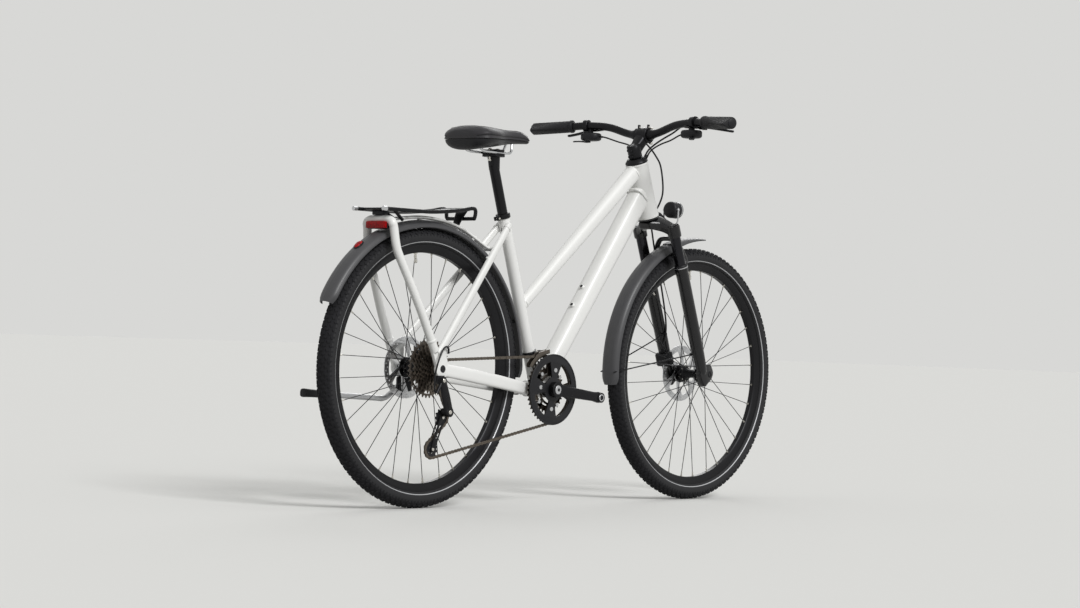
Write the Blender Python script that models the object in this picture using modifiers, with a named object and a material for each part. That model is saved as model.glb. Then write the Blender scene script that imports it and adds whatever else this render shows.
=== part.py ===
"""Trekking bicycle: low frame, suspension fork, mudguards, carrier, lamps, disc brakes and derailleurs.

World frame: +X points ahead, +Y to the bicycle's left, +Z up. The origin lies on the ground, midway
between the two axles. All lengths are in metres and all angles in degrees. The drive is on the right,
at negative Y.
"""

import math

import bmesh
import bpy
import numpy as np
from mathutils import Matrix, Vector

# Clearances
GAP = 0.0003
RUNNING = 0.0005
CHAIN_CLEARANCE = 0.0015

# Wheels
WHEELBASE = 1.125
TYRE_RADIUS = 0.3575
TYRE_WIDTH = 0.047
BEAD_SEAT = 0.0067
RIM_RADIUS = TYRE_RADIUS - TYRE_WIDTH + BEAD_SEAT
RIM_DEPTH = 0.0225
RIM_WIDTH = 0.026
SPOKES = 32
WHEEL_STEPS = 36
SPOKE_RADIUS = 0.001
FLANGE_RADIUS = 0.024
HUB_RADIUS = 0.014
ROTOR_RADIUS = 0.080
ROTOR_THICKNESS = 0.002
ROTOR_INSET = 0.012
FRONT_HUB_WIDTH = 0.100
REAR_HUB_WIDTH = 0.142
REAR_HUB_RIGHT = 0.0235

# Frame
HEAD_ANGLE = 69.0
FORK_OFFSET = 0.049
HEAD_TO_AXLE = 0.6445
HEAD_LENGTH = 0.158
HEAD_RADIUS = 0.031
SEAT_ANGLE = 71.3
SEAT_TUBE_LENGTH = 0.4737
SEAT_TUBE_RADIUS = 0.016
CHAINSTAY_RUN = 0.4520
BRACKET_DROP = 0.049
BRACKET_RADIUS = 0.0225
BRACKET_WIDTH = 0.070
TOP_TUBE_DOWN = 0.0216
TOP_TUBE_ON_SEAT = 0.2293
TOP_TUBE_HEAD_RADIUS = 0.022
TOP_TUBE_SEAT_RADIUS = 0.0135
DOWN_TUBE_DOWN = 0.088
DOWN_TUBE_DEPTH = 0.060
DOWN_TUBE_LOW_DEPTH = 0.047
DOWN_TUBE_WIDTH = 0.050
CHAINSTAY_DEPTH = 0.034
CHAINSTAY_WIDTH = 0.017
SEATSTAY_DEPTH = 0.021
SEATSTAY_WIDTH = 0.015
DROPOUT_THICKNESS = 0.010
DROPOUT_RADIUS = 0.023
BOSS_RADIUS = 0.005
BOSS_HEIGHT = 0.0025
BOSS_LOW = 0.255
BOSS_SPACING = 0.064

# Carrier
HOOP_RADIUS = 0.011
HOOP_RISE = 0.3705
HOOP_TOP = TYRE_RADIUS + HOOP_RISE
HOOP_TOP_HALF = 0.0465
HOOP_REACH = 0.164
SPINE_HALF_WIDTH = 0.011
SPINE_HALF_THICKNESS = 0.004
DECK_RAIL_RADIUS = 0.005
DECK_HALF_WIDTH = 0.052
DECK_LENGTH = 0.336
DECK_FRONT_RISE = 0.018
DECK_LIP = 0.026

# Mudguards
MUDGUARD_ROOM = 0.0205
MUDGUARD_RADIUS = TYRE_RADIUS + MUDGUARD_ROOM
MUDGUARD_TAIL_RADIUS = MUDGUARD_RADIUS + 0.0120
FRONT_MUDGUARD_RADIUS = MUDGUARD_RADIUS + 0.0100
MUDGUARD_HALF_WIDTH = 0.0275
MUDGUARD_WALL = 0.002
MUDGUARD_LIP = 0.018

# Fork
CUP_HEIGHT = 0.006
CROWN_THICKNESS = 0.026
CROWN_SLEEVE = 0.034
CROWN_DROP = 0.028
STEERER_RADIUS = 0.0143
STANCHION_RADIUS = 0.015
STANCHION_SPREAD = 0.061
STANCHION_AHEAD = 0.027
SEAL_DOWN = 0.313
STANCHION_OVERLAP = 0.110
LEG_RADIUS = 0.0178
LEG_FOOT_RADIUS = 0.0155
FORK_TRAVEL = 0.060
ARCH_RADIUS = 0.0072
ARCH_AHEAD = 0.035
ARCH_RISE = 0.071

# Cockpit
STEM_ABOVE_HEAD = 0.030
STEM_RADIUS = 0.016
BAR_AHEAD = 0.0480
BAR_RISE_FROM_HEAD = 0.0610
BAR_RADIUS = 0.011
BAR_CLAMP_RADIUS = 0.0159
BAR_HALF_WIDTH = 0.352
BAR_RISE = 0.0315
BAR_SWEEP = 0.062
GRIP_LENGTH = 0.122
GRIP_RADIUS = 0.0165
GRIP_WING = 0.030
LEVER_REACH = 0.046
LEVER_LENGTH = 0.088
LEVER_PULL = 18.0

# Seat
SEATPOST_RADIUS = 0.0136
SEATPOST_EXPOSED = 0.148
SEATPOST_INSIDE = 0.200
SEAT_BORE_DEPTH = 0.385
SADDLE_LENGTH = 0.256
SADDLE_WIDTH = 0.170
SADDLE_NOSE_WIDTH = 0.040
SADDLE_DEPTH = 0.06512
SADDLE_SETBACK = 0.129
RAIL_HEIGHT = 0.0285
SADDLE_RAIL_RADIUS = 0.0035
SADDLE_RAIL_HALF = 0.022

# Drive
TOOTH_PITCH = 0.0127
CHAINRING_TEETH = 44
INNER_TEETH = 30
COG_TEETH = (11, 13, 15, 17, 20, 23, 26, 30, 36)
COG_IN_USE = 0
COG_SPACING = 0.00435
PULLEY_TEETH = 11
CHAINRING_SIDE = 0.0505
CASSETTE_SIDE = 0.0665
CHAIN_WIDTH = 0.005
CHAIN_HEIGHT = 0.008
CRANK_LENGTH = 0.1675
CRANK_ANGLE = 6.7
CRANK_SIDE = 0.0660
CRANK_THICKNESS = 0.014
SPINDLE_RADIUS = 0.012
GUARD_RADIUS = 0.0945

# Kickstand
KICKSTAND_RADIUS = 0.0075

# Hoses and housings
HOSE_RADIUS = 0.0025
HOUSING_RADIUS = 0.00225

COLLECTION = "trekking_bicycle"
UP = Vector((0.0, 0.0, 1.0))
LEFT = Vector((0.0, 1.0, 0.0))
AHEAD = Vector((1.0, 0.0, 0.0))

# Colour, roughness and metallic value of each finish
FINISHES = {
    "white_paint": ((0.80, 0.80, 0.79), 0.25, 0.0),
    "black_paint": ((0.020, 0.020, 0.022), 0.35, 0.0),
    "black_metal": ((0.030, 0.030, 0.032), 0.30, 0.6),
    "steel": ((0.55, 0.55, 0.56), 0.30, 1.0),
    "dark_steel": ((0.16, 0.15, 0.14), 0.35, 1.0),
    "tyre_rubber": ((0.045, 0.045, 0.047), 0.75, 0.0),
    "soft_rubber": ((0.035, 0.035, 0.037), 0.65, 0.0),
    "guard_plastic": ((0.060, 0.060, 0.064), 0.45, 0.0),
    "saddle_skin": ((0.040, 0.040, 0.042), 0.55, 0.0),
    "red_lens": ((0.55, 0.01, 0.02), 0.20, 0.0),
}

REAR_AXLE = Vector((-WHEELBASE / 2, 0.0, TYRE_RADIUS))
FRONT_AXLE = Vector((WHEELBASE / 2, 0.0, TYRE_RADIUS))
STEER_DOWN = Vector((math.cos(math.radians(HEAD_ANGLE)), 0.0, -math.sin(math.radians(HEAD_ANGLE))))
STEER_AHEAD = Vector((-STEER_DOWN.z, 0.0, STEER_DOWN.x))
HEAD_TOP = FRONT_AXLE - STEER_DOWN * HEAD_TO_AXLE - STEER_AHEAD * FORK_OFFSET
BRACKET = REAR_AXLE + AHEAD * CHAINSTAY_RUN - UP * BRACKET_DROP
SEAT_UP = Vector((-math.cos(math.radians(SEAT_ANGLE)), 0.0, math.sin(math.radians(SEAT_ANGLE))))
SEAT_AHEAD = Vector((SEAT_UP.z, 0.0, -SEAT_UP.x))
RAIL_TOP = BRACKET.z + (SEAT_TUBE_LENGTH + SEATPOST_EXPOSED) * SEAT_UP.z + RAIL_HEIGHT
SADDLE_TOP = RAIL_TOP + SADDLE_DEPTH
DROPOUT_SIDE = REAR_HUB_WIDTH / 2 + DROPOUT_THICKNESS / 2


def steer(down, ahead=0.0, side=0.0):
    """A point given along the steering axis from the head tube's top, ahead of it and to the left."""
    return HEAD_TOP + STEER_DOWN * down + STEER_AHEAD * ahead + LEFT * side


def over_head(x, y, z):
    """A point given by its offsets from the head tube's top."""
    return HEAD_TOP + Vector((x, y, z))


def seat(up, ahead=0.0, side=0.0):
    """A point given along the seat tube from the bottom bracket, ahead of it and to the left."""
    return BRACKET + SEAT_UP * up + SEAT_AHEAD * ahead + LEFT * side


def from_rear(ahead, side, up):
    """A point given from the rear axle."""
    return REAR_AXLE + Vector((ahead, side, up))


# Scene and materials

def clear_scene():
    """Removes every object and collection that the file starts with."""
    for thing in list(bpy.data.objects):
        bpy.data.objects.remove(thing, do_unlink=True)
    for group in list(bpy.data.collections):
        bpy.data.collections.remove(group)


def collection(name):
    """The collection of that name, made on first use."""
    group = bpy.data.collections.get(name)
    if group is None:
        group = bpy.data.collections.new(name)
        bpy.context.scene.collection.children.link(group)
    return group


def finish(thing, look):
    """Puts a solid in the bicycle's collection and gives it its own material and smooth shading."""
    colour, roughness, metallic = FINISHES[look]
    material = bpy.data.materials.new(thing.name)
    material.use_nodes = True
    shader = material.node_tree.nodes["Principled BSDF"]
    shader.inputs["Base Color"].default_value = (*colour, 1.0)
    shader.inputs["Roughness"].default_value = roughness
    shader.inputs["Metallic"].default_value = metallic
    material.diffuse_color = (*colour, 1.0)
    thing.data.materials.clear()
    thing.data.materials.append(material)
    thing.data.shade_smooth()
    thing.data.set_sharp_from_angle(angle=math.radians(35))
    for group in list(thing.users_collection):
        group.objects.unlink(thing)
    collection(COLLECTION).objects.link(thing)
    return thing


def set_pivot(thing, point):
    """Moves an object's origin to a point without moving its mesh."""
    thing.data.transform(Matrix.Translation(-Vector(point)))
    thing.location = point
    return thing


# Solids

def new_object(name, data):
    """An object in the work collection."""
    thing = bpy.data.objects.new(name, data)
    collection("construction").objects.link(thing)
    return thing


def from_bmesh(name, shape):
    """An object from a bmesh, its faces turned outward."""
    bmesh.ops.recalc_face_normals(shape, faces=shape.faces)
    mesh = bpy.data.meshes.new(name)
    shape.to_mesh(mesh)
    shape.free()
    return new_object(name, mesh)


def frame_matrix(origin, axis, hint=UP):
    """A matrix whose local Z is the given axis and whose local X is near the hint."""
    z = Vector(axis).normalized()
    x = Vector(hint) - z * z.dot(Vector(hint))
    if x.length < 1e-6:
        x = AHEAD - z * z.dot(AHEAD)
    x.normalize()
    y = z.cross(x)
    matrix = Matrix((x, y, z)).transposed().to_4x4()
    matrix.translation = Vector(origin)
    return matrix


def cylinder(name, start, end, radius, sides=16, end_radius=None, hint=UP):
    """A capped cylinder, or a cone, between two points."""
    start = Vector(start)
    end = Vector(end)
    shape = bmesh.new()
    bmesh.ops.create_cone(
        shape, cap_ends=True, cap_tris=False, segments=sides, radius1=radius,
        radius2=radius if end_radius is None else end_radius, depth=(end - start).length)
    bmesh.ops.transform(shape, matrix=frame_matrix((start + end) / 2, end - start, hint), verts=shape.verts)
    return from_bmesh(name, shape)


def box(name, centre, size, axis=UP, hint=AHEAD, bevel=0.0):
    """A box whose third size runs along the axis and whose first runs near the hint."""
    shape = bmesh.new()
    bmesh.ops.create_cube(shape, size=1.0)
    bmesh.ops.scale(shape, vec=Vector(size), verts=shape.verts)
    if bevel > 0.0:
        bmesh.ops.bevel(shape, geom=list(shape.edges), offset=bevel, segments=1, affect="EDGES", profile=0.5)
    bmesh.ops.transform(shape, matrix=frame_matrix(centre, axis, hint), verts=shape.verts)
    return from_bmesh(name, shape)


def loft(name, rings, closed=False):
    """A skin over rings of equal point count, capped at both ends or closed on itself."""
    shape = bmesh.new()
    rows = [[shape.verts.new(point) for point in ring] for ring in rings]
    pairs = list(zip(rows, rows[1:]))
    if closed:
        pairs.append((rows[-1], rows[0]))
    for low, high in pairs:
        for i in range(len(low)):
            j = (i + 1) % len(low)
            shape.faces.new((low[i], low[j], high[j], high[i]))
    if not closed:
        shape.faces.new(list(reversed(rows[0])))
        shape.faces.new(rows[-1])
    return from_bmesh(name, shape)


def oval(centre, u, v, half_u, half_v, sides=16, power=2.0):
    """Points on a rounded oval in the plane of two directions; a higher power makes it squarer."""
    points = []
    for i in range(sides):
        angle = 2 * math.pi * (i + 0.5) / sides
        c = math.cos(angle)
        s = math.sin(angle)
        cu = math.copysign(abs(c) ** (2 / power), c) * half_u
        sv = math.copysign(abs(s) ** (2 / power), s) * half_v
        points.append(Vector(centre) + Vector(u) * cu + Vector(v) * sv)
    return points


def beam(name, stations, sides=16, power=2.0):
    """A tube with an oval section through stations of centre, half width along Y and half depth.

    Each section stands square to the path in the plane that holds Y.
    """
    centres = [Vector(station[0]) for station in stations]
    rings = []
    for i, (centre, half_width, half_depth) in enumerate(stations):
        before = centres[max(i - 1, 0)]
        after = centres[min(i + 1, len(centres) - 1)]
        along = (after - before).normalized()
        depth = along.cross(LEFT).normalized()
        width = depth.cross(along).normalized()
        rings.append(oval(centre, width, depth, half_width, half_depth, sides, power))
    return loft(name, rings)


def turned(name, profile, origin, axis, steps=32, hint=UP):
    """A profile of radius and height turned about an axis; it runs down its outer side, top first."""
    mesh = bpy.data.meshes.new(name)
    points = [(radius, 0.0, height) for radius, height in profile]
    closed = profile[0][0] > 1e-6 and profile[-1][0] > 1e-6
    edges = [(i, i + 1) for i in range(len(points) - 1)]
    if closed:
        edges.append((len(points) - 1, 0))
    mesh.from_pydata(points, edges, [])
    thing = new_object(name, mesh)
    screw = thing.modifiers.new("turn", "SCREW")
    screw.axis = "Z"
    screw.angle = 2 * math.pi
    screw.steps = steps
    screw.render_steps = steps
    screw.use_merge_vertices = True
    screw.merge_threshold = 0.00001
    thing.matrix_world = frame_matrix(origin, axis, hint)
    return baked(thing)


def baked(thing):
    """Replaces an object's data by its evaluated mesh in world space, with loose seams welded."""
    bpy.context.view_layer.update()
    evaluated = thing.evaluated_get(bpy.context.evaluated_depsgraph_get())
    mesh = bpy.data.meshes.new_from_object(evaluated)
    mesh.transform(thing.matrix_world)
    shape = bmesh.new()
    shape.from_mesh(mesh)
    bmesh.ops.remove_doubles(shape, verts=shape.verts, dist=0.00001)
    bmesh.ops.recalc_face_normals(shape, faces=shape.faces)
    shape.to_mesh(mesh)
    shape.free()
    result = new_object("baked", mesh)
    name = thing.name
    bpy.data.objects.remove(thing, do_unlink=True)
    result.name = name
    return result


def pipe(name, points, radius, resolution=2, closed=False):
    """A round tube along a route, with filled ends."""
    curve = bpy.data.curves.new(name, "CURVE")
    curve.dimensions = "3D"
    curve.bevel_depth = radius
    curve.bevel_resolution = resolution
    curve.use_fill_caps = True
    spline = curve.splines.new("POLY")
    spline.points.add(len(points) - 1)
    for target, point in zip(spline.points, points):
        target.co = (*point, 1.0)
    spline.use_cyclic_u = closed
    return baked(new_object(name, curve))


def smooth_route(points, count):
    """Points spread along a smooth curve through the given ones."""
    knots = [Vector(point) for point in points]
    knots = [knots[0] * 2 - knots[1]] + knots + [knots[-1] * 2 - knots[-2]]
    spans = len(points) - 1
    route = []
    for i in range(count):
        t = i / (count - 1) * spans
        k = min(int(t), spans - 1)
        u = t - k
        a, b, c, d = knots[k:k + 4]
        route.append((b * 2 + (c - a) * u + (a * 2 - b * 5 + c * 4 - d) * u * u
                      + (b * 3 - a - c * 3 + d) * u ** 3) / 2)
    return route


def plate(name, outlines, thickness, origin, axis, hint=UP):
    """A flat plate from an outer outline and its holes, centred on a plane through the origin."""
    curve = bpy.data.curves.new(name, "CURVE")
    curve.dimensions = "2D"
    curve.fill_mode = "BOTH"
    curve.extrude = thickness / 2
    for outline in outlines:
        spline = curve.splines.new("POLY")
        spline.points.add(len(outline) - 1)
        for target, (x, y) in zip(spline.points, outline):
            target.co = (x, y, 0.0, 1.0)
        spline.use_cyclic_u = True
    thing = new_object(name, curve)
    thing.matrix_world = frame_matrix(origin, axis, hint)
    return baked(thing)


def circle(radius, sides=32, centre=(0.0, 0.0), phase=0.0):
    """A round outline for a plate."""
    turns = [2 * math.pi * i / sides + phase for i in range(sides)]
    return [(centre[0] + radius * math.cos(a), centre[1] + radius * math.sin(a)) for a in turns]


def window(inner, outer, middle, half_angle, steps=4):
    """A ring-sector outline for a plate, between two radii about an angle."""
    angles = [middle - half_angle + 2 * half_angle * i / steps for i in range(steps + 1)]
    points = [(outer * math.cos(a), outer * math.sin(a)) for a in angles]
    points += [(inner * math.cos(a), inner * math.sin(a)) for a in reversed(angles)]
    return points


# Joining and clearing solids

def boolean(thing, other, operation, self_crossing=False):
    """Joins or cuts a solid by another one, which it uses up."""
    name = thing.name
    modifier = thing.modifiers.new(operation, "BOOLEAN")
    modifier.operation = operation
    modifier.object = other
    modifier.solver = "EXACT"
    modifier.use_self = self_crossing
    result = baked(thing)
    bpy.data.objects.remove(other, do_unlink=True)
    result.name = name
    return result


def fused(thing, *others):
    """One solid from several that cross each other."""
    for other in others:
        thing = boolean(thing, other, "UNION")
    return thing


def cut(thing, *cutters):
    """A solid less the cutters."""
    for cutter in cutters:
        thing = boolean(thing, cutter, "DIFFERENCE")
    return thing


def grown(thing, margin=GAP):
    """A copy of a solid whose faces are moved outward by a margin."""
    shape = bmesh.new()
    shape.from_mesh(thing.data)
    shape.transform(thing.matrix_world)
    shape.normal_update()
    moves = [(vert, vert.normal * vert.calc_shell_factor() * margin) for vert in shape.verts]
    for vert, move in moves:
        vert.co += move
    return from_bmesh(thing.name + "_clearance", shape)


def clear(thing, *neighbours):
    """A solid trimmed to keep the small gap to its neighbours."""
    for neighbour in neighbours:
        thing = boolean(thing, grown(neighbour), "DIFFERENCE")
    return thing


def copy_of(thing):
    """An independent copy of a solid."""
    twin = new_object(thing.name + "_copy", thing.data.copy())
    twin.matrix_world = thing.matrix_world.copy()
    return twin


# Wheels

def make_tyre(name, axle):
    """A tyre: round casing on a flat base that sits on the rim."""
    half = TYRE_WIDTH / 2
    middle = TYRE_RADIUS - half
    base = RIM_RADIUS + GAP
    drop = math.asin((middle - base) / half)
    profile = []
    for i in range(7):
        angle = math.pi + drop - (math.pi + 2 * drop) * i / 6
        profile.append((middle + half * math.sin(angle), -half * math.cos(angle)))
    return finish(turned(name, profile, axle, LEFT, WHEEL_STEPS, AHEAD), "tyre_rubber")


def make_rim(name, axle):
    """A box-section rim with sloping walls."""
    half = RIM_WIDTH / 2
    inner = RIM_RADIUS - RIM_DEPTH
    profile = [(RIM_RADIUS, half), (RIM_RADIUS, -half), (inner, -half * 0.55), (inner, half * 0.55)]
    return finish(turned(name, list(reversed(profile)), axle, LEFT, WHEEL_STEPS, AHEAD), "black_metal")


def spoke_cage(name, axle, flanges, end_radius):
    """Crossed spokes from two flanges to the rim, as one mesh of thin rods."""
    shape = bmesh.new()
    for i in range(SPOKES):
        side = 1 if i % 2 == 0 else 0
        pair = i // 2
        lead = 1 if pair % 2 == 0 else -1
        rim_angle = 2 * math.pi * (i + 0.5) / SPOKES
        hub_angle = rim_angle + lead * math.radians(67)
        hub_radius = FLANGE_RADIUS - 0.003
        flange = flanges[side]
        start = Vector((hub_radius * math.cos(hub_angle), flange, hub_radius * math.sin(hub_angle)))
        end = Vector((end_radius * math.cos(rim_angle), flange * 0.06, end_radius * math.sin(rim_angle)))
        offset = LEFT * (SPOKE_RADIUS + GAP / 2) * lead * math.copysign(1.0, flange)
        start += offset
        end += offset
        rod = bmesh.ops.create_cone(shape, cap_ends=True, segments=3, radius1=SPOKE_RADIUS,
                                    radius2=SPOKE_RADIUS, depth=(end - start).length)
        place = frame_matrix(axle + (start + end) / 2, end - start, LEFT)
        bmesh.ops.transform(shape, matrix=place, verts=rod["verts"])
    return from_bmesh(name, shape)


def make_spokes(name, axle, half_left, half_right, flange_left, flange_right):
    """A hub with its two flanges and all its spokes, as one solid."""
    thick = 0.0045
    barrel = HUB_RADIUS
    end = barrel * 0.75
    profile = [(0.0, half_left), (end, half_left), (end, flange_left + thick / 2),
               (FLANGE_RADIUS, flange_left + thick / 2), (FLANGE_RADIUS, flange_left - thick / 2),
               (barrel, flange_left - thick), (barrel, flange_right + thick),
               (FLANGE_RADIUS, flange_right + thick / 2), (FLANGE_RADIUS, flange_right - thick / 2),
               (end, flange_right - thick / 2), (end, -half_right), (0.0, -half_right)]
    hub = turned(name, profile, axle, LEFT, 10, AHEAD)
    reach = (RIM_RADIUS - RIM_DEPTH) * math.cos(math.pi / WHEEL_STEPS) - GAP
    rods = spoke_cage(name + "_rods", axle, (flange_left, flange_right), reach)
    hub = boolean(hub, rods, "UNION")
    return finish(hub, "black_metal")


def make_rotor(name, axle, side):
    """A brake rotor with slotted brake track and open arms."""
    hole = (HUB_RADIUS * 0.75 + RUNNING) / math.cos(math.pi / 8)
    arms = [window(0.030, ROTOR_RADIUS - 0.016, 2 * math.pi * i / 5, math.radians(25), 2) for i in range(5)]
    outlines = [circle(ROTOR_RADIUS, 26), circle(hole, 8)] + arms
    rotor = plate(name, outlines, ROTOR_THICKNESS, axle + LEFT * side, LEFT)
    return finish(rotor, "steel")


def make_wheels():
    """Both wheels."""
    front_half = FRONT_HUB_WIDTH / 2 - GAP
    rear_half = REAR_HUB_WIDTH / 2 - GAP
    for prefix, axle in (("front", FRONT_AXLE), ("rear", REAR_AXLE)):
        set_pivot(make_tyre(prefix + "_tyre", axle), axle)
        set_pivot(make_rim(prefix + "_rim", axle), axle)
    front = make_spokes("front_spokes", FRONT_AXLE, front_half, front_half, 0.022, -0.033)
    rear = make_spokes("rear_spokes", REAR_AXLE, rear_half, REAR_HUB_RIGHT, 0.034, -0.020)
    set_pivot(front, FRONT_AXLE)
    set_pivot(rear, REAR_AXLE)
    set_pivot(make_rotor("front_rotor", FRONT_AXLE, FRONT_HUB_WIDTH / 2 - ROTOR_INSET), FRONT_AXLE)
    set_pivot(make_rotor("rear_rotor", REAR_AXLE, REAR_HUB_WIDTH / 2 - ROTOR_INSET - 0.010), REAR_AXLE)


# Frame

def dropout(name, side):
    """A rear dropout plate: a disc on the axle, an arm up to the stays and, on the right, a hanger."""
    lug = 0.0105
    hanger = HANGER - REAR_AXLE
    outline = []
    for i in range(12):
        degrees = 165 + 19.5 * i
        if side < 0 and 230 < degrees < 290:
            continue
        if side < 0 and 290 < degrees < 310:
            for turn in (195, 235, 275, 315, 350):
                outline.append((hanger.x + lug * math.cos(math.radians(turn)),
                                hanger.z + lug * math.sin(math.radians(turn))))
        angle = math.radians(degrees)
        outline.append((DROPOUT_RADIUS * math.cos(angle), DROPOUT_RADIUS * math.sin(angle)))
    outline += [(0.0165, 0.022), (0.0135, 0.031), (0.0145, 0.041), (0.0125, 0.052), (-0.004, 0.058),
                (-0.018, 0.051), (-0.032, 0.057), (-0.040, 0.047)]
    place = from_rear(0.0, side * DROPOUT_SIDE, 0.0)
    return plate(name, [outline], DROPOUT_THICKNESS, place, -LEFT, AHEAD)


def make_chainstay(name, side, bracket):
    """A deep rectangular chainstay with its dropout."""
    half_depth = CHAINSTAY_DEPTH / 2
    half_width = CHAINSTAY_WIDTH / 2
    behind = BRACKET_RADIUS * 0.4
    stations = [
        (from_rear(0.014, side * (DROPOUT_SIDE - 0.0005), -0.0030), half_width * 0.75, half_depth),
        (from_rear(0.100, side * 0.0690, -0.0132), half_width, half_depth),
        (from_rear(0.240, side * 0.0520, -0.0300), half_width, half_depth * 1.02),
        (from_rear(0.330, side * 0.0395, -0.0420), half_width, half_depth * 0.96),
        (from_rear(0.375, side * 0.0325, -0.0470), half_width * 0.85, half_depth * 0.90),
        (BRACKET + Vector((-behind, side * 0.0250, 0.0)), half_width, half_depth * 0.90),
    ]
    stay = beam(name, stations, 12, 4.5)
    stay = fused(stay, dropout(name + "_dropout", side))
    return clear(stay, bracket)


def stay_point(t, side):
    """A point on a seatstay's axis from the dropout at 0 to the seat tube at 1."""
    low = from_rear(-0.0035, side * (DROPOUT_SIDE + 0.0005), 0.0500)
    high = seat(SEAT_TUBE_LENGTH - 0.018, 0.0, side * 0.0165)
    return low.lerp(high, t)


def make_seatstays(chainstays, seat_tube):
    """Both seatstays with the bridge between them."""
    halves = []
    for side in (-1, 1):
        stations = [(stay_point(t, side), SEATSTAY_WIDTH / 2 * k, SEATSTAY_DEPTH / 2 * k)
                    for t, k in ((-0.04, 0.95), (0.2, 1.0), (0.75, 1.0), (1.0, 0.9))]
        halves.append(beam("seatstays", stations, 10, 2.6))
    at = 0.80
    bridge = cylinder("bridge", stay_point(at, -1), stay_point(at, 1), 0.0065, 8)
    stays = fused(halves[0], halves[1], bridge)
    stays.name = "seatstays"
    return clear(stays, *chainstays, seat_tube)


def make_frame():
    """The painted frame: its tubes, stays and dropouts as separate pieces."""
    seat_tube = cylinder("seat_tube", seat(0.0), seat(SEAT_TUBE_LENGTH), SEAT_TUBE_RADIUS, 20, hint=LEFT)
    half = LEFT * (BRACKET_WIDTH / 2)
    shell = cylinder("shell", BRACKET - half, BRACKET + half, BRACKET_RADIUS, 20)
    seat_tube = fused(seat_tube, shell)

    head_tube = cylinder("head_tube", steer(0.0), steer(HEAD_LENGTH), HEAD_RADIUS, 24, hint=LEFT)
    head_cutter = cylinder("head_cutter", steer(-0.06), steer(HEAD_LENGTH + 0.06), HEAD_RADIUS + GAP, 24,
                           hint=LEFT)

    low = BRACKET + AHEAD * 0.005 + (steer(DOWN_TUBE_DOWN) - BRACKET).normalized() * (BRACKET_RADIUS * 0.4)
    top = steer(DOWN_TUBE_DOWN, -HEAD_RADIUS * 0.45)
    half_width = DOWN_TUBE_WIDTH / 2
    down_tube = beam("down_tube", [
        (low, half_width, DOWN_TUBE_LOW_DEPTH / 2),
        (low.lerp(top, 0.5), half_width, (DOWN_TUBE_LOW_DEPTH + DOWN_TUBE_DEPTH) / 4),
        (top, half_width, DOWN_TUBE_DEPTH / 2)], 14, 2.5)
    down_axis = (top - low).normalized()
    down_above = LEFT.cross(down_axis) * -1
    for k in (0, 1):
        foot = low + down_axis * (BOSS_LOW + k * BOSS_SPACING)
        rim = foot + down_above * (DOWN_TUBE_DEPTH / 2 + BOSS_HEIGHT)
        down_tube = fused(down_tube, cylinder("boss", foot + down_above * 0.020, rim, BOSS_RADIUS, 10))
    down_tube = boolean(down_tube, copy_of(head_cutter), "DIFFERENCE")
    down_tube = clear(down_tube, seat_tube)

    joint = seat(TOP_TUBE_ON_SEAT)
    meet = steer(TOP_TUBE_DOWN, -HEAD_RADIUS * 0.80)
    top_tube = beam("top_tube", [
        (joint, TOP_TUBE_SEAT_RADIUS, TOP_TUBE_SEAT_RADIUS),
        (joint.lerp(meet, 0.5), TOP_TUBE_HEAD_RADIUS * 0.82, TOP_TUBE_HEAD_RADIUS * 0.82),
        (meet, TOP_TUBE_HEAD_RADIUS * 0.95, TOP_TUBE_HEAD_RADIUS)], 16, 2.2)
    top_tube = boolean(top_tube, head_cutter, "DIFFERENCE")
    top_tube = clear(top_tube, seat_tube, down_tube)

    bracket_solid = seat_tube
    right = make_chainstay("chainstay_right", -1, bracket_solid)
    left = make_chainstay("chainstay_left", 1, bracket_solid)
    right = clear(right, down_tube)
    left = clear(left, down_tube)
    stays = make_seatstays((right, left), seat_tube)

    bore = STEERER_RADIUS + RUNNING
    steer_bore = cylinder("bore", steer(-0.01), steer(HEAD_LENGTH + 0.01), bore, 16, hint=LEFT)
    head_tube = cut(head_tube, steer_bore)
    post_bore = SEATPOST_RADIUS + RUNNING
    spindle_bore = SPINDLE_RADIUS + RUNNING
    rim = SEAT_TUBE_LENGTH
    seat_tube = cut(
        seat_tube,
        cylinder("bore", seat(rim - SEAT_BORE_DEPTH), seat(rim + 0.01), post_bore, 20, hint=LEFT),
        cylinder("bore", BRACKET - half * 1.2, BRACKET + half * 1.2, spindle_bore, 16))
    hoop = make_carrier_frame((right, left), stays)
    for piece in (head_tube, seat_tube, down_tube, top_tube, right, left, stays, hoop):
        finish(piece, "white_paint")
    return {"seat_tube": seat_tube, "head_tube": head_tube, "down_tube": down_tube, "top_tube": top_tube,
            "right": right, "left": left, "stays": stays, "hoop": hoop}


def hoop_route(side):
    """One leg of the carrier hoop from its dropout up to its rounded top corner."""
    top_x = -HOOP_REACH
    top_z = HOOP_TOP - TYRE_RADIUS
    return [
        from_rear(-0.0270, side * (DROPOUT_SIDE + 0.0005), 0.0440),
        from_rear(-0.0720, side * 0.0715, 0.1348),
        from_rear(-0.1100, side * 0.0625, 0.2120),
        from_rear(-0.1440, side * 0.0530, 0.2800),
        from_rear(-0.1540, side * 0.0500, 0.3080),
        from_rear(top_x + 0.0035, side * HOOP_TOP_HALF, top_z - 0.020),
        from_rear(top_x + 0.0005, side * (HOOP_TOP_HALF - 0.001), top_z - 0.011),
        from_rear(top_x, side * (HOOP_TOP_HALF - 0.004), top_z - 0.005),
        from_rear(top_x, side * (HOOP_TOP_HALF - 0.014), top_z),
    ]


SPINE_POINTS = ((-0.24074, 1.0), (-0.04762, 1.01720), (0.14815, 1.00529), (0.33069, 0.96825),
                (0.45503, 0.91799), (0.59259, 0.85317), (0.63095, 0.84127))


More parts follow.
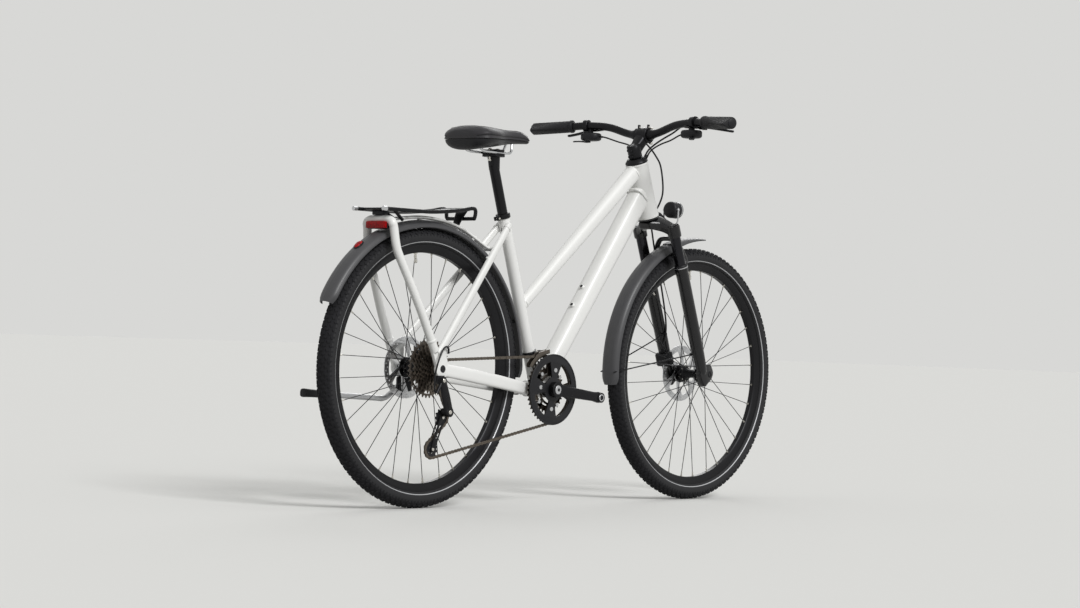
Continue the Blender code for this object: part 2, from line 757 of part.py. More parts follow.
def spine_route(count):
    """The carrier spine's middle line, over the mudguard from the hoop to the seatstay bridge."""
    points = [from_rear(-HOOP_REACH + 0.006, 0.0, HOOP_RISE + 0.0005)]
    points += [from_rear(x * MUDGUARD_RADIUS, 0.0, z * MUDGUARD_RADIUS) for x, z in SPINE_POINTS]
    return smooth_route(points, count)


def make_carrier_frame(chainstays, stays):
    """The painted hoop behind the wheel and the spine that ties it to the seatstays."""
    route = hoop_route(-1) + list(reversed(hoop_route(1)))
    hoop = pipe("carrier_hoop", route, HOOP_RADIUS, 2)
    stations = [(point, SPINE_HALF_WIDTH, SPINE_HALF_THICKNESS) for point in spine_route(10)]
    hoop = fused(hoop, beam("spine", stations, 8, 3.0))
    for degrees in (62.0, 93.0):
        angle = math.radians(degrees)
        out = Vector((math.cos(angle), 0.0, math.sin(angle)))
        foot = REAR_AXLE + out * (MUDGUARD_RADIUS + GAP)
        hoop = fused(hoop, cylinder("pad", foot, foot + out * 0.009, 0.007, 8))
    return clear(hoop, *chainstays, stays)


def mudguard(name, axle, start, end, radius, growth, steps, flat_start=1.0):
    """A mudguard shell: a flattened arch section swept round the axle between two angles.

    Angles are counted from straight ahead, upward and over. The radius grows past the top by growth.
    The side lips are scaled by flat_start at the first angle and reach full depth 25 degrees on.
    """
    section = 6
    shape = bmesh.new()
    rows = []
    for i in range(steps + 1):
        angle = start + (end - start) * i / steps
        past = max(0.0, (angle - 100.0) / (end - 100.0)) if end > 100.0 else 0.0
        crown = radius + growth * past
        lip = MUDGUARD_LIP * (flat_start + (1.0 - flat_start) * min(1.0, (angle - start) / 25.0))
        row = []
        for j in range(section + 1):
            across = -1.0 + 2.0 * j / section
            r = crown - lip * (1.0 - math.sqrt(max(0.0, 1.0 - abs(across) ** 2.6)))
            turn = math.radians(angle)
            row.append(shape.verts.new(axle + Vector((
                r * math.cos(turn), across * MUDGUARD_HALF_WIDTH, r * math.sin(turn)))))
        rows.append(row)
    for low, high in zip(rows, rows[1:]):
        for j in range(section):
            shape.faces.new((low[j], low[j + 1], high[j + 1], high[j]))
    mesh = bpy.data.meshes.new(name)
    shape.to_mesh(mesh)
    shape.free()
    thing = new_object(name, mesh)
    wall = thing.modifiers.new("wall", "SOLIDIFY")
    wall.thickness = MUDGUARD_WALL
    wall.offset = -1.0
    return baked(thing)


def make_rear_mudguard(frame):
    """The rear mudguard from behind the seat tube to its tail, with its red reflector."""
    guard = mudguard("rear_mudguard", REAR_AXLE, -3.0, 155.7, MUDGUARD_RADIUS,
                     MUDGUARD_TAIL_RADIUS - MUDGUARD_RADIUS, 16)
    guard = clear(guard, frame["stays"], frame["hoop"], frame["right"], frame["left"])
    finish(guard, "guard_plastic")
    angle = math.radians(128.0)
    out = Vector((math.cos(angle), 0.0, math.sin(angle)))
    along = Vector((-math.sin(angle), 0.0, math.cos(angle)))
    radius = MUDGUARD_RADIUS + (MUDGUARD_TAIL_RADIUS - MUDGUARD_RADIUS) * (128.0 - 100.0) / 55.7
    middle = REAR_AXLE + out * (radius + 0.003)
    rings = [oval(middle + out * d, along, LEFT, 0.016 * k, 0.010 * k, 12)
             for d, k in ((-0.0034, 1.0), (0.001, 1.0), (0.004, 0.8))]
    reflector = clear(loft("rear_reflector", rings), guard)
    finish(reflector, "red_lens")


def deck_height(t):
    """The carrier deck's height over the rear axle, t running from its rear end to its front end."""
    rise = DECK_FRONT_RISE * max(0.0, (t - 0.45) / 0.55) ** 1.5
    return HOOP_TOP - TYRE_RADIUS + 0.026 + rise


def deck_point(t, side):
    """A point on the carrier deck's rail height."""
    rear = -0.204
    return from_rear(rear + DECK_LENGTH * t, side, deck_height(t))


def make_deck(frame):
    """The carrier deck: two rails, cross bars, a middle plate and its struts to the painted spine."""
    rail = [deck_point(i / 6, 0.0) for i in range(7)]
    half = DECK_HALF_WIDTH
    corner = 0.016
    route = [point + LEFT * half for point in rail[:-1]]
    lip = UP * DECK_LIP
    route += [deck_point(0.99, half), deck_point(1.006, half - corner * 0.2) - lip * 0.9]
    route += [deck_point(1.010, half - corner) - lip, deck_point(1.010, -half + corner) - lip]
    route += [deck_point(1.006, -half + corner * 0.2) - lip * 0.9, deck_point(0.99, -half)]
    route += [point - LEFT * half for point in reversed(rail[:-1])]
    deck = pipe("carrier_deck", route, DECK_RAIL_RADIUS, 1)
    stations = [(deck_point(t, 0.0), 0.030, 0.003) for t in (0.06, 0.5, 0.75, 0.985)]
    deck = fused(deck, beam("plank", stations, 8, 6.0))
    for t in (0.09, 0.36, 0.64):
        bar = cylinder("bar", deck_point(t, -half), deck_point(t, half), 0.0042, 6)
        deck = fused(deck, bar)
    hoop_x = -HOOP_REACH
    seat_height = HOOP_TOP - TYRE_RADIUS
    block = box("block", from_rear(hoop_x, 0.0, seat_height + 0.014), (0.020, 0.040, 0.024))
    strut = beam("strut", [(from_rear(0.1400, 0.0, 0.4120), 0.020, 0.003),
                           (from_rear(0.1160, 0.0, 0.3690), 0.010, 0.003)], 8, 4.0)
    struts = []
    for side in (-1, 1):
        high = from_rear(-0.142, side * 0.022, 0.4000)
        low = from_rear(-0.095, side * 0.0120, 0.3735)
        struts.append(cylinder("rear_strut", high, low, 0.0042, 6))
    deck = fused(deck, block, strut, *struts)
    deck = clear(deck, frame["hoop"])
    return finish(deck, "black_paint")


def make_rear_light(frame, guard):
    """The rear lamp, a rounded red bar under the hoop's top."""
    middle = from_rear(-HOOP_REACH - 0.005, 0.0, HOOP_TOP - TYRE_RADIUS - HOOP_RADIUS - 0.0078)
    lamp = box("rear_light", middle, (0.020, 0.069, 0.0165), bevel=0.004)
    lamp = clear(lamp, frame["hoop"], guard)
    return finish(lamp, "red_lens")


# Fork

def make_fork_crown():
    """The fork's crown with its steerer and both stanchions."""
    top = HEAD_LENGTH + CUP_HEIGHT
    crown = cylinder("fork_crown", steer(top + CROWN_THICKNESS * 0.5), steer(-STEM_ABOVE_HEAD - 0.016),
                     STEERER_RADIUS, 20, hint=LEFT)
    race = cylinder("race", steer(HEAD_LENGTH + GAP), steer(top + 0.004), HEAD_RADIUS * 0.93, 20, hint=LEFT)
    spread = STANCHION_SPREAD
    ahead = STANCHION_AHEAD
    block_rings = []
    for side, shift, half_height, half_length, drop in (
            (-spread, ahead, 0.0150, 0.017, CROWN_DROP), (-spread * 0.60, ahead * 0.75, 0.0160, 0.019, 0.010),
            (-0.020, 0.008, 0.0140, 0.030, 0.0), (0.020, 0.008, 0.0140, 0.030, 0.0),
            (spread * 0.60, ahead * 0.75, 0.0160, 0.019, 0.010), (spread, ahead, 0.0150, 0.017, CROWN_DROP)):
        centre = steer(top + drop + half_height, shift, side)
        block_rings.append(oval(centre, STEER_AHEAD, STEER_DOWN, half_length, half_height, 8, 3.5))
    parts = [race, loft("block", block_rings)]
    for side in (-spread, spread):
        socket = top + CROWN_DROP
        parts.append(cylinder("sleeve", steer(socket, ahead, side), steer(socket + CROWN_SLEEVE, ahead, side),
                              STANCHION_RADIUS + 0.004, 12, hint=LEFT))
        parts.append(cylinder("stanchion", steer(socket + 0.01, ahead, side),
                              steer(SEAL_DOWN + STANCHION_OVERLAP, ahead, side), STANCHION_RADIUS, 12,
                              hint=LEFT))
    return finish(fused(crown, *parts), "black_metal")


def make_fork_lowers():
    """The fork's lower legs with their arch and dropouts."""
    spread = STANCHION_SPREAD
    ahead = STANCHION_AHEAD
    foot_down = HEAD_TO_AXLE - 0.012
    legs = []
    inner = FRONT_HUB_WIDTH / 2
    outer = spread + LEG_FOOT_RADIUS * 0.55
    for side in (-1, 1):
        rings = []
        for down, radius in ((SEAL_DOWN, LEG_RADIUS + 0.0015), (SEAL_DOWN + 0.014, LEG_RADIUS + 0.0015),
                             (SEAL_DOWN + 0.018, LEG_RADIUS), (foot_down - 0.10, LEG_RADIUS - 0.0005),
                             (foot_down, LEG_FOOT_RADIUS)):
            rings.append(oval(steer(down, ahead, side * spread), STEER_AHEAD, LEFT, radius, radius, 12))
        leg = loft("leg", rings)
        outline = [(-0.036, -0.008), (-0.024, -0.024), (0.000, -0.026), (0.014, -0.022), (0.020, -0.010),
                   (0.020, 0.010), (0.008, 0.022), (-0.028, 0.030)]
        middle = steer(HEAD_TO_AXLE - 0.006, FORK_OFFSET - 0.004, side * (inner + outer) / 2)
        foot = plate("foot", [outline], outer - inner, middle, LEFT, STEER_AHEAD)
        bore = cylinder("bore", steer(SEAL_DOWN - 0.01, ahead, side * spread),
                        steer(SEAL_DOWN + STANCHION_OVERLAP + FORK_TRAVEL + 0.015, ahead, side * spread),
                        STANCHION_RADIUS + RUNNING, 12, hint=LEFT)
        legs.append(cut(fused(leg, foot), bore))
    out = ahead + ARCH_AHEAD
    foot_side = spread - 0.006
    points = []
    for down, forward, side in (
            (SEAL_DOWN + 0.010, ahead + 0.014, foot_side), (SEAL_DOWN - 0.006, out - 0.006, foot_side),
            (SEAL_DOWN - 0.040, out, foot_side - 0.012), (SEAL_DOWN - ARCH_RISE + 0.005, out, 0.024),
            (SEAL_DOWN - ARCH_RISE, out, 0.0)):
        points.append((down, forward, side))
    mirrored = [(down, forward, -side) for down, forward, side in reversed(points[:-1])]
    route = [steer(*point) for point in points + mirrored]
    arch = pipe("arch", route, ARCH_RADIUS, 2)
    keep_bore = [cylinder("bore", steer(SEAL_DOWN - 0.02, ahead, side * spread),
                          steer(SEAL_DOWN + 0.05, ahead, side * spread), STANCHION_RADIUS + RUNNING, 12,
                          hint=LEFT) for side in (-1, 1)]
    arch = cut(arch, *keep_bore)
    lowers = fused(legs[0], legs[1], arch)
    lowers.name = "fork_lowers"
    return finish(lowers, "black_paint")


def make_front_mudguard(lowers):
    """The front mudguard with its short tongue ahead of the arch and its wire stay."""
    guard = mudguard("front_mudguard", FRONT_AXLE, 86.0, 185.5, FRONT_MUDGUARD_RADIUS, -0.014, 13, 0.2)
    clamp_side = STANCHION_SPREAD - LEG_FOOT_RADIUS - 0.004
    angle = math.radians(180.0)
    root = FRONT_AXLE + Vector((math.cos(angle), 0.0, math.sin(angle))) * (FRONT_MUDGUARD_RADIUS - 0.015)
    for side, above in ((-1, 0.070), (1, 0.130)):
        foot = steer(HEAD_TO_AXLE - above, STANCHION_AHEAD - 0.006, side * clamp_side)
        wire = cylinder("wire", root + LEFT * side * 0.0232, foot, 0.0019, 6, hint=LEFT)
        guard = fused(guard, wire)
    guard = clear(guard, lowers)
    return finish(guard, "guard_plastic")


def make_calipers(lowers, frame):
    """Front and rear brake calipers, each slotted over its rotor."""
    rotor_y = FRONT_HUB_WIDTH / 2 - ROTOR_INSET
    angle = math.radians(148)
    middle = FRONT_AXLE + Vector((math.cos(angle), 0.0, math.sin(angle))) * (ROTOR_RADIUS - 0.004)
    middle.y = rotor_y + 0.008
    body = box("front_caliper", middle, (0.036, 0.046, 0.040), axis=STEER_DOWN, hint=STEER_AHEAD,
               bevel=0.004)
    slot = cylinder("slot", FRONT_AXLE + LEFT * (rotor_y - 0.0022), FRONT_AXLE + LEFT * (rotor_y + 0.0022),
                    ROTOR_RADIUS + 0.002, 30)
    front = clear(cut(body, slot), lowers)
    finish(front, "black_metal")

    rotor_y = REAR_HUB_WIDTH / 2 - ROTOR_INSET - 0.010
    angle = math.radians(33)
    middle = REAR_AXLE + Vector((math.cos(angle), 0.0, math.sin(angle))) * (ROTOR_RADIUS + 0.002)
    middle.y = rotor_y + 0.007
    body = box("rear_caliper", middle, (0.046, 0.038, 0.034), axis=Vector((-0.10, 0.0, 1.0)), hint=AHEAD,
               bevel=0.004)
    slot = cylinder("slot", REAR_AXLE + LEFT * (rotor_y - 0.0022), REAR_AXLE + LEFT * (rotor_y + 0.0022),
                    ROTOR_RADIUS + 0.002, 30)
    body = cut(body, slot)
    for ahead in (-0.013, 0.013):
        foot = Vector((middle.x + ahead, middle.y + 0.0125, middle.z))
        body = fused(body, cylinder("foot", foot, foot - UP * 0.045, 0.0055, 8))
    body.name = "rear_caliper"
    rear = clear(body, frame["left"], frame["stays"])
    finish(rear, "black_metal")
    return front, rear


def make_headlight():
    """The head lamp on its bracket from the crown's front."""
    back = Vector((0.4370, 0.0, 0.8200))
    nose = back + AHEAD * 0.038
    profile = [(0.0, 0.038), (0.0215, 0.038), (0.0235, 0.034), (0.0235, 0.0065), (0.0190, 0.0012), (0.0, 0.0)]
    lamp = turned("headlight", profile, back, nose - back, 16)
    top = HEAD_LENGTH + CUP_HEIGHT
    face = 0.0367 + GAP
    tab = box("tab", steer(top + 0.0075, face + 0.002), (0.004, 0.024, 0.013), axis=STEER_DOWN,
              hint=STEER_AHEAD)
    arm = pipe("arm", [steer(top + 0.003, face + 0.002), steer(top + 0.003, face + 0.020),
                       steer(top - 0.004, face + 0.036), back + Vector((0.014, 0.0, -0.014))], 0.0034, 1)
    return finish(fused(lamp, tab, arm), "black_paint")


# Cockpit

def bar_point(side):
    """The handlebar's axis at a distance to the left of the middle."""
    reach = abs(side)
    slope = 0.024
    turn = 0.082
    rise = BAR_RISE * (1.0 / (1.0 + math.exp((turn - reach) / slope)) - 1.0 / (1.0 + math.exp(turn / slope)))
    fall = 0.060 * max(0.0, reach - 0.200)
    sweep = BAR_SWEEP * (reach / BAR_HALF_WIDTH) ** 1.9
    centre = steer(-BAR_RISE_FROM_HEAD, 0.0)
    clamp_x = centre.x + BAR_AHEAD
    clamp_z = HEAD_TOP.z + 0.0785
    return Vector((clamp_x - sweep, side, clamp_z + rise - fall))


def bar_direction(side):
    """The handlebar's direction toward the left at a distance from the middle."""
    return (bar_point(side + 0.002) - bar_point(side - 0.002)).normalized()


def make_handlebar():
    """The handlebar: a riser bar, thicker in the clamp."""
    sides = [-BAR_HALF_WIDTH + 2 * BAR_HALF_WIDTH * i / 16 for i in range(17)]
    bar = pipe("handlebar", [bar_point(side) for side in sides], BAR_RADIUS, 2)
    centre = bar_point(0.0)
    thick = cylinder("thick", centre - LEFT * 0.026, centre + LEFT * 0.026, BAR_CLAMP_RADIUS, 16)
    return finish(fused(bar, thick), "black_metal")


def make_stem():
    """The headset cover on the head tube and the stem from the steerer to the handlebar."""
    cover_top = -0.014
    bore = STEERER_RADIUS + GAP
    cover = turned("headset_cover", [(bore, -cover_top), (0.024, -cover_top), (HEAD_RADIUS * 1.02, 0.004),
                                     (HEAD_RADIUS * 1.02, GAP), (bore, GAP)],
                   steer(0.0), -STEER_DOWN, 16, LEFT)
    finish(cover, "black_paint")
    height = STEM_ABOVE_HEAD + 0.020
    body = cylinder("stem", steer(cover_top - GAP), steer(-height), STEM_RADIUS + 0.003, 16, hint=LEFT)
    grip = bar_point(0.0)
    start = steer(-STEM_ABOVE_HEAD - 0.004)
    arm = beam("arm", [(start, 0.016, 0.017), (grip - (grip - start).normalized() * 0.008, 0.019, 0.017)],
               12, 3.0)
    half = LEFT * 0.0215
    clamp = cylinder("clamp", grip - half, grip + half, BAR_CLAMP_RADIUS + 0.006, 20)
    bar_bore = cylinder("bar_bore", grip - half * 1.5, grip + half * 1.5, BAR_CLAMP_RADIUS + GAP, 16)
    for side in (-1, 1):
        ear = box("ear", grip + Vector((0.0, side * 0.0165, 0.0230)), (0.010, 0.0040, 0.0140))
        clamp = fused(clamp, ear)
    steer_bore = cylinder("steer_bore", steer(0.02), steer(-STEM_ABOVE_HEAD - 0.0165), STEERER_RADIUS + GAP,
                          20, hint=LEFT)
    stem = cut(fused(body, arm, clamp), bar_bore, steer_bore)
    stem.name = "stem"
    return finish(stem, "black_metal")


def make_grip(name, side):
    """An ergonomic grip: round inside, with a palm wing that widens to the bar's end."""
    outer = BAR_HALF_WIDTH + 0.004
    inner = outer - GRIP_LENGTH
    rings = []
    for t, wing in ((0.0, 0.0), (0.08, 0.0), (0.35, 0.25), (0.65, 0.7), (0.88, 1.0), (1.0, 0.8)):
        reach = inner + (outer - inner) * t
        centre = bar_point(side * reach)
        along = bar_direction(side * reach)
        back = (along.cross(UP)).normalized()
        if back.x > 0:
            back.negate()
        lift = back.cross(along).normalized()
        if lift.z < 0:
            lift.negate()
        ring = []
        for i in range(11):
            angle = 2 * math.pi * i / 11
            toward = max(0.0, math.cos(angle))
            radius = GRIP_RADIUS + (GRIP_WING - GRIP_RADIUS) * wing * toward ** 1.5
            flat = 1.0 - 0.25 * wing * toward
            ring.append(centre + back * math.cos(angle) * radius
                        + lift * (math.sin(angle) * GRIP_RADIUS * flat - 0.003 * wing * toward))
        rings.append(ring)
    grip = loft(name, rings)
    return finish(grip, "soft_rubber")


def lever_clamp_reach():
    """How far from the middle each brake lever's clamp sits."""
    return BAR_HALF_WIDTH - GRIP_LENGTH - 0.038


def lever_pivot(side):
    """The brake lever's pivot, ahead of and below the bar just inside the grip."""
    reach = BAR_HALF_WIDTH - GRIP_LENGTH - 0.026
    return bar_point(side * reach) + Vector((0.036, 0.0, -0.010)), reach


def make_controls(side, suffix, bar):
    """One side's brake lever mount with its shifter, the brake lever and the shift trigger."""
    pivot, reach = lever_pivot(side)
    clamp_reach = lever_clamp_reach()
    centre = bar_point(side * clamp_reach)
    along = bar_direction(side * clamp_reach)
    ring = cylinder("ring", centre - along * 0.007, centre + along * 0.007, BAR_RADIUS + 0.0055, 12)
    master = cylinder("master", centre + Vector((0.020, -side * 0.052, -0.004)),
                      pivot + Vector((-0.009, -side * 0.004, 0.003)), 0.0085, 8)
    neck = box("neck", centre + Vector((0.013, -side * 0.004, -0.003)), (0.020, 0.016, 0.014), bevel=0.002)
    pod_centre = centre + Vector((0.006, -side * 0.012, -0.031))
    pod_rings = [oval(pod_centre + UP * d, AHEAD, LEFT, 0.023 * k, 0.030 * k, 10, 2.6)
                 for d, k in ((-0.011, 0.75), (-0.007, 1.0), (0.006, 1.0), (0.010, 0.8))]
    pod = loft("pod", pod_rings)
    strap = box("strap", centre + Vector((0.004, -side * 0.010, -0.016)), (0.014, 0.016, 0.022))
    mount = fused(ring, master, neck, pod, strap)
    mount.name = "lever_mount_" + suffix
    ear = [cylinder("ear", pivot + UP * (0.0052 + k), pivot + UP * (0.0080 + k), 0.0075, 8)
           for k in (0.0, -0.0132)]
    web = box("web", pivot + Vector((-0.010, -side * 0.002, 0.0)), (0.012, 0.014, 0.0156))
    mount = fused(mount, web, *ear)
    mount = cut(mount, cylinder("gap", pivot - UP * 0.0052, pivot + UP * 0.0052, 0.0102, 12))
    mount = clear(mount, bar)
    finish(mount, "black_paint")

    tip_reach = min(reach + LEVER_LENGTH, BAR_HALF_WIDTH - 0.010)
    tip = bar_point(side * tip_reach) + Vector((LEVER_REACH + 0.020, 0.0, -0.018))
    bend = bar_point(side * (reach + 0.026)) + Vector((LEVER_REACH + 0.004, 0.0, -0.012))
    route = smooth_route([pivot, bend, bend.lerp(tip, 0.55) + AHEAD * 0.003, tip], 6)
    blade = beam_horizontal("brake_lever_" + suffix, route, 0.0062, 0.0042)
    hub = cylinder("hub", pivot - UP * 0.0049, pivot + UP * 0.0049, 0.0068, 12)
    blade = fused(blade, hub)
    finish(set_pivot(blade, pivot), "black_metal")

    axis_point = pod_centre + Vector((-0.006, side * 0.006, -0.0115))
    paddle = box("shift_trigger_" + suffix, axis_point + Vector((-0.016, side * 0.014, -0.0030)),
                 (0.040, 0.013, 0.0045), hint=Vector((-0.75, side * 0.65, 0.0)), bevel=0.0012)
    knob = cylinder("knob", axis_point - UP * 0.0053, axis_point - UP * GAP, 0.0075, 12)
    trigger = clear(fused(paddle, knob), mount)
    trigger.name = "shift_trigger_" + suffix
    finish(set_pivot(trigger, axis_point), "black_paint")
    return pivot, axis_point, centre


def beam_horizontal(name, route, half_flat, half_height):
    """A flat blade along a route that stays nearly level."""
    rings = []
    for i, point in enumerate(route):
        before = route[max(i - 1, 0)]
        after = route[min(i + 1, len(route) - 1)]
        along = (after - before).normalized()
        flat = along.cross(UP).normalized()
        lift = flat.cross(along).normalized()
        taper = 1.0 if i < len(route) - 1 else 0.7
        rings.append(oval(point, flat, lift, half_flat * taper, half_height * taper, 8, 2.6))
    return loft(name, rings)


# Seat

def make_seat(frame):
    """The seat collar, the seatpost with its clamp, and the saddle on its rails."""
    top = SEAT_TUBE_LENGTH
    outer = SEAT_TUBE_RADIUS + 0.0035
    bore = SEATPOST_RADIUS + GAP * 2
    sleeve = (SEAT_TUBE_RADIUS + GAP) / math.cos(math.pi / 16)
    collar = turned("seat_collar", [(bore, 0.014), (outer - 0.002, 0.014), (outer, 0.010), (outer, -0.004),
                                    (sleeve, -0.004), (sleeve, GAP),
                                    (bore, GAP)], seat(top), SEAT_UP, 16, LEFT)
    lug = box("lug", seat(top + 0.0055, -outer - 0.003), (0.014, 0.016, 0.011), axis=SEAT_UP,
              hint=SEAT_AHEAD, bevel=0.002)
    lug = cut(lug, cylinder("keep", seat(top - 0.03), seat(top + 0.03), outer - 0.0015, 20, hint=LEFT))
    finish(fused(collar, lug), "black_metal")

    post_top = top + SEATPOST_EXPOSED
    post = cylinder("seatpost", seat(top - SEATPOST_INSIDE), seat(post_top), SEATPOST_RADIUS, 16, hint=LEFT)
    rail_z = seat(post_top).z + RAIL_HEIGHT
    head = Vector((seat(post_top).x, 0.0, rail_z))
    cradle = box("cradle", head - UP * 0.0062, (0.042, 0.056, 0.0100), bevel=0.002)
    neck = cylinder("neck", seat(post_top - 0.012), head - UP * 0.006, SEATPOST_RADIUS - 0.0004, 12, 0.0125)
    cap = box("cap", head + UP * 0.0052, (0.036, 0.056, 0.0075), bevel=0.002)
    bolt = cylinder("bolt", head + Vector((-0.017, 0.0, -0.0215)), head + Vector((-0.008, 0.0, 0.011)),
                    0.0040, 8)
    post = fused(post, neck, cradle, cap, bolt)
    for side in (-1, 1):
        channel = head + LEFT * side * SADDLE_RAIL_HALF
        post = cut(post, cylinder("channel", channel - AHEAD * 0.04, channel + AHEAD * 0.04,
                                  SADDLE_RAIL_RADIUS + GAP * 4, 8, hint=UP))
    finish(post, "black_metal")
    make_saddle(head)


def saddle_half_width(t):
    """The saddle's half width from its rear end at 0 to its nose at 1."""
    wide = SADDLE_WIDTH / 2
    slim = SADDLE_NOSE_WIDTH / 2
    blend = 1.0 / (1.0 + math.exp((t - 0.42) / 0.085))
    body = slim + (wide - slim) * blend
    rear = math.sqrt(max(0.0, 1.0 - (1.0 - min(t / 0.16, 1.0)) ** 2.4))
    nose = math.sqrt(max(0.0, 1.0 - (1.0 - min((1.0 - t) / 0.07, 1.0)) ** 2.2))
    return max(0.008, body * (0.42 + 0.58 * rear) * (0.30 + 0.70 * nose))


def saddle_top(t):
    """The height of the saddle's middle line over its length."""
    dip = 0.0030 * math.sin(math.pi * min(1.0, max(0.0, (t - 0.15) / 0.70)))
    round_rear = 0.020 * max(0.0, 1.0 - t / 0.14) ** 2
    round_nose = 0.020 * max(0.0, (t - 0.80) / 0.20) ** 2
    return SADDLE_TOP - dip - round_rear - round_nose


def saddle_base_height(t):
    """The height where the saddle's cushion meets its shell."""
    return SADDLE_TOP - 0.036 + 0.005 * min(1.0, t / 0.45) - 0.004 * max(0.0, t - 0.45)


def make_saddle(head):
    """The saddle: a cushion with its crown and centre channel, a shell below it, and two rails."""
    rear_x = head.x - SADDLE_SETBACK
    stations = [0.0, 0.025, 0.06, 0.11, 0.18, 0.27, 0.37, 0.47, 0.57, 0.70, 0.84, 0.93, 0.975, 1.0]
    cushion_rings = []
    shell_rings = []
    around = 20
    for t in stations:
        x = rear_x + SADDLE_LENGTH * t
        half = saddle_half_width(t)
        top = saddle_top(t)
        base = saddle_base_height(t)
        channel = 0.004 * math.sin(math.pi * min(1.0, max(0.0, (t - 0.12) / 0.76))) ** 2
        ring = []
        for i in range(around):
            angle = 2 * math.pi * i / around
            c = math.cos(angle)
            s = math.sin(angle)
            y = math.copysign(abs(c) ** 0.85, c) * half
            if s >= 0:
                z = base + (top - base) * s ** 0.75
                z -= channel * math.exp(-(y / 0.010) ** 2)
            else:
                y *= 1.0 - 0.10 * abs(s)
                z = base + s * 0.0005
            ring.append(Vector((x, y, z)))
        cushion_rings.append(ring)
        skirt = 0.026 * (1.0 - t) ** 1.2 + 0.006
        shell = []
        for i in range(12):
            angle = 2 * math.pi * i / 12
            c = math.cos(angle)
            s = math.sin(angle)
            y = math.copysign(abs(c) ** 0.8, c) * half * 0.93
            z = base - 0.0015 - GAP + (s * 0.0008 if s > 0 else s * skirt)
            shell.append(Vector((x, y, z)))
        if t not in (0.025, 0.11, 0.57, 0.93):
            shell_rings.append(shell)
    cushion = loft("saddle_cover", cushion_rings)
    shell = loft("saddle_base", shell_rings)
    hollow_rings = []
    for t in (0.10, 0.30, 0.55, 0.80, 0.93):
        x = rear_x + SADDLE_LENGTH * t
        half = saddle_half_width(t) * 0.80
        base = saddle_base_height(t) - 0.008
        hollow_rings.append([Vector((x, y, z)) for y, z in (
            (-half, base), (half, base), (half, base - 0.06), (-half, base - 0.06))])
    shell = cut(shell, loft("hollow", hollow_rings))
    rails = []
    for side in (-1, 1):
        y = side * SADDLE_RAIL_HALF
        route = smooth_route([
            Vector((rear_x + SADDLE_LENGTH * 0.13, side * 0.030, saddle_base_height(0.13) - 0.006)),
            Vector((rear_x + SADDLE_LENGTH * 0.21, side * 0.026, head.z + 0.003)),
            Vector((head.x - 0.030, y, head.z)), Vector((head.x + 0.022, y, head.z)),
            Vector((head.x + 0.050, side * 0.016, head.z + 0.006)),
            Vector((rear_x + SADDLE_LENGTH * 0.74, side * 0.009, saddle_base_height(0.74) - 0.005))], 10)
        rails.append(pipe("rail", route, SADDLE_RAIL_RADIUS, 1))
    shell = fused(shell, *rails)
    shell.name = "saddle_base"
    cushion = clear(cushion, shell)
    cushion.name = "saddle_cover"
    finish(cushion, "saddle_skin")
    finish(shell, "black_paint")


# Drive

def pitch_radius(teeth):
    """The radius on which a sprocket's chain runs."""
    return TOOTH_PITCH / 2 / math.sin(math.pi / teeth)


def disc_radius(teeth):
    """The radius of a sprocket's plain disc, clear of the chain's inner side."""
    return pitch_radius(teeth) - CHAIN_HEIGHT / 2 - CHAIN_CLEARANCE


COG_SIDE = CASSETTE_SIDE - 0.001 - COG_SPACING * COG_IN_USE
GUIDE = REAR_AXLE + Vector((0.0170, 0.0, -0.1235))
TENSION = GUIDE + Vector((-0.0340, 0.0, -0.0805))
CAGE_PIVOT = GUIDE + Vector((0.0040, 0.0, 0.0145))
HANGER = REAR_AXLE + Vector((-0.0065, 0.0, -0.0290))


def chain_circles():
    """The chain's circles in the order it runs: centre, signed pitch radius and side."""
    return [
        (REAR_AXLE, pitch_radius(COG_TEETH[COG_IN_USE]), -COG_SIDE),
        (BRACKET, pitch_radius(CHAINRING_TEETH), -CHAINRING_SIDE),
        (TENSION, pitch_radius(PULLEY_TEETH), -COG_SIDE),
        (GUIDE, -pitch_radius(PULLEY_TEETH), -COG_SIDE),
    ]


def chain_path():
    """Points and outward directions along the chain's pitch line.

    Between two circles the line touches both: its normal n satisfies n.(c2 - c1) = r1 - r2.
    """
    circles = chain_circles()
    count = len(circles)
    normals = []
    for i in range(count):
        c1, r1, _ = circles[i]
        c2, r2, _ = circles[(i + 1) % count]
        apart = c2 - c1
        reach = math.hypot(apart.x, apart.z)
        normals.append(math.atan2(apart.z, apart.x) + math.acos((r1 - r2) / reach))
    path = []
    for i in range(count):
        centre, radius, side = circles[i]
        arrive = normals[i - 1]
        leave = normals[i]
        turn = (leave - arrive) % (2 * math.pi)
        if radius > 0:
            turn -= 2 * math.pi
        steps = max(4, int(abs(turn) / math.radians(15)))
        for k in range(steps + 1):
            angle = arrive + turn * k / steps
            normal = Vector((math.cos(angle), 0.0, math.sin(angle)))
            path.append((centre + normal * radius + LEFT * side, normal))
    return path


def make_chain():
    """The chain, one closed band round the sprockets and pulleys."""
    rings = []
    for point, normal in chain_path():
        half_h = normal * (CHAIN_HEIGHT / 2)
        half_w = LEFT * (CHAIN_WIDTH / 2)
        rings.append([point - half_h - half_w, point + half_h - half_w, point + half_h + half_w,
                      point - half_h + half_w])
    return finish(loft("chain", rings, closed=True), "dark_steel")


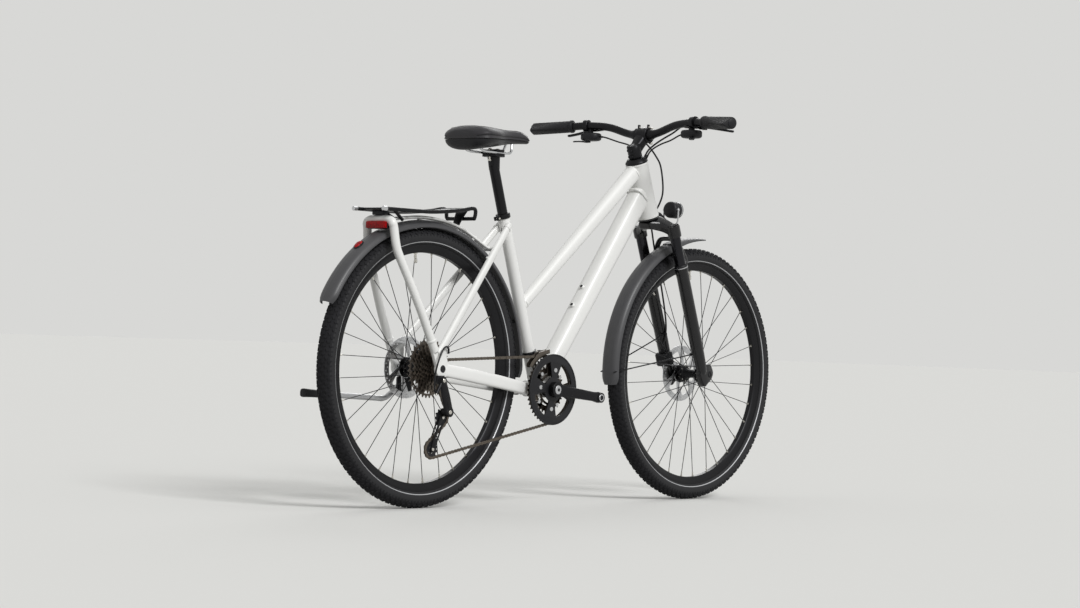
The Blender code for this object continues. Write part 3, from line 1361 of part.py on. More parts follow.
def make_cassette():
    """The cassette: stepped cogs with an open groove beside the one in use, on their freewheel body."""
    cap = HUB_RADIUS * 0.75
    body = cap + 0.006
    half = 0.0012
    near = 0.0006
    profile = []
    for i, teeth in enumerate(COG_TEETH):
        side = -(CASSETTE_SIDE - 0.001 - COG_SPACING * i)
        in_use = i == COG_IN_USE
        radius = disc_radius(teeth) if in_use else pitch_radius(teeth) + 0.0035
        before = -near if i == COG_IN_USE + 1 else -half if i == COG_IN_USE else -COG_SPACING / 2
        after = half if i in (COG_IN_USE, len(COG_TEETH) - 1) else COG_SPACING / 2
        if i == COG_IN_USE + 1:
            groove = disc_radius(COG_TEETH[COG_IN_USE]) - 0.004
            profile.append((groove, profile[-1][1]))
            profile.append((groove, side + before))
        profile.append((radius, side + before))
        profile.append((radius, side + after))
    carrier = cap + 0.0125
    inner = -(REAR_HUB_RIGHT + GAP)
    outer = -(REAR_HUB_WIDTH / 2 - GAP)
    profile.append((carrier, profile[-1][1]))
    profile.append((carrier, profile[-1][1] + 0.003))
    profile += [(body, profile[-1][1]), (body, inner), (0.0, inner)]
    profile = [(0.0, outer), (cap, outer), (cap, profile[0][1])] + profile
    cassette = turned("cassette", list(reversed(profile)), REAR_AXLE, LEFT, 15, AHEAD)
    return finish(set_pivot(cassette, REAR_AXLE), "dark_steel")


def crank_arm(name, direction, side, hub_radius):
    """A crank arm from the spindle to the pedal eye, stepping outward, in a unit direction."""
    end = BRACKET + direction * CRANK_LENGTH
    half = CRANK_THICKNESS / 2
    depth = direction.cross(LEFT).normalized()
    rings = []
    for t, half_depth, out in ((-0.06, 0.015, 0.0), (0.06, 0.018, 0.0), (0.25, 0.015, 0.003),
                               (0.85, 0.0125, 0.011), (0.96, 0.0155, 0.012), (1.06, 0.0135, 0.012)):
        centre = BRACKET.lerp(end, t) + LEFT * side * (CRANK_SIDE + half + out)
        rings.append(oval(centre, LEFT, depth, half, half_depth, 10, 3.5))
    arm = loft(name, rings)
    hub = cylinder("hub", BRACKET + LEFT * side * (CRANK_SIDE - 0.001),
                   BRACKET + LEFT * side * (CRANK_SIDE + CRANK_THICKNESS + 0.002), hub_radius, 12)
    eye_in = end + LEFT * side * (CRANK_SIDE + 0.011)
    eye_out = end + LEFT * side * (CRANK_SIDE + 0.012 + CRANK_THICKNESS + 0.0015)
    eye = cylinder("eye", eye_in, eye_out, 0.0135, 12)
    return fused(arm, hub, eye)


def make_crankset():
    """Both cranks with the spindle, spider and guard, and the two chainrings."""
    angle = math.radians(-CRANK_ANGLE)
    direction = Vector((math.cos(angle), 0.0, math.sin(angle)))
    shell_end = BRACKET_WIDTH / 2
    arm = crank_arm("crank_right", direction, -1, 0.021)
    spindle = cylinder("spindle", BRACKET + LEFT * (CRANK_SIDE + 0.008),
                       BRACKET - LEFT * (CRANK_SIDE + 0.002), SPINDLE_RADIUS, 16)
    collar = cylinder("collar", BRACKET - LEFT * (shell_end + GAP), BRACKET - LEFT * (CRANK_SIDE + 0.001),
                      SPINDLE_RADIUS + 0.004, 16)
    guard_side = -(CHAINRING_SIDE + 0.0118)
    spokes = 4
    wide = math.radians(27)
    holes = [window(0.034, GUARD_RADIUS - 0.020, 2 * math.pi * (i + 0.5) / spokes - angle, wide, 3)
             for i in range(spokes)]
    guard = plate("guard", [circle(GUARD_RADIUS, 28)] + holes, 0.0030, BRACKET + LEFT * guard_side, LEFT,
                  direction)
    parts = [spindle, collar, guard]
    for i in range(spokes):
        turn = Matrix.Rotation(2 * math.pi * i / spokes, 3, "Y") @ direction
        foot = BRACKET + turn * 0.052
        parts.append(cylinder("bolt", foot - LEFT * (CHAINRING_SIDE + 0.0018), foot + LEFT * guard_side,
                              0.007, 6))
    right = fused(arm, *parts)
    right.name = "crank_right"
    finish(set_pivot(right, BRACKET), "black_metal")

    left = crank_arm("crank_left", -direction, 1, 0.019)
    left = cut(left, cylinder("bore", BRACKET + LEFT * (CRANK_SIDE - 0.01),
                              BRACKET + LEFT * (CRANK_SIDE + 0.0085), SPINDLE_RADIUS + GAP, 16))
    left.name = "crank_left"
    finish(set_pivot(left, BRACKET), "black_metal")

    big = plate("chainrings", [circle(disc_radius(CHAINRING_TEETH), 30), circle(0.040, 12)], 0.0030,
                BRACKET - LEFT * CHAINRING_SIDE, LEFT, direction)
    small = plate("small", [circle(pitch_radius(INNER_TEETH) + 0.0035, 24), circle(0.044, 12)], 0.0020,
                  BRACKET - LEFT * (CHAINRING_SIDE - 0.0072), LEFT, direction)
    posts = []
    for i in range(spokes):
        turn = Matrix.Rotation(2 * math.pi * (i + 0.5) / spokes, 3, "Y") @ direction
        foot = BRACKET + turn * 0.052
        posts.append(cylinder("post", foot - LEFT * (CHAINRING_SIDE - 0.0085), foot - LEFT * CHAINRING_SIDE,
                              0.005, 6))
    rings = fused(big, small, *posts)
    rings.name = "chainrings"
    finish(set_pivot(rings, BRACKET), "dark_steel")


def make_front_derailleur():
    """The front derailleur's clamp body on the seat tube and its moving cage round the chain."""
    up = 0.0985
    body_top = 0.100
    ring = cylinder("front_derailleur", seat(up - 0.007), seat(up + 0.007), SEAT_TUBE_RADIUS + 0.0045, 20,
                    hint=LEFT)
    body_middle = seat(up - 0.001, 0.008, -0.0250)
    body_middle.z = BRACKET.z + body_top - 0.009
    body = box("body", body_middle, (0.030, 0.012, 0.018))
    mount = fused(ring, body)
    mount.name = "front_derailleur"
    bore = cylinder("bore", seat(up - 0.02), seat(up + 0.02), SEAT_TUBE_RADIUS + GAP, 24, hint=LEFT)
    finish(cut(mount, bore), "black_metal")

    radius = pitch_radius(CHAINRING_TEETH) + 0.0075
    arc = [math.radians(a) for a in (97, 109, 121, 133, 144)]
    outline = [(radius * math.cos(a), radius * math.sin(a)) for a in arc]
    outline += [(-0.0905, 0.0600), (-0.0790, 0.0770), (-0.0570, 0.0955), (-0.0130, 0.1070)]
    plates = []
    for side in (-0.0068, 0.0062):
        place = BRACKET + LEFT * (side - CHAINRING_SIDE)
        plates.append(plate("cage", [outline], 0.0012, place, -LEFT, AHEAD))
    bridges = [box("bridge", BRACKET + Vector((-0.036, -CHAINRING_SIDE - 0.0003, 0.0997)),
                   (0.024, 0.0130, 0.0020), axis=Vector((-0.27, 0.0, 1.0))),
               box("bridge", BRACKET + Vector((-0.0860, -CHAINRING_SIDE - 0.0003, 0.0626)),
                   (0.004, 0.0130, 0.0020))]
    arm_low = body_top + GAP
    arm = box("arm", Vector((body_middle.x, -CHAINRING_SIDE + 0.0142, BRACKET.z + arm_low + 0.0020)),
              (0.014, 0.0180, 0.0040))
    cage = fused(plates[0], plates[1], *bridges, arm)
    cage.name = "front_derailleur_cage"
    return finish(cage, "steel")


def make_rear_derailleur():
    """The rear derailleur: mount, moving arm, pulley cage and its two pulleys."""
    outer = -(REAR_HUB_WIDTH / 2 + DROPOUT_THICKNESS)
    knuckle = Vector((HANGER.x, outer - GAP, HANGER.z))
    pivot = Vector((CAGE_PIVOT.x, 0.0, CAGE_PIVOT.z))
    toward = Vector((pivot.x - HANGER.x, 0.0, pivot.z - HANGER.z))
    along = toward.normalized()
    reach = toward.length
    split = 0.5
    side = outer - 0.0065
    upper = Vector((HANGER.x, side, HANGER.z))
    mount = cylinder("rear_derailleur_mount", knuckle, knuckle - LEFT * 0.012, 0.0100, 14)
    halfway = upper + along * (reach * split)
    link = beam("link", [(upper, 0.0055, 0.0105), (halfway, 0.0055, 0.0135)], 10, 3.0)
    stop = cylinder("stop", Vector((HANGER.x - 0.003, side, HANGER.z - 0.004)),
                    Vector((HANGER.x - 0.0210, side, HANGER.z - 0.034)), 0.0045, 8)
    mount = fused(mount, link, stop)
    mount.name = "rear_derailleur_mount"
    finish(mount, "black_metal")

    plate_out = -(COG_SIDE + 0.0068)
    start = halfway + along * GAP
    lower = Vector((pivot.x, side, pivot.z))
    arm = beam("arm", [(start, 0.0055, 0.0135), (lower, 0.0055, 0.0130)], 10, 3.0)
    boss = cylinder("boss", Vector((pivot.x, plate_out - GAP, pivot.z)),
                    Vector((pivot.x, side - 0.0055, pivot.z)), 0.0125, 14)
    arm = fused(arm, boss)
    arm.name = "rear_derailleur_arm"
    finish(arm, "black_metal")

    centres = (GUIDE, TENSION)
    lean = math.atan2(TENSION.z - GUIDE.z, TENSION.x - GUIDE.x)
    half = 0.0085
    outline = []
    for centre, start_angle in ((GUIDE, lean + math.pi / 2), (TENSION, lean - math.pi / 2)):
        for k in range(7):
            a = start_angle + math.pi * k / 6
            outline.append((centre.x - GUIDE.x + half * math.cos(a),
                            centre.z - GUIDE.z + half * math.sin(a)))
    outer_outline = []
    for k in range(9):
        a = lean + math.pi / 2 + math.pi * k / 8
        outer_outline.append((CAGE_PIVOT.x - GUIDE.x + 0.0115 * math.cos(a),
                              CAGE_PIVOT.z - GUIDE.z + 0.0115 * math.sin(a)))
    outer_outline += outline[7:]
    cage_parts = []
    for offset, lines in ((-0.0060, outer_outline), (0.0060, outline)):
        place = GUIDE + LEFT * (offset - COG_SIDE)
        cage_parts.append(plate("cage_plate", [lines], 0.0016, place, -LEFT, AHEAD))
    bolts = [cylinder("axle", centre + LEFT * (-0.0064 - COG_SIDE), centre + LEFT * (0.0064 - COG_SIDE),
                      0.0030, 12) for centre in centres]
    cage = fused(cage_parts[0], cage_parts[1], *bolts)
    cage.name = "rear_derailleur_cage"
    finish(set_pivot(cage, CAGE_PIVOT), "steel")
    for name, centre in (("guide_pulley", GUIDE), ("tension_pulley", TENSION)):
        outlines = [circle(disc_radius(PULLEY_TEETH), 18), circle(0.0030 + RUNNING, 8)]
        pulley = plate(name, outlines, 0.0040, centre - LEFT * COG_SIDE, LEFT)
        finish(set_pivot(pulley, centre - LEFT * COG_SIDE), "black_paint")


# Kickstand

KICK_PIVOT = from_rear(0.006, 0.0905, -0.0580)
KICK_KNEE = from_rear(-0.0290, 0.0935, -0.0820)
KICK_FOOT = from_rear(-0.3000, 0.1000, -0.0700)
KICK_WAY = (KICK_FOOT - KICK_PIVOT).normalized()
KICK_SIDE = Vector((-0.051, -0.951, -0.305))
KICK_AXIS = (KICK_SIDE - KICK_WAY * KICK_WAY.dot(KICK_SIDE)).normalized()


def make_kickstand():
    """The kickstand: a bracket under the left chainstay and a leg that is folded back."""
    boss_half = 0.0060
    base = from_rear(0.020, DROPOUT_SIDE - 0.0035, -0.0400)
    bracket = box("kickstand_bracket", base, (0.056, 0.010, 0.048))
    pad = cylinder("pad", KICK_PIVOT + KICK_AXIS * 0.022, KICK_PIVOT + KICK_AXIS * (boss_half + GAP),
                   0.0125, 12)
    bracket = fused(bracket, pad)
    half_width = CHAINSTAY_WIDTH / 2 + GAP
    half_depth = CHAINSTAY_DEPTH / 2 + GAP
    stay = beam("stay_room", [
        (from_rear(0.014, DROPOUT_SIDE - 0.0005, -0.0030), half_width * 0.75 + GAP, half_depth),
        (from_rear(0.100, 0.0690, -0.0132), half_width, half_depth)], 12, 4.5)
    disc = cylinder("disc_room", REAR_AXLE + LEFT * (DROPOUT_SIDE - 0.010),
                    REAR_AXLE + LEFT * (DROPOUT_SIDE + 0.010), DROPOUT_RADIUS + GAP * 2, 24)
    bracket = cut(bracket, stay, disc)
    finish(bracket, "black_paint")

    boss = cylinder("kickstand_leg", KICK_PIVOT + KICK_AXIS * boss_half, KICK_PIVOT - KICK_AXIS * boss_half,
                    0.0115, 14)
    near = KICK_KNEE.lerp(KICK_FOOT, 0.10)
    route = [KICK_PIVOT, KICK_PIVOT.lerp(KICK_KNEE, 0.75), KICK_KNEE.lerp(near, 0.4), near, KICK_FOOT]
    leg = pipe("leg", route, KICKSTAND_RADIUS, 2)
    way = (KICK_FOOT - KICK_KNEE).normalized()
    foot = beam("foot", [(KICK_FOOT - way * 0.035, 0.0095, 0.0095),
                         (KICK_FOOT + way * 0.012, 0.012, 0.0105)], 10, 3.0)
    room = cylinder("room", KICK_PIVOT + KICK_AXIS * boss_half, KICK_PIVOT + KICK_AXIS * 0.020, 0.0150, 12)
    leg = cut(fused(boss, leg, foot), room)
    leg.name = "kickstand_leg"
    return finish(set_pivot(leg, KICK_PIVOT), "black_paint")


# Hoses and housings

def hose(name, knots, count, radius, *ends):
    """A hose or housing along a smooth route, trimmed where it meets the pieces that hold it."""
    route = smooth_route(knots, count)
    return finish(clear(pipe(name, route, radius, 1), *ends), "black_paint")


def make_cockpit_hoses():
    """The lines from both hands: three into the headset cover and one down to the front caliper."""
    cover = bpy.data.objects["headset_cover"]
    for side, suffix in ((-1, "right"), (1, "left")):
        mount = bpy.data.objects["lever_mount_" + suffix]
        clamp = bar_point(side * lever_clamp_reach())
        knots = [clamp + Vector((0.0080, -side * 0.0405, -0.0310)),
                 clamp + Vector((0.0130, -side * 0.0600, -0.0335)),
                 over_head(0.0292, side * 0.0950, 0.0634), over_head(0.0332, side * 0.0600, 0.0544),
                 over_head(0.0312, side * 0.0360, 0.0434), over_head(0.0262, side * 0.0240, 0.0314),
                 steer(-0.0040, 0.0225, side * 0.0165)]
        hose("shift_housing_" + suffix, knots, 12, HOUSING_RADIUS, mount, cover)

    clamp = bar_point(-lever_clamp_reach())
    knots = [clamp + Vector((0.0245, 0.0500, -0.0050)), clamp + Vector((0.0290, 0.0680, -0.0090)),
             over_head(0.0432, -0.0900, 0.0844), over_head(0.0442, -0.0580, 0.0704),
             over_head(0.0392, -0.0320, 0.0544), over_head(0.0302, -0.0150, 0.0364),
             steer(-0.0050, 0.0250, -0.0080)]
    hose("rear_brake_hose", knots, 16, HOSE_RADIUS, bpy.data.objects["lever_mount_right"], cover)

    clamp = bar_point(lever_clamp_reach())
    knots = [clamp + Vector((0.0245, -0.0500, -0.0040)), clamp + Vector((0.0300, -0.0700, -0.0020)),
             over_head(0.0502, 0.0750, 0.0924), over_head(0.0632, 0.0400, 0.0734),
             over_head(0.0732, 0.0140, 0.0484), over_head(0.0877, 0.0020, 0.0244),
             over_head(0.1042, -0.0010, 0.0014), over_head(0.1157, -0.0010, -0.0346),
             over_head(0.1212, 0.0000, -0.0676), over_head(0.1208, 0.0030, -0.0896),
             over_head(0.1182, 0.0110, -0.1116), over_head(0.1122, 0.0210, -0.1336),
             steer(0.185, 0.0500, 0.0330), steer(0.225, 0.0480, 0.0360),
             steer(0.270, 0.0460, 0.0375), steer(0.315, 0.0475, 0.0395), steer(0.400, 0.0450, 0.0405),
             steer(0.480, 0.0360, 0.0405), steer(0.520, 0.0220, 0.0408), steer(0.543, 0.0080, 0.0440),
             steer(0.566, 0.0035, 0.0500)]
    hose("front_brake_hose", knots, 30, HOSE_RADIUS, bpy.data.objects["lever_mount_left"],
         bpy.data.objects["front_caliper"])


def make_rear_housing(mount, frame):
    """The rear shift housing's loop from the dropout to the derailleur's cable stop."""
    outer = -(REAR_HUB_WIDTH / 2 + DROPOUT_THICKNESS)
    route = smooth_route([
        from_rear(0.016, outer - 0.003, 0.040), from_rear(0.008, outer - 0.008, 0.056),
        from_rear(-0.012, outer - 0.012, 0.052), from_rear(-0.030, outer - 0.013, 0.022),
        from_rear(-0.040, outer - 0.012, -0.014), from_rear(-0.038, outer - 0.009, -0.048),
        from_rear(-0.0285, outer - 0.0065, -0.0620)], 14)
    housing = pipe("rear_shift_housing", route, HOUSING_RADIUS, 1)
    housing = clear(housing, mount, frame["right"], frame["hoop"], frame["stays"])
    return finish(housing, "black_paint")


def main():
    """Builds every piece."""
    clear_scene()
    make_wheels()
    frame = make_frame()
    make_rear_mudguard(frame)
    make_deck(frame)
    make_rear_light(frame, bpy.data.objects["rear_mudguard"])
    make_fork_crown()
    lowers = make_fork_lowers()
    make_front_mudguard(lowers)
    make_calipers(lowers, frame)
    make_headlight()
    bar = make_handlebar()
    make_stem()
    for side, suffix in ((-1, "right"), (1, "left")):
        make_controls(side, suffix, bar)
        grip = make_grip("grip_" + suffix, side)
        fitted = clear(grip, bar)
        finish(fitted, "soft_rubber")
    make_seat(frame)
    make_chain()
    make_cassette()
    make_crankset()
    make_front_derailleur()
    make_rear_derailleur()
    make_kickstand()
    make_rear_housing(bpy.data.objects["rear_derailleur_mount"], frame)
    make_cockpit_hoses()
    left_over = bpy.data.collections.get("construction")
    bpy.data.collections.remove(left_over)


main()
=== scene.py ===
"""Trekking bicycle: the visible surfaces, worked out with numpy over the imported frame.

World frame: +X ahead, +Y to the bicycle's left, +Z up, in metres. The origin lies on the ground midway
between the axles.
"""

import math

import bmesh
import bpy
import mathutils
import numpy as np
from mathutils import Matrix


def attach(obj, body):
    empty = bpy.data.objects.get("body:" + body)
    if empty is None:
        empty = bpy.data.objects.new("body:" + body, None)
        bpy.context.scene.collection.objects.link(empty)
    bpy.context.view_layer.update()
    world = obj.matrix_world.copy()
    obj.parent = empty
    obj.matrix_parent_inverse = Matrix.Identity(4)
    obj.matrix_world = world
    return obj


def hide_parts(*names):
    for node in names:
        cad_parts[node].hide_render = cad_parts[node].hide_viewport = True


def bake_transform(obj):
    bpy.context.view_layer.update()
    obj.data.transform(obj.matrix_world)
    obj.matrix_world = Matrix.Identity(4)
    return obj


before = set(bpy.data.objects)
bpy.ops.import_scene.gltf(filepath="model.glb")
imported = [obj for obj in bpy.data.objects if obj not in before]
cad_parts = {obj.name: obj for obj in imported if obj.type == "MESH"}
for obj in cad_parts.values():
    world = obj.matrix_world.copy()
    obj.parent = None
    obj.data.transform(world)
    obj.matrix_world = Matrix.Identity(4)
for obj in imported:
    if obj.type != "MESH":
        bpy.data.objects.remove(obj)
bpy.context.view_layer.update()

bl_info = {
    "name": "Trekking Bicycle",
    "version": (1, 0, 0),
    "blender": (4, 5, 0),
    "location": "3D View > Sidebar > Bicycle",
    "description": "Builds a trekking bicycle with its wheels, frame, fork, carrier, saddle and drive",
    "category": "Add Mesh",
}

# Directions
AHEAD = np.array([1.0, 0.0, 0.0])
LEFT = np.array([0.0, 1.0, 0.0])
UP = np.array([0.0, 0.0, 1.0])

# Wheels
AXLE_HEIGHT = 0.3575
REAR_AXLE = np.array([-0.5625, 0.0, AXLE_HEIGHT])
FRONT_AXLE = np.array([0.5625, 0.0, AXLE_HEIGHT])
TYRE_HALF = 0.0235
RIM_RADIUS = 0.3172
RIM_DEPTH = 0.0225
RIM_HALF = 0.013
SPOKES = 32
FLANGE_RADIUS = 0.024
ROTOR_RADIUS = 0.08

# Frame
HEAD_TOP = np.array([0.28579, 0.0, 0.94163])
STEER_DOWN = np.array([0.358368, 0.0, -0.93358])
STEER_AHEAD = np.array([0.93358, 0.0, 0.358368])
BRACKET = np.array([-0.1105, 0.0, 0.3085])
SEAT_UP = np.array([-0.320613, 0.0, 0.94721])
SEAT_AHEAD = np.array([0.94721, 0.0, 0.320613])
HEAD_LENGTH = 0.158
HEAD_RADIUS = 0.031
HEAD_TO_AXLE = 0.6445
SEAT_LENGTH = 0.4737
DROPOUT_SIDE = 0.076

# Fork
SPREAD = 0.061
FORK_AHEAD = 0.027
SEAL_DOWN = 0.313

# Carrier and mudguards
HOOP_REACH = 0.164
HOOP_RISE = 0.3705
GUARD_RADIUS = 0.378

# Cockpit
BAR_HALF = 0.352
BAR_RADIUS = 0.011
GRIP_LENGTH = 0.122
CLAMP_IN = 0.038      # from the grip's inner end to the middle of the lever's clamp

# Saddle
SADDLE_BACK = 0.129   # from the post's head to the back end
SADDLE_LENGTH = 0.256

# Drive
COG_TEETH = (11, 13, 15, 17, 20, 23, 26, 30, 36)
COG_SPACING = 0.00435
COG_SIDE = 0.0655
RING_SIDE = 0.0505
GUIDE = REAR_AXLE + np.array([0.017, 0.0, -0.1235])
TENSION = GUIDE + np.array([-0.034, 0.0, -0.0805])
CAGE_PIVOT = GUIDE + np.array([0.004, 0.0, 0.0145])
HANGER = REAR_AXLE + np.array([-0.0065, 0.0, -0.029])
CRANK_LENGTH = 0.1675
CRANK_WAY = np.array([math.cos(math.radians(-6.7)), 0.0, math.sin(math.radians(-6.7))])


def linear(code):
    """A linear colour from an sRGB hex code."""
    parts = [int(code[i:i + 2], 16) / 255.0 for i in (0, 2, 4)]
    return tuple(p / 12.92 if p <= 0.04045 else ((p + 0.055) / 1.055) ** 2.4 for p in parts)


# Places

def steer(down, ahead=0.0, side=0.0):
    """HEAD_TOP + down along the steering axis + ahead of it + side to the left."""
    return HEAD_TOP + STEER_DOWN * down + STEER_AHEAD * ahead + LEFT * side


def seat(up, ahead=0.0, side=0.0):
    """BRACKET + up along the seat tube + ahead of it + side to the left."""
    return BRACKET + SEAT_UP * up + SEAT_AHEAD * ahead + LEFT * side


def from_rear(ahead, side, up):
    """REAR_AXLE + (ahead, side, up)."""
    return REAR_AXLE + np.array([ahead, side, up])


def over_head(x, y, z):
    """HEAD_TOP + (x, y, z)."""
    return HEAD_TOP + np.array([x, y, z])


def unit(v):
    """v divided by its length."""
    v = np.asarray(v, float)
    return v / np.linalg.norm(v, axis=-1, keepdims=True)


# Surfaces: each is (points, faces, looks), looks holding one material number per face

def smooth_path(knots, count):
    """Catmull-Rom: between knots b and c, (2b + (c-a)u + (2a-5b+4c-d)u^2 + (3b-a-3c+d)u^3) / 2."""
    k = np.asarray(knots, float)
    k = np.vstack([2 * k[0] - k[1], k, 2 * k[-1] - k[-2]])
    t = np.linspace(0.0, len(knots) - 1, count)
    i = np.minimum(t.astype(int), len(knots) - 2)
    u = (t - i)[:, None]
    a, b, c, d = k[i], k[i + 1], k[i + 2], k[i + 3]
    return (2 * b + (c - a) * u + (2 * a - 5 * b + 4 * c - d) * u ** 2 + (3 * b - a - 3 * c + d)
            * u ** 3) / 2


def directions(path, closed=False):
    """The unit central difference at each point of a path."""
    if closed:
        return unit(np.roll(path, -1, 0) - np.roll(path, 1, 0))
    return unit(np.gradient(path, axis=0))


def across(path, hint, closed=False):
    """Two unit vectors square to a path: side = hint x along, lift = along x side."""
    along = directions(path, closed)
    side = np.cross(np.broadcast_to(hint, along.shape), along)
    side = unit(side)
    return side, np.cross(along, side)


def rolling(path):
    """Side and lift vectors carried along a path without twist, each turned out of the new direction."""
    along = directions(path)
    start = LEFT if abs(along[0][1]) < 0.8 else UP
    sides = []
    side = start
    for way in along:
        side = unit(side - way * np.dot(side, way))
        sides.append(side)
    sides = np.array(sides)
    return sides, np.cross(along, sides)


def volume(points, faces):
    """Six times the signed volume: the sum of a . (b x c) over each face's fan of triangles."""
    total = 0.0
    quads = np.array([f for f in faces if len(f) == 4])
    if len(quads):
        a, b, c, d = (points[quads[:, i]] for i in range(4))
        total += np.einsum("ij,ij->", a, np.cross(b, c)) + np.einsum("ij,ij->", a, np.cross(c, d))
    for f in (f for f in faces if len(f) != 4):
        p = points[list(f)]
        total += np.einsum("ij,ij->", np.broadcast_to(p[0], p[1:-1].shape), np.cross(p[1:-1], p[2:]))
    return total


def outward(points, faces):
    """The faces, each turned round if the closed shell's volume comes out negative."""
    middle = points.mean(0)
    if volume(points - middle, faces) < 0:
        return [f[::-1] for f in faces]
    return faces


def grid(points, ring=True, loop=False, look=0, caps=True):
    """Quads over an n by m grid of points, closed round m (ring) and n (loop), with its ends capped."""
    n, m = points.shape[:2]
    number = np.arange(n * m).reshape(n, m)
    rows = np.arange(n if loop else n - 1)
    cols = np.arange(m if ring else m - 1)
    r, c = np.meshgrid(rows, cols, indexing="ij")
    r2, c2 = (r + 1) % n, (c + 1) % m
    faces = np.stack([number[r, c], number[r2, c], number[r2, c2], number[r, c2]], -1)
    faces = faces.reshape(-1, 4).tolist()
    looks = np.broadcast_to(np.asarray(look), (len(rows), len(cols))).reshape(-1).tolist()
    if ring and not loop and caps:
        faces += [number[0].tolist(), number[-1][::-1].tolist()]
        looks += [looks[0], looks[-1]]
    flat = points.reshape(-1, 3)
    if ring:
        faces = outward(flat, faces)
    return flat, faces, looks


def oval(count, power):
    """Superellipse |x|^p + |y|^p = 1 as unit cosines and sines raised to 2/p."""
    a = np.linspace(0.0, 2 * np.pi, count, endpoint=False)
    c, s = np.cos(a), np.sin(a)
    return np.sign(c) * np.abs(c) ** (2 / power), np.sign(s) * np.abs(s) ** (2 / power)


def sweep(path, wide, high, sides=24, power=2.0, hint=UP, look=0, closed=False, frames=None, dome=0.0):
    """path(t) + side(t) wide(t) cos + lift(t) high(t) sin; dome adds round ends that long."""
    path = np.asarray(path, float)
    side, lift = frames if frames is not None else across(path, hint, closed)
    wide = np.broadcast_to(np.asarray(wide, float), len(path))
    high = np.broadcast_to(np.asarray(high, float), len(path))
    if dome:
        t = np.radians([80.0, 60.0, 32.0])
        along = directions(path)
        path = np.vstack([path[0] - along[0] * dome * np.sin(t)[:, None], path,
                          path[-1] + along[-1] * dome * np.sin(t[::-1])[:, None]])
        wide = np.concatenate([wide[0] * np.cos(t), wide, wide[-1] * np.cos(t[::-1])])
        high = np.concatenate([high[0] * np.cos(t), high, high[-1] * np.cos(t[::-1])])
        side = np.vstack([side[:1]] * 3 + [side] + [side[-1:]] * 3)
        lift = np.vstack([lift[:1]] * 3 + [lift] + [lift[-1:]] * 3)
    x, y = oval(sides, power)
    points = (path[:, None] + side[:, None] * (wide[:, None] * x)[..., None]
              + lift[:, None] * (high[:, None] * y)[..., None])
    return grid(points, loop=closed, look=look)


def rod(start, end, radius, sides=20, end_radius=None, look=0, chamfer=0.0):
    """A straight round bar; its radius falls by chamfer at both rims."""
    start, end = np.asarray(start, float), np.asarray(end, float)
    last = radius if end_radius is None else end_radius
    length = np.linalg.norm(end - start)
    if chamfer:
        t = np.array([0.0, chamfer / length, 1 - chamfer / length, 1.0])
        r = np.array([radius - chamfer, radius, last, last - chamfer])
    else:
        t, r = np.array([0.0, 1.0]), np.array([radius, last])
    way = (end - start) / length
    hint = LEFT if abs(way[1]) < 0.9 else UP
    side = unit(np.cross(hint, way))
    lift = np.cross(way, side)
    a = np.linspace(0, 2 * np.pi, sides, endpoint=False)
    circle = side * np.cos(a)[:, None] + lift * np.sin(a)[:, None]
    points = start + way * (t * length)[:, None, None] + circle[None] * r[:, None, None]
    return grid(points, look=look)


def turned(profile, centre, axis, steps=48, closed=False, look=0, hint=None, span=None):
    """centre + axis h + (e1 cos a + e2 sin a) r for each (r, h) of the profile and each angle a."""
    profile = np.asarray(profile, float)
    axis = unit(axis)
    if hint is None:
        hint = AHEAD if abs(axis[0]) < 0.9 else UP
    e1 = unit(hint - axis * np.dot(hint, axis))
    e2 = np.cross(axis, e1)
    if span is None:
        a = np.linspace(0, 2 * np.pi, steps, endpoint=False)
    else:
        a = np.linspace(span[0], span[1], steps)
    circle = e1 * np.cos(a)[:, None] + e2 * np.sin(a)[:, None]
    points = centre + axis * profile[:, 1][:, None, None] + circle[None] * profile[:, 0][:, None, None]
    if span is not None:
        return grid(points.transpose(1, 0, 2), ring=True, loop=False, look=look)
    return grid(points, loop=closed, look=look if np.ndim(look) == 0 else np.asarray(look)[:, None])


def arc_points(radius, count, start=0.0, end=2 * math.pi, ends=False):
    """(radius cos a, radius sin a)."""
    a = np.linspace(start, end, count, endpoint=ends)
    return np.stack([radius * np.cos(a), radius * np.sin(a)], -1)


def sector(inner, outer, middle, half, count=10, lean=0.0):
    """A ring sector between two radii, half wide each way; the inner side is turned by lean."""
    a = np.linspace(middle - half, middle + half, count)
    b = np.linspace(middle + half, middle - half, count) + lean
    return np.vstack([np.stack([outer * np.cos(a), outer * np.sin(a)], -1),
                      np.stack([inner * np.cos(b), inner * np.sin(b)], -1)])


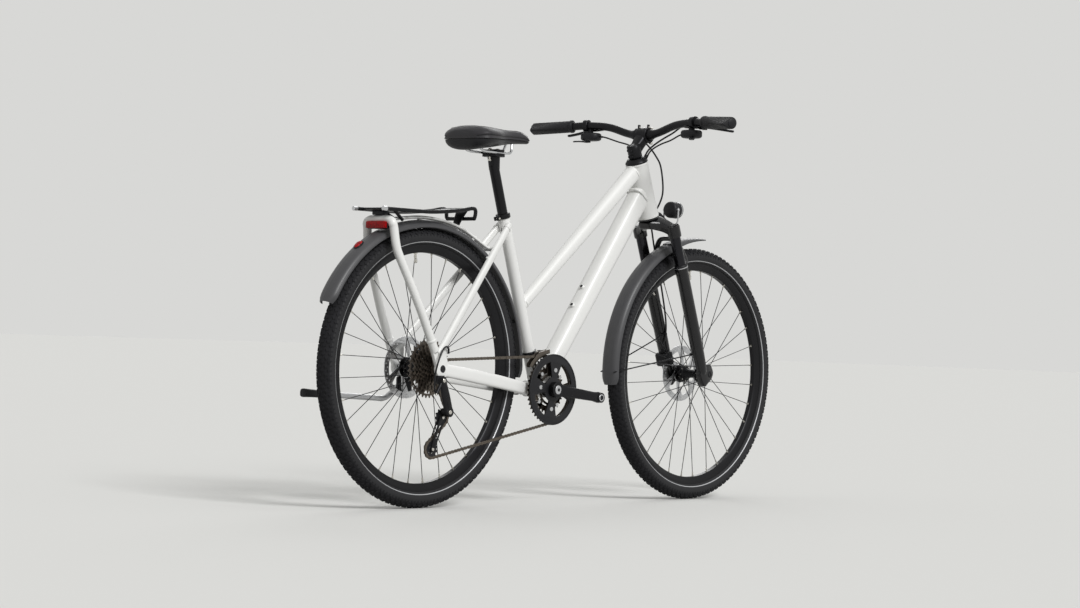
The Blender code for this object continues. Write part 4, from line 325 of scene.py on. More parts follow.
def sheet(outlines, thickness, centre, axis=LEFT, x_way=AHEAD, bevel=0.0, look=0):
    """A flat plate inside the first outline and outside the others, extruded along axis."""
    curve = bpy.data.curves.new("flat", "CURVE")
    curve.dimensions = "2D"
    curve.fill_mode = "BOTH"
    curve.extrude = thickness / 2 - bevel
    curve.bevel_depth = bevel
    curve.bevel_resolution = 1
    curve.offset = -bevel
    for outline in outlines:
        line = curve.splines.new("POLY")
        line.points.add(len(outline) - 1)
        data = np.zeros((len(outline), 4))
        data[:, :2] = outline
        data[:, 3] = 1.0
        line.points.foreach_set("co", data.ravel())
        line.use_cyclic_u = True
    holder = bpy.data.objects.new("flat", curve)
    shape = bmesh.new()
    shape.from_mesh(holder.to_mesh())
    bmesh.ops.remove_doubles(shape, verts=shape.verts, dist=0.000004)
    bmesh.ops.recalc_face_normals(shape, faces=shape.faces)
    local = np.array([v.co[:] for v in shape.verts])
    faces = [[v.index for v in f.verts] for f in shape.faces]
    shape.free()
    bpy.data.objects.remove(holder)
    bpy.data.curves.remove(curve)
    axis = unit(axis)
    x = unit(x_way - axis * np.dot(x_way, axis))
    y = np.cross(axis, x)
    points = centre + local[:, :1] * x + local[:, 1:2] * y + local[:, 2:] * axis
    return points, outward(points, faces), [look] * len(faces)


def block(centre, size, x_way=AHEAD, z_way=UP, power=6.0, look=0, sides=24):
    """A rounded brick: superellipse rings whose size follows (1 - |h|^p)^(1/p) near both ends."""
    z = unit(z_way)
    x = unit(np.asarray(x_way) - z * np.dot(x_way, z))
    y = np.cross(z, x)
    h = np.array([-1.0, -0.985, -0.93, -0.8, 0.8, 0.93, 0.985, 1.0])
    k = (1 - np.abs(h * 0.995) ** power) ** (1 / power)
    c, s = oval(sides, power)
    wide, deep = k[:, None] * c * size[0] / 2, k[:, None] * s * size[1] / 2
    points = np.asarray(centre) + z * (h * size[2] / 2)[:, None, None]
    points = points + x * wide[..., None] + y * deep[..., None]
    return grid(points, look=look)


def bricks(centre, e1, e2, e3, look=0):
    """n boxes as whole arrays: centre +- e1 +- e2 +- e3, each an n by 3 array."""
    sign = np.array([[-1, -1, -1], [1, -1, -1], [1, 1, -1], [-1, 1, -1],
                     [-1, -1, 1], [1, -1, 1], [1, 1, 1], [-1, 1, 1]], float)
    points = (centre[:, None] + sign[None, :, :1] * e1[:, None] + sign[None, :, 1:2] * e2[:, None]
              + sign[None, :, 2:] * e3[:, None])
    quads = np.array([[0, 3, 2, 1], [4, 5, 6, 7], [0, 1, 5, 4], [1, 2, 6, 5], [2, 3, 7, 6], [3, 0, 4, 7]])
    hand = np.einsum("ij,ij->i", np.cross(e1, e2), e3)
    faces = quads[None] + 8 * np.arange(len(centre))[:, None, None]
    faces = np.where((hand > 0)[:, None, None], faces, faces[:, :, ::-1]).reshape(-1, 4).tolist()
    return points.reshape(-1, 3), faces, [look] * len(faces)


def mirrored(surface):
    """The surface with y turned to -y and its faces turned round."""
    points, faces, looks = surface
    return points * np.array([1.0, -1.0, 1.0]), [f[::-1] for f in faces], looks


def put(name, surfaces, looks, body, replaced=(), sharp=32.0):
    """Joins surfaces into one object at the origin; it rides on a body, or stands alone without one."""
    points, faces, numbers, base = [], [], [], 0
    for surface in surfaces:
        points.append(surface[0])
        faces += [[v + base for v in f] for f in surface[1]]
        numbers += surface[2]
        base += len(surface[0])
    mesh = bpy.data.meshes.new(name)
    mesh.from_pydata(np.vstack(points).tolist(), [], faces)
    for look in looks:
        mesh.materials.append(look)
    mesh.polygons.foreach_set("material_index", np.array(numbers, dtype=np.int32))
    mesh.shade_smooth()
    mesh.set_sharp_from_angle(angle=math.radians(sharp))
    mesh.update()
    piece = bpy.data.objects.new(name, mesh)
    bpy.context.scene.collection.objects.link(piece)
    if body:
        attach(piece, body)
    if replaced:
        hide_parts(*replaced)
    return piece


# Materials

def new_look(name, colour, roughness, metallic=0.0, **sockets):
    """A material whose shader has these constants on its own sockets; returns it with its shader."""
    material = bpy.data.materials.new(name)
    material.use_nodes = True
    shader = material.node_tree.nodes["Principled BSDF"]
    shader.inputs["Base Color"].default_value = (*colour, 1.0)
    shader.inputs["Roughness"].default_value = roughness
    shader.inputs["Metallic"].default_value = metallic
    for key, value in sockets.items():
        shader.inputs[key.replace("_", " ")].default_value = value
    material.diffuse_color = (*colour, 1.0)
    return material, shader


def add(material, kind, links, **settings):
    """Adds one node; links gives each input a value, or (node, output) to join."""
    tree = material.node_tree
    node = tree.nodes.new(kind)
    for key, value in settings.items():
        setattr(node, key, value)
    for key, value in links.items():
        if isinstance(value, tuple) and len(value) == 2 and hasattr(value[0], "outputs"):
            tree.links.new(value[0].outputs[value[1]], node.inputs[key])
        else:
            node.inputs[key].default_value = value
    return node


def grain(material, shader, colour, factor, grain_mm, depth_mm, rough, patch_mm=60.0,
          stretch=(1.0, 1.0, 1.0), cells=False):
    """Colour drifts over patch_mm between colour and factor times it, roughness and height over grain_mm.

    A noise of scale 1000 / mm has one bump per that many millimetres of Object coordinates.
    """
    tree = material.node_tree
    place = add(material, "ShaderNodeTexCoord", {})
    turn = add(material, "ShaderNodeMapping", {"Vector": (place, "Object"), "Scale": stretch})
    patch = add(material, "ShaderNodeTexNoise", {"Vector": (place, "Object"), "Scale": 1000.0 / patch_mm,
                                                 "Detail": 3.0, "Roughness": 0.6})
    if cells:
        fine = add(material, "ShaderNodeTexVoronoi", {"Vector": (turn, "Vector"),
                                                      "Scale": 1000.0 / grain_mm})
        fine_out = "Distance"
    else:
        fine = add(material, "ShaderNodeTexNoise", {"Vector": (turn, "Vector"), "Scale": 1000.0 / grain_mm,
                                                    "Detail": 4.0, "Roughness": 0.65})
        fine_out = "Fac"
    tone = add(material, "ShaderNodeMix", {"Factor": (patch, "Fac")}, data_type="RGBA")
    tone.inputs["A"].default_value = (*colour, 1.0)
    tone.inputs["B"].default_value = (*(c * factor for c in colour), 1.0)
    tree.links.new(tone.outputs["Result"], shader.inputs["Base Color"])
    spread = add(material, "ShaderNodeMapRange", {"Value": (fine, fine_out), "From Min": 0.25,
                                                  "From Max": 0.75, "To Min": rough[0], "To Max": rough[1]})
    tree.links.new(spread.outputs["Result"], shader.inputs["Roughness"])
    bump = add(material, "ShaderNodeBump", {"Height": (fine, fine_out), "Strength": 1.0,
                                            "Distance": depth_mm / 1000.0})
    tree.links.new(bump.outputs["Normal"], shader.inputs["Normal"])
    return place, fine, tone


def powder_coat(colour):
    """Gloss powder coat on aluminium: clean and bright, with a faint orange peel in its shine."""
    m, s = new_look("gloss powder coat", colour, 0.38, Specular_IOR_Level=0.4, Coat_Weight=0.25,
                    Coat_Roughness=0.16)
    grain(m, s, colour, 0.955, 1.8, 0.01, (0.34, 0.44), 240.0)
    return m


def anodised(colour):
    """Bead blasted, anodised aluminium: a dark satin metal with a fine even sparkle."""
    m, s = new_look("black anodised aluminium", colour, 0.38, 0.75)
    grain(m, s, colour, 1.35, 0.9, 0.006, (0.3, 0.46), 45.0)
    return m


def lacquer(colour):
    """Black lacquer on cast magnesium and steel: deep and glossy, with long soft highlights."""
    m, s = new_look("gloss black lacquer", colour, 0.26, Specular_IOR_Level=0.3, Coat_Weight=0.3,
                    Coat_Roughness=0.05)
    grain(m, s, colour, 1.5, 2.4, 0.008, (0.2, 0.32), 90.0)
    return m


def stanchion_coat(colour):
    """Hard anodised, polished fork tube: a dark mirror with fine lines along it."""
    m, s = new_look("polished fork tube", colour, 0.14, 0.9)
    grain(m, s, colour, 1.3, 0.8, 0.002, (0.1, 0.18), 60.0, (1.0, 1.0, 0.06))
    return m


def moulded_black(colour):
    """Moulded black plastic: a low even sheen over a fine spark-eroded grain."""
    m, s = new_look("moulded black plastic", colour, 0.46, IOR=1.49, Specular_IOR_Level=0.3)
    grain(m, s, colour, 1.4, 0.7, 0.02, (0.4, 0.56), 40.0)
    return m


def guard_plastic(colour):
    """Laminated mudguard plastic: dark grey and satin, with faint lines drawn along its length."""
    m, s = new_look("satin mudguard plastic", colour, 0.42, IOR=1.49, Specular_IOR_Level=0.35,
                    Coat_Weight=0.1, Coat_Roughness=0.25)
    grain(m, s, colour, 1.25, 1.1, 0.012, (0.36, 0.5), 70.0)
    return m


def tread_rubber(colour):
    """Vulcanised tread rubber: dull black with a dusty bloom and a rough cut grain."""
    m, s = new_look("tread rubber", colour, 0.8, IOR=1.52, Specular_IOR_Level=0.2)
    grain(m, s, colour, 1.9, 1.4, 0.06, (0.7, 0.92), 30.0)
    return m


def wall_rubber(colour):
    """Tyre sidewall: smoother rubber over a woven casing, whose threads show as a fine crossing rib."""
    m, s = new_look("sidewall rubber", colour, 0.6, IOR=1.52, Specular_IOR_Level=0.3)
    grain(m, s, colour, 1.5, 0.8, 0.015, (0.52, 0.72), 40.0)
    return m


def reflex_tape(colour):
    """Reflective band in the sidewall: silver grey, fine glass beads under a clear skin."""
    m, s = new_look("reflective tyre band", colour, 0.42, 0.35, Coat_Weight=0.4, Coat_Roughness=0.2)
    grain(m, s, colour, 0.8, 0.6, 0.004, (0.34, 0.52), 25.0, cells=True)
    return m


def turned_steel(colour):
    """Ground brake rotor steel: bright, with fine arcs left by the grinding stone and the pads."""
    m, s = new_look("ground rotor steel", colour, 0.28, 1.0, Anisotropic=0.5)
    grain(m, s, colour, 0.82, 1.2, 0.004, (0.2, 0.38), 14.0, (1.0, 0.1, 1.0))
    return m


def wire_black(colour):
    """Black oxidised spoke wire: drawn steel with a thin dark shine along it."""
    m, s = new_look("black spoke wire", colour, 0.3, 0.85)
    grain(m, s, colour, 1.5, 1.0, 0.002, (0.24, 0.38), 30.0)
    return m


def bright_nickel(colour):
    """Nickel plated brass nipples and bolts: small bright points."""
    m, s = new_look("bright nickel plate", colour, 0.2, 1.0)
    grain(m, s, colour, 0.85, 0.8, 0.003, (0.14, 0.28), 10.0)
    return m


def chain_steel(colour):
    """Rolled chain plates, oiled and a little brown: grey steel with darker, greasy hollows."""
    m, s = new_look("oiled chain steel", colour, 0.36, 0.95)
    grain(m, s, colour, 0.55, 1.5, 0.012, (0.26, 0.5), 9.0)
    return m


def cog_steel(colour):
    """Stamped sprocket steel, blackened and worn bright in places."""
    m, s = new_look("blackened sprocket steel", colour, 0.34, 0.95)
    grain(m, s, colour, 1.9, 1.6, 0.008, (0.24, 0.46), 12.0)
    return m


def silver_alloy(colour):
    """Machined and brushed aluminium: pale and bright with fine lathe lines."""
    m, s = new_look("machined silver aluminium", colour, 0.24, 1.0, Anisotropic=0.3)
    grain(m, s, colour, 0.88, 0.9, 0.003, (0.18, 0.32), 20.0, (0.15, 1.0, 1.0))
    return m


def satin_alloy(colour):
    """Tumbled, clear coated aluminium: pale grey with an even, soft shine."""
    m, s = new_look("satin aluminium", colour, 0.42, 0.7)
    grain(m, s, colour, 0.9, 1.0, 0.006, (0.36, 0.5), 30.0)
    return m


def grip_rubber(colour):
    """Soft grip rubber: a matt skin with a raised diamond pattern, two millimetres apart."""
    m, s = new_look("soft grip rubber", colour, 0.68, IOR=1.5, Specular_IOR_Level=0.3, Sheen_Weight=0.05,
                    Sheen_Roughness=0.45)
    tree = m.node_tree
    place, fine, tone = grain(m, s, colour, 1.35, 0.8, 0.05, (0.6, 0.78), 30.0)
    waves = []
    for turn in (0.785, -0.785):
        axes = add(m, "ShaderNodeMapping", {"Vector": (place, "Object"), "Rotation": (0.0, 0.0, turn)})
        waves.append(add(m, "ShaderNodeTexWave", {"Vector": (axes, "Vector"),
                                                  "Scale": 1000.0 / (2.6 * 6.283)}))
    both = add(m, "ShaderNodeMath", {0: (waves[0], "Fac"), 1: (waves[1], "Fac")}, operation="MULTIPLY")
    bump = add(m, "ShaderNodeBump", {"Height": (both, "Value"), "Strength": 1.0, "Distance": 0.0005})
    tree.links.new(bump.outputs["Normal"], s.inputs["Normal"])
    return m


def saddle_skin(colour):
    """Synthetic saddle leather: near black, soft sheen, pebbled with cells about a millimetre wide."""
    m, s = new_look("synthetic saddle leather", colour, 0.52, IOR=1.48, Specular_IOR_Level=0.4,
                    Sheen_Weight=0.15, Sheen_Roughness=0.4)
    grain(m, s, colour, 1.5, 1.3, 0.09, (0.46, 0.62), 55.0, cells=True)
    return m


def red_lens(colour):
    """Clear red acrylic over a moulded reflector, whose prisms are three millimetres apart."""
    m, s = new_look("red acrylic lens", colour, 0.24, IOR=1.49, Specular_IOR_Level=0.15, Coat_Weight=0.1,
                    Coat_Roughness=0.03)
    tree = m.node_tree
    place = add(m, "ShaderNodeTexCoord", {})
    cells = add(m, "ShaderNodeTexVoronoi", {"Vector": (place, "Object"), "Scale": 1000.0 / 3.2},
                distance="MANHATTAN")
    tone = add(m, "ShaderNodeMix", {"Factor": (cells, "Distance")}, data_type="RGBA")
    tone.inputs["A"].default_value = (*colour, 1.0)
    tone.inputs["B"].default_value = (*(c * 0.35 for c in colour), 1.0)
    tree.links.new(tone.outputs["Result"], s.inputs["Base Color"])
    bump = add(m, "ShaderNodeBump", {"Height": (cells, "Distance"), "Strength": 0.7, "Distance": 0.0006})
    tree.links.new(bump.outputs["Normal"], s.inputs["Normal"])
    return m


def clear_lens(colour):
    """Clear acrylic lamp glass: colourless, hard and bright, over its own fluting."""
    m, s = new_look("clear lamp lens", colour, 0.04, IOR=1.49, Transmission_Weight=0.85)
    tree = m.node_tree
    place = add(m, "ShaderNodeTexCoord", {})
    flutes = add(m, "ShaderNodeTexWave", {"Vector": (place, "Object"), "Scale": 1000.0 / (3.0 * 6.283)},
                 bands_direction="Y")
    bump = add(m, "ShaderNodeBump", {"Height": (flutes, "Fac"), "Strength": 0.5, "Distance": 0.0004})
    tree.links.new(bump.outputs["Normal"], s.inputs["Normal"])
    return m


def mirror_chrome(colour):
    """Vacuum coated lamp reflector: a soft mirror."""
    m, s = new_look("lamp reflector chrome", colour, 0.1, 1.0)
    grain(m, s, colour, 0.9, 4.0, 0.02, (0.06, 0.16), 12.0)
    return m


def hose_sheath(colour):
    """Extruded cable and hose sheath: smooth black plastic with a narrow gloss line."""
    m, s = new_look("glossy hose sheath", colour, 0.3, IOR=1.49, Specular_IOR_Level=0.3)
    grain(m, s, colour, 1.5, 1.5, 0.004, (0.24, 0.38), 50.0)
    return m


LOOKS = {}
RECIPES = {
    "paint": (powder_coat, "F2F2F0"), "anodised": (anodised, "1D1D1F"), "lacquer": (lacquer, "0E0E10"),
    "stanchion": (stanchion_coat, "2A2A2D"), "plastic": (moulded_black, "17171A"),
    "guard": (guard_plastic, "434345"), "tread": (tread_rubber, "19191B"), "wall": (wall_rubber, "1C1C1E"),
    "reflex": (reflex_tape, "C4C5C8"), "rotor": (turned_steel, "D6D7D9"), "spoke": (wire_black, "1F1F21"),
    "nickel": (bright_nickel, "D9D6CF"), "chain": (chain_steel, "746C63"), "cog": (cog_steel, "544E48"),
    "silver": (silver_alloy, "CFD0D2"), "satin": (satin_alloy, "C9CACB"), "grip": (grip_rubber, "1C1C1E"),
    "saddle": (saddle_skin, "262528"),
    "red": (red_lens, "D01018"), "lens": (clear_lens, "F4F6F8"), "chrome": (mirror_chrome, "E6E7E8"),
    "hose": (hose_sheath, "131315"),
}


def looks(*names):
    """The named materials, each made on its first use from the panel's colours."""
    chosen = bpy.context.scene.bicycle_colours
    for name in names:
        if name not in LOOKS:
            recipe, code = RECIPES[name]
            own = getattr(chosen, name, None)
            LOOKS[name] = recipe(tuple(own) if own is not None else linear(code))
    return [LOOKS[name] for name in names]


# Wheels

def tyre_shape(axle, tread):
    """Casing: r = middle + high cos t, y = half sin t, from bead to bead; knobs stand on its crown.

    Knob rows sit at fixed angles t round the section and follow each other round the wheel, every other
    row half a step on.
    """
    top = AXLE_HEIGHT - tread
    middle = AXLE_HEIGHT - TYRE_HALF
    high = top - middle
    base = RIM_RADIUS + 0.0004
    drop = math.asin((middle - base) / TYRE_HALF)
    t = np.linspace(-math.pi / 2 - drop, math.pi / 2 + drop, 49)
    r = middle + np.where(np.cos(t) > 0, high, TYRE_HALF) * np.cos(t)
    y = TYRE_HALF * np.sin(t)
    profile = np.stack([r, y], -1)
    profile = np.vstack([profile, [[base - 0.004, 0.009], [base - 0.004, -0.009]]])
    radius = (profile[:, 0] + np.roll(profile[:, 0], -1)) / 2
    look = np.where(np.abs(radius - 0.3228) < 0.0011, 2, np.where(radius > 0.343, 0, 1))
    casing = turned(profile, axle, LEFT, 192, closed=True, look=look)
    parts = [casing]
    count = 108
    for angle, long, wide, shift in ((0.0, 0.0078, 0.0042, 0.0), (0.36, 0.0066, 0.0034, 0.5),
                                     (-0.36, 0.0066, 0.0034, 0.5), (0.72, 0.0086, 0.0032, 0.0),
                                     (-0.72, 0.0086, 0.0032, 0.0), (1.04, 0.0064, 0.003, 0.5),
                                     (-1.04, 0.0064, 0.003, 0.5)):
        a = 2 * np.pi * (np.arange(count) + shift) / count
        out = np.stack([np.cos(a), np.zeros(count), np.sin(a)], -1)
        normal = unit(out * math.cos(angle) + LEFT * math.sin(angle))
        rest = middle + high * math.cos(angle)
        centre = axle + out * rest + LEFT * TYRE_HALF * math.sin(angle)
        along = np.stack([-np.sin(a), np.zeros(count), np.cos(a)], -1)
        lean = 0.5 * math.copysign(1.0, angle) if angle else 0.0
        wide_way = unit(np.cross(along, normal))
        turned_along = along * math.cos(lean) + wide_way * math.sin(lean)
        turned_wide = wide_way * math.cos(lean) - along * math.sin(lean)
        parts.append(bricks(centre + normal * (tread / 2 - 0.0004), turned_along * long / 2,
                            turned_wide * wide, normal * (tread / 2 + 0.0004), look=0))
    ribs = 180
    a = 2 * np.pi * np.arange(ribs) / ribs
    for hand in (-1, 1):
        angle = 1.3 * hand
        out = np.stack([np.cos(a), np.zeros(ribs), np.sin(a)], -1)
        along = np.stack([-np.sin(a), np.zeros(ribs), np.cos(a)], -1)
        normal = unit(out * math.cos(angle) + LEFT * math.sin(angle))
        centre = axle + out * (middle + high * math.cos(angle)) + LEFT * TYRE_HALF * math.sin(angle)
        parts.append(bricks(centre, along * 0.0016, unit(np.cross(along, normal)) * 0.0022,
                            normal * 0.0006, look=0))
    return parts


def rim_shape(axle):
    """Box section turned round the axle: hooked edges, sloping walls and a flat inner band; returns it with
    the inner radius.
    """
    half, top = RIM_HALF, RIM_RADIUS
    inner = top - RIM_DEPTH
    profile = [(top, half), (top - 0.0006, half - 0.0007), (top - 0.002, half - 0.0016),
               (top - 0.004, half - 0.003), (top - 0.004, -half + 0.003), (top - 0.002, -half + 0.0016),
               (top - 0.0006, -half + 0.0007), (top, -half), (top - 0.002, -half - 0.0003),
               (top - 0.01, -half + 0.0004), (inner + 0.005, -half * 0.68), (inner + 0.0012, -half * 0.6),
               (inner, -half * 0.5), (inner, half * 0.5), (inner + 0.0012, half * 0.6),
               (inner + 0.005, half * 0.68), (top - 0.01, half - 0.0004), (top - 0.002, half + 0.0003)]
    parts = [turned(profile, axle, LEFT, 192, closed=True)]
    return parts, inner


def spoke_lines(axle, flanges, end_radius):
    """Start and end of each spoke: crossed three times, heads alternately inside and outside a flange."""
    i = np.arange(SPOKES)
    side = np.where(i % 2 == 0, 1, 0)
    lead = np.where((i // 2) % 2 == 0, 1.0, -1.0)
    rim_angle = 2 * np.pi * (i + 0.5) / SPOKES
    hub_angle = rim_angle + lead * math.radians(67)
    flange = np.array(flanges)[side]
    hub = FLANGE_RADIUS - 0.003
    start = np.stack([hub * np.cos(hub_angle), flange, hub * np.sin(hub_angle)], -1)
    end = np.stack([end_radius * np.cos(rim_angle), flange * 0.06, end_radius * np.sin(rim_angle)], -1)
    offset = LEFT * (lead * np.sign(flange) * 0.00115)[:, None]
    return axle + start + offset, axle + end + offset


def rods(starts, ends, radius, sides=6, look=0):
    """All rods between two arrays of points at once: start + (end - start) t + circle."""
    way = unit(ends - starts)
    hint = np.where(np.abs(way @ LEFT)[:, None] > 0.95, UP, LEFT)
    side = unit(np.cross(way, hint))
    lift = np.cross(way, side)
    a = np.linspace(0, 2 * np.pi, sides, endpoint=False)
    circle = (side[:, None] * np.cos(a)[:, None] + lift[:, None] * np.sin(a)[:, None]) * radius
    points = np.stack([starts[:, None] + circle, ends[:, None] + circle], 1)
    n = len(starts)
    j = np.arange(sides)
    k = (j + 1) % sides
    quads = np.stack([j, k, k + sides, j + sides], -1)
    faces = (quads[None] + (2 * sides * np.arange(n))[:, None, None]).reshape(-1, 4).tolist()
    for i in range(n):
        faces += [(j[::-1] + 2 * sides * i).tolist(), (j + sides + 2 * sides * i).tolist()]
    flat = points.reshape(-1, 3)
    one = [f for f in faces if max(f) < 2 * sides]
    if volume(flat[:2 * sides] - flat[:2 * sides].mean(0), one) < 0:
        faces = [f[::-1] for f in faces]
    return flat, faces, [look] * len(faces)


def hub_shape(axle, half_left, half_right, flange_left, flange_right, end_left=0.0105, end_right=0.0105):
    """Hub profile turned round the axle: end caps, waisted barrel and two drilled flanges."""
    f, e = FLANGE_RADIUS, 0.0022
    x = np.linspace(0, 1, 13)
    waist = 0.0118 + 0.004 * (2 * np.abs(x - 0.5)) ** 2.2
    run = flange_left - 0.004 + (flange_right + 0.004 - (flange_left - 0.004)) * x
    profile = [(end_left - 0.002, half_left), (end_left, half_left - 0.001),
               (end_left, flange_left + 0.008), (0.015, flange_left + 0.006), (0.0165, flange_left + e),
               (f - 0.0008, flange_left + e), (f, flange_left + e - 0.0008), (f, flange_left - e + 0.0008),
               (f - 0.0008, flange_left - e), (0.0175, flange_left - e)]
    profile += list(zip(waist, run))
    profile += [(0.0175, flange_right + e), (f - 0.0008, flange_right + e), (f, flange_right + e - 0.0008),
                (f, flange_right - e + 0.0008), (f - 0.0008, flange_right - e),
                (end_right, flange_right - e), (end_right, -half_right + 0.0006),
                (end_right - 0.001, -half_right)]
    return turned(profile, axle, LEFT, 48)


def make_tyres(sizes):
    """Both tyres on their bodies."""
    for name, axle, body in (("front", FRONT_AXLE, "front_wheel"), ("rear", REAR_AXLE, "rear_wheel")):
        put("tyre_" + name, tyre_shape(axle, sizes.tread), looks("tread", "wall", "reflex"), body,
            (name + "_tyre",), 28)


def make_rims():
    """Both rims with their nipples and valves."""
    for name, axle, body, flanges, turn in (
            ("front", FRONT_AXLE, "front_wheel", (-0.033, 0.022), math.radians(94)),
            ("rear", REAR_AXLE, "rear_wheel", (-0.02, 0.034), math.radians(96))):
        parts, inner = rim_shape(axle)
        starts, ends = spoke_lines(axle, flanges, inner)
        way = unit(ends - starts)
        parts.append(rods(ends - way * 0.012, ends + way * 0.001, 0.002, 8, 1))
        parts.append(rods(ends - way * 0.0035, ends + way * 0.001, 0.0028, 8, 1))
        out = np.array([math.cos(turn), 0.0, math.sin(turn)])
        foot = axle + out * inner
        parts.append(rod(foot - out * 0.016, foot + out * 0.002, 0.003, 12, look=1))
        parts.append(rod(foot - out * 0.026, foot - out * 0.014, 0.004, 14, look=1, chamfer=0.0012))
        parts.append(rod(foot - out * 0.003, foot + out * 0.001, 0.0055, 6, look=1))
        put("rim_" + name, parts, looks("anodised", "nickel"), body,
            (name + "_rim",))


def make_hubs():
    """Both hubs with their crossed spokes."""
    for name, axle, body, flanges, ends in (
            ("front", FRONT_AXLE, "front_wheel", (-0.033, 0.022), (0.0497, 0.0497)),
            ("rear", REAR_AXLE, "rear_wheel", (-0.02, 0.034), (0.0707, 0.0235))):
        parts = [hub_shape(axle, ends[0], ends[1], flanges[1], flanges[0])]
        starts, stops = spoke_lines(axle, flanges, RIM_RADIUS - RIM_DEPTH)
        way = unit(stops - starts)
        parts.append(rods(starts, stops - way * 0.009, 0.001, 8, 1))
        head = np.sign(starts[:, 1] - axle[1])[:, None] * LEFT
        parts.append(rods(starts - head * 0.0026, starts + head * 0.0026, 0.0017, 8, 2))
        put("hub_" + name, parts, looks("anodised", "spoke", "nickel"), body,
            (name + "_spokes",))


def rotor_shape(axle, side):
    """A ground ring with two rows of drilled holes on six leaning arms, its dark carrier and lock ring."""
    outer = arc_points(ROTOR_RADIUS, 144)
    a = np.arctan2(outer[:, 1], outer[:, 0])
    outer = outer * (1 - 0.01 * (0.5 + 0.5 * np.cos(12 * a)) ** 6)[:, None]
    holes = [sector(0.027, 0.0632, 2 * math.pi * i / 6, math.radians(20), 10, 0.42) for i in range(6)]
    for radius, shift in ((0.0686, 0.0), (0.0742, 0.5)):
        for a in 2 * np.pi * (np.arange(24) + shift) / 24:
            holes.append(arc_points(0.0016, 10) + radius * np.array([math.cos(a), math.sin(a)]))
    holes.append(arc_points(0.0112, 32))
    place = axle + LEFT * side
    parts = [sheet([outer] + holes, 0.0018, place, LEFT, AHEAD, 0.0001, 0)]
    carrier = [arc_points(0.0262, 60), arc_points(0.0112, 32)]
    parts.append(sheet(carrier, 0.0036, place + LEFT * 0.0004, LEFT, AHEAD, 0.0006, 1))
    parts.append(turned([(0.0106, 0.0008), (0.0106, 0.0055), (0.015, 0.0062), (0.0182, 0.005),
                         (0.0186, 0.0012), (0.0186, 0.0008)], place, LEFT, 48, closed=True, look=2))
    return parts


def make_rotors():
    """Both brake rotors on the left side of the hubs."""
    for name, axle, body, side in (("front", FRONT_AXLE, "front_wheel", 0.038),
                                   ("rear", REAR_AXLE, "rear_wheel", 0.049)):
        put("rotor_" + name, rotor_shape(axle, side), looks("rotor", "anodised", "silver"), body,
            (name + "_rotor",))


# Frame

def bead(centre, axis, wide, high, hint, size=0.0022, power=2.0, count=48):
    """A weld: a thin ring swept round an oval that lies across axis at centre."""
    c, s = oval(count, power)
    side = unit(np.cross(hint, axis))
    lift = np.cross(unit(axis), side)
    path = np.asarray(centre) + side * (wide * c)[:, None] + lift * (high * s)[:, None]
    out = unit(path - centre)
    along = np.broadcast_to(unit(axis), out.shape)
    a = np.linspace(0, 2 * np.pi, 8, endpoint=False)
    points = (path[:, None] + out[:, None] * (np.cos(a) * size)[None, :, None]
              + along[:, None] * (np.sin(a) * size * 1.6)[None, :, None])
    return grid(points, loop=True)


def blend_in(t, start, end):
    """A smooth step from 0 at start to 1 at end: 3 x^2 - 2 x^3."""
    x = np.clip((t - start) / (end - start), 0.0, 1.0)
    return x * x * (3 - 2 * x)


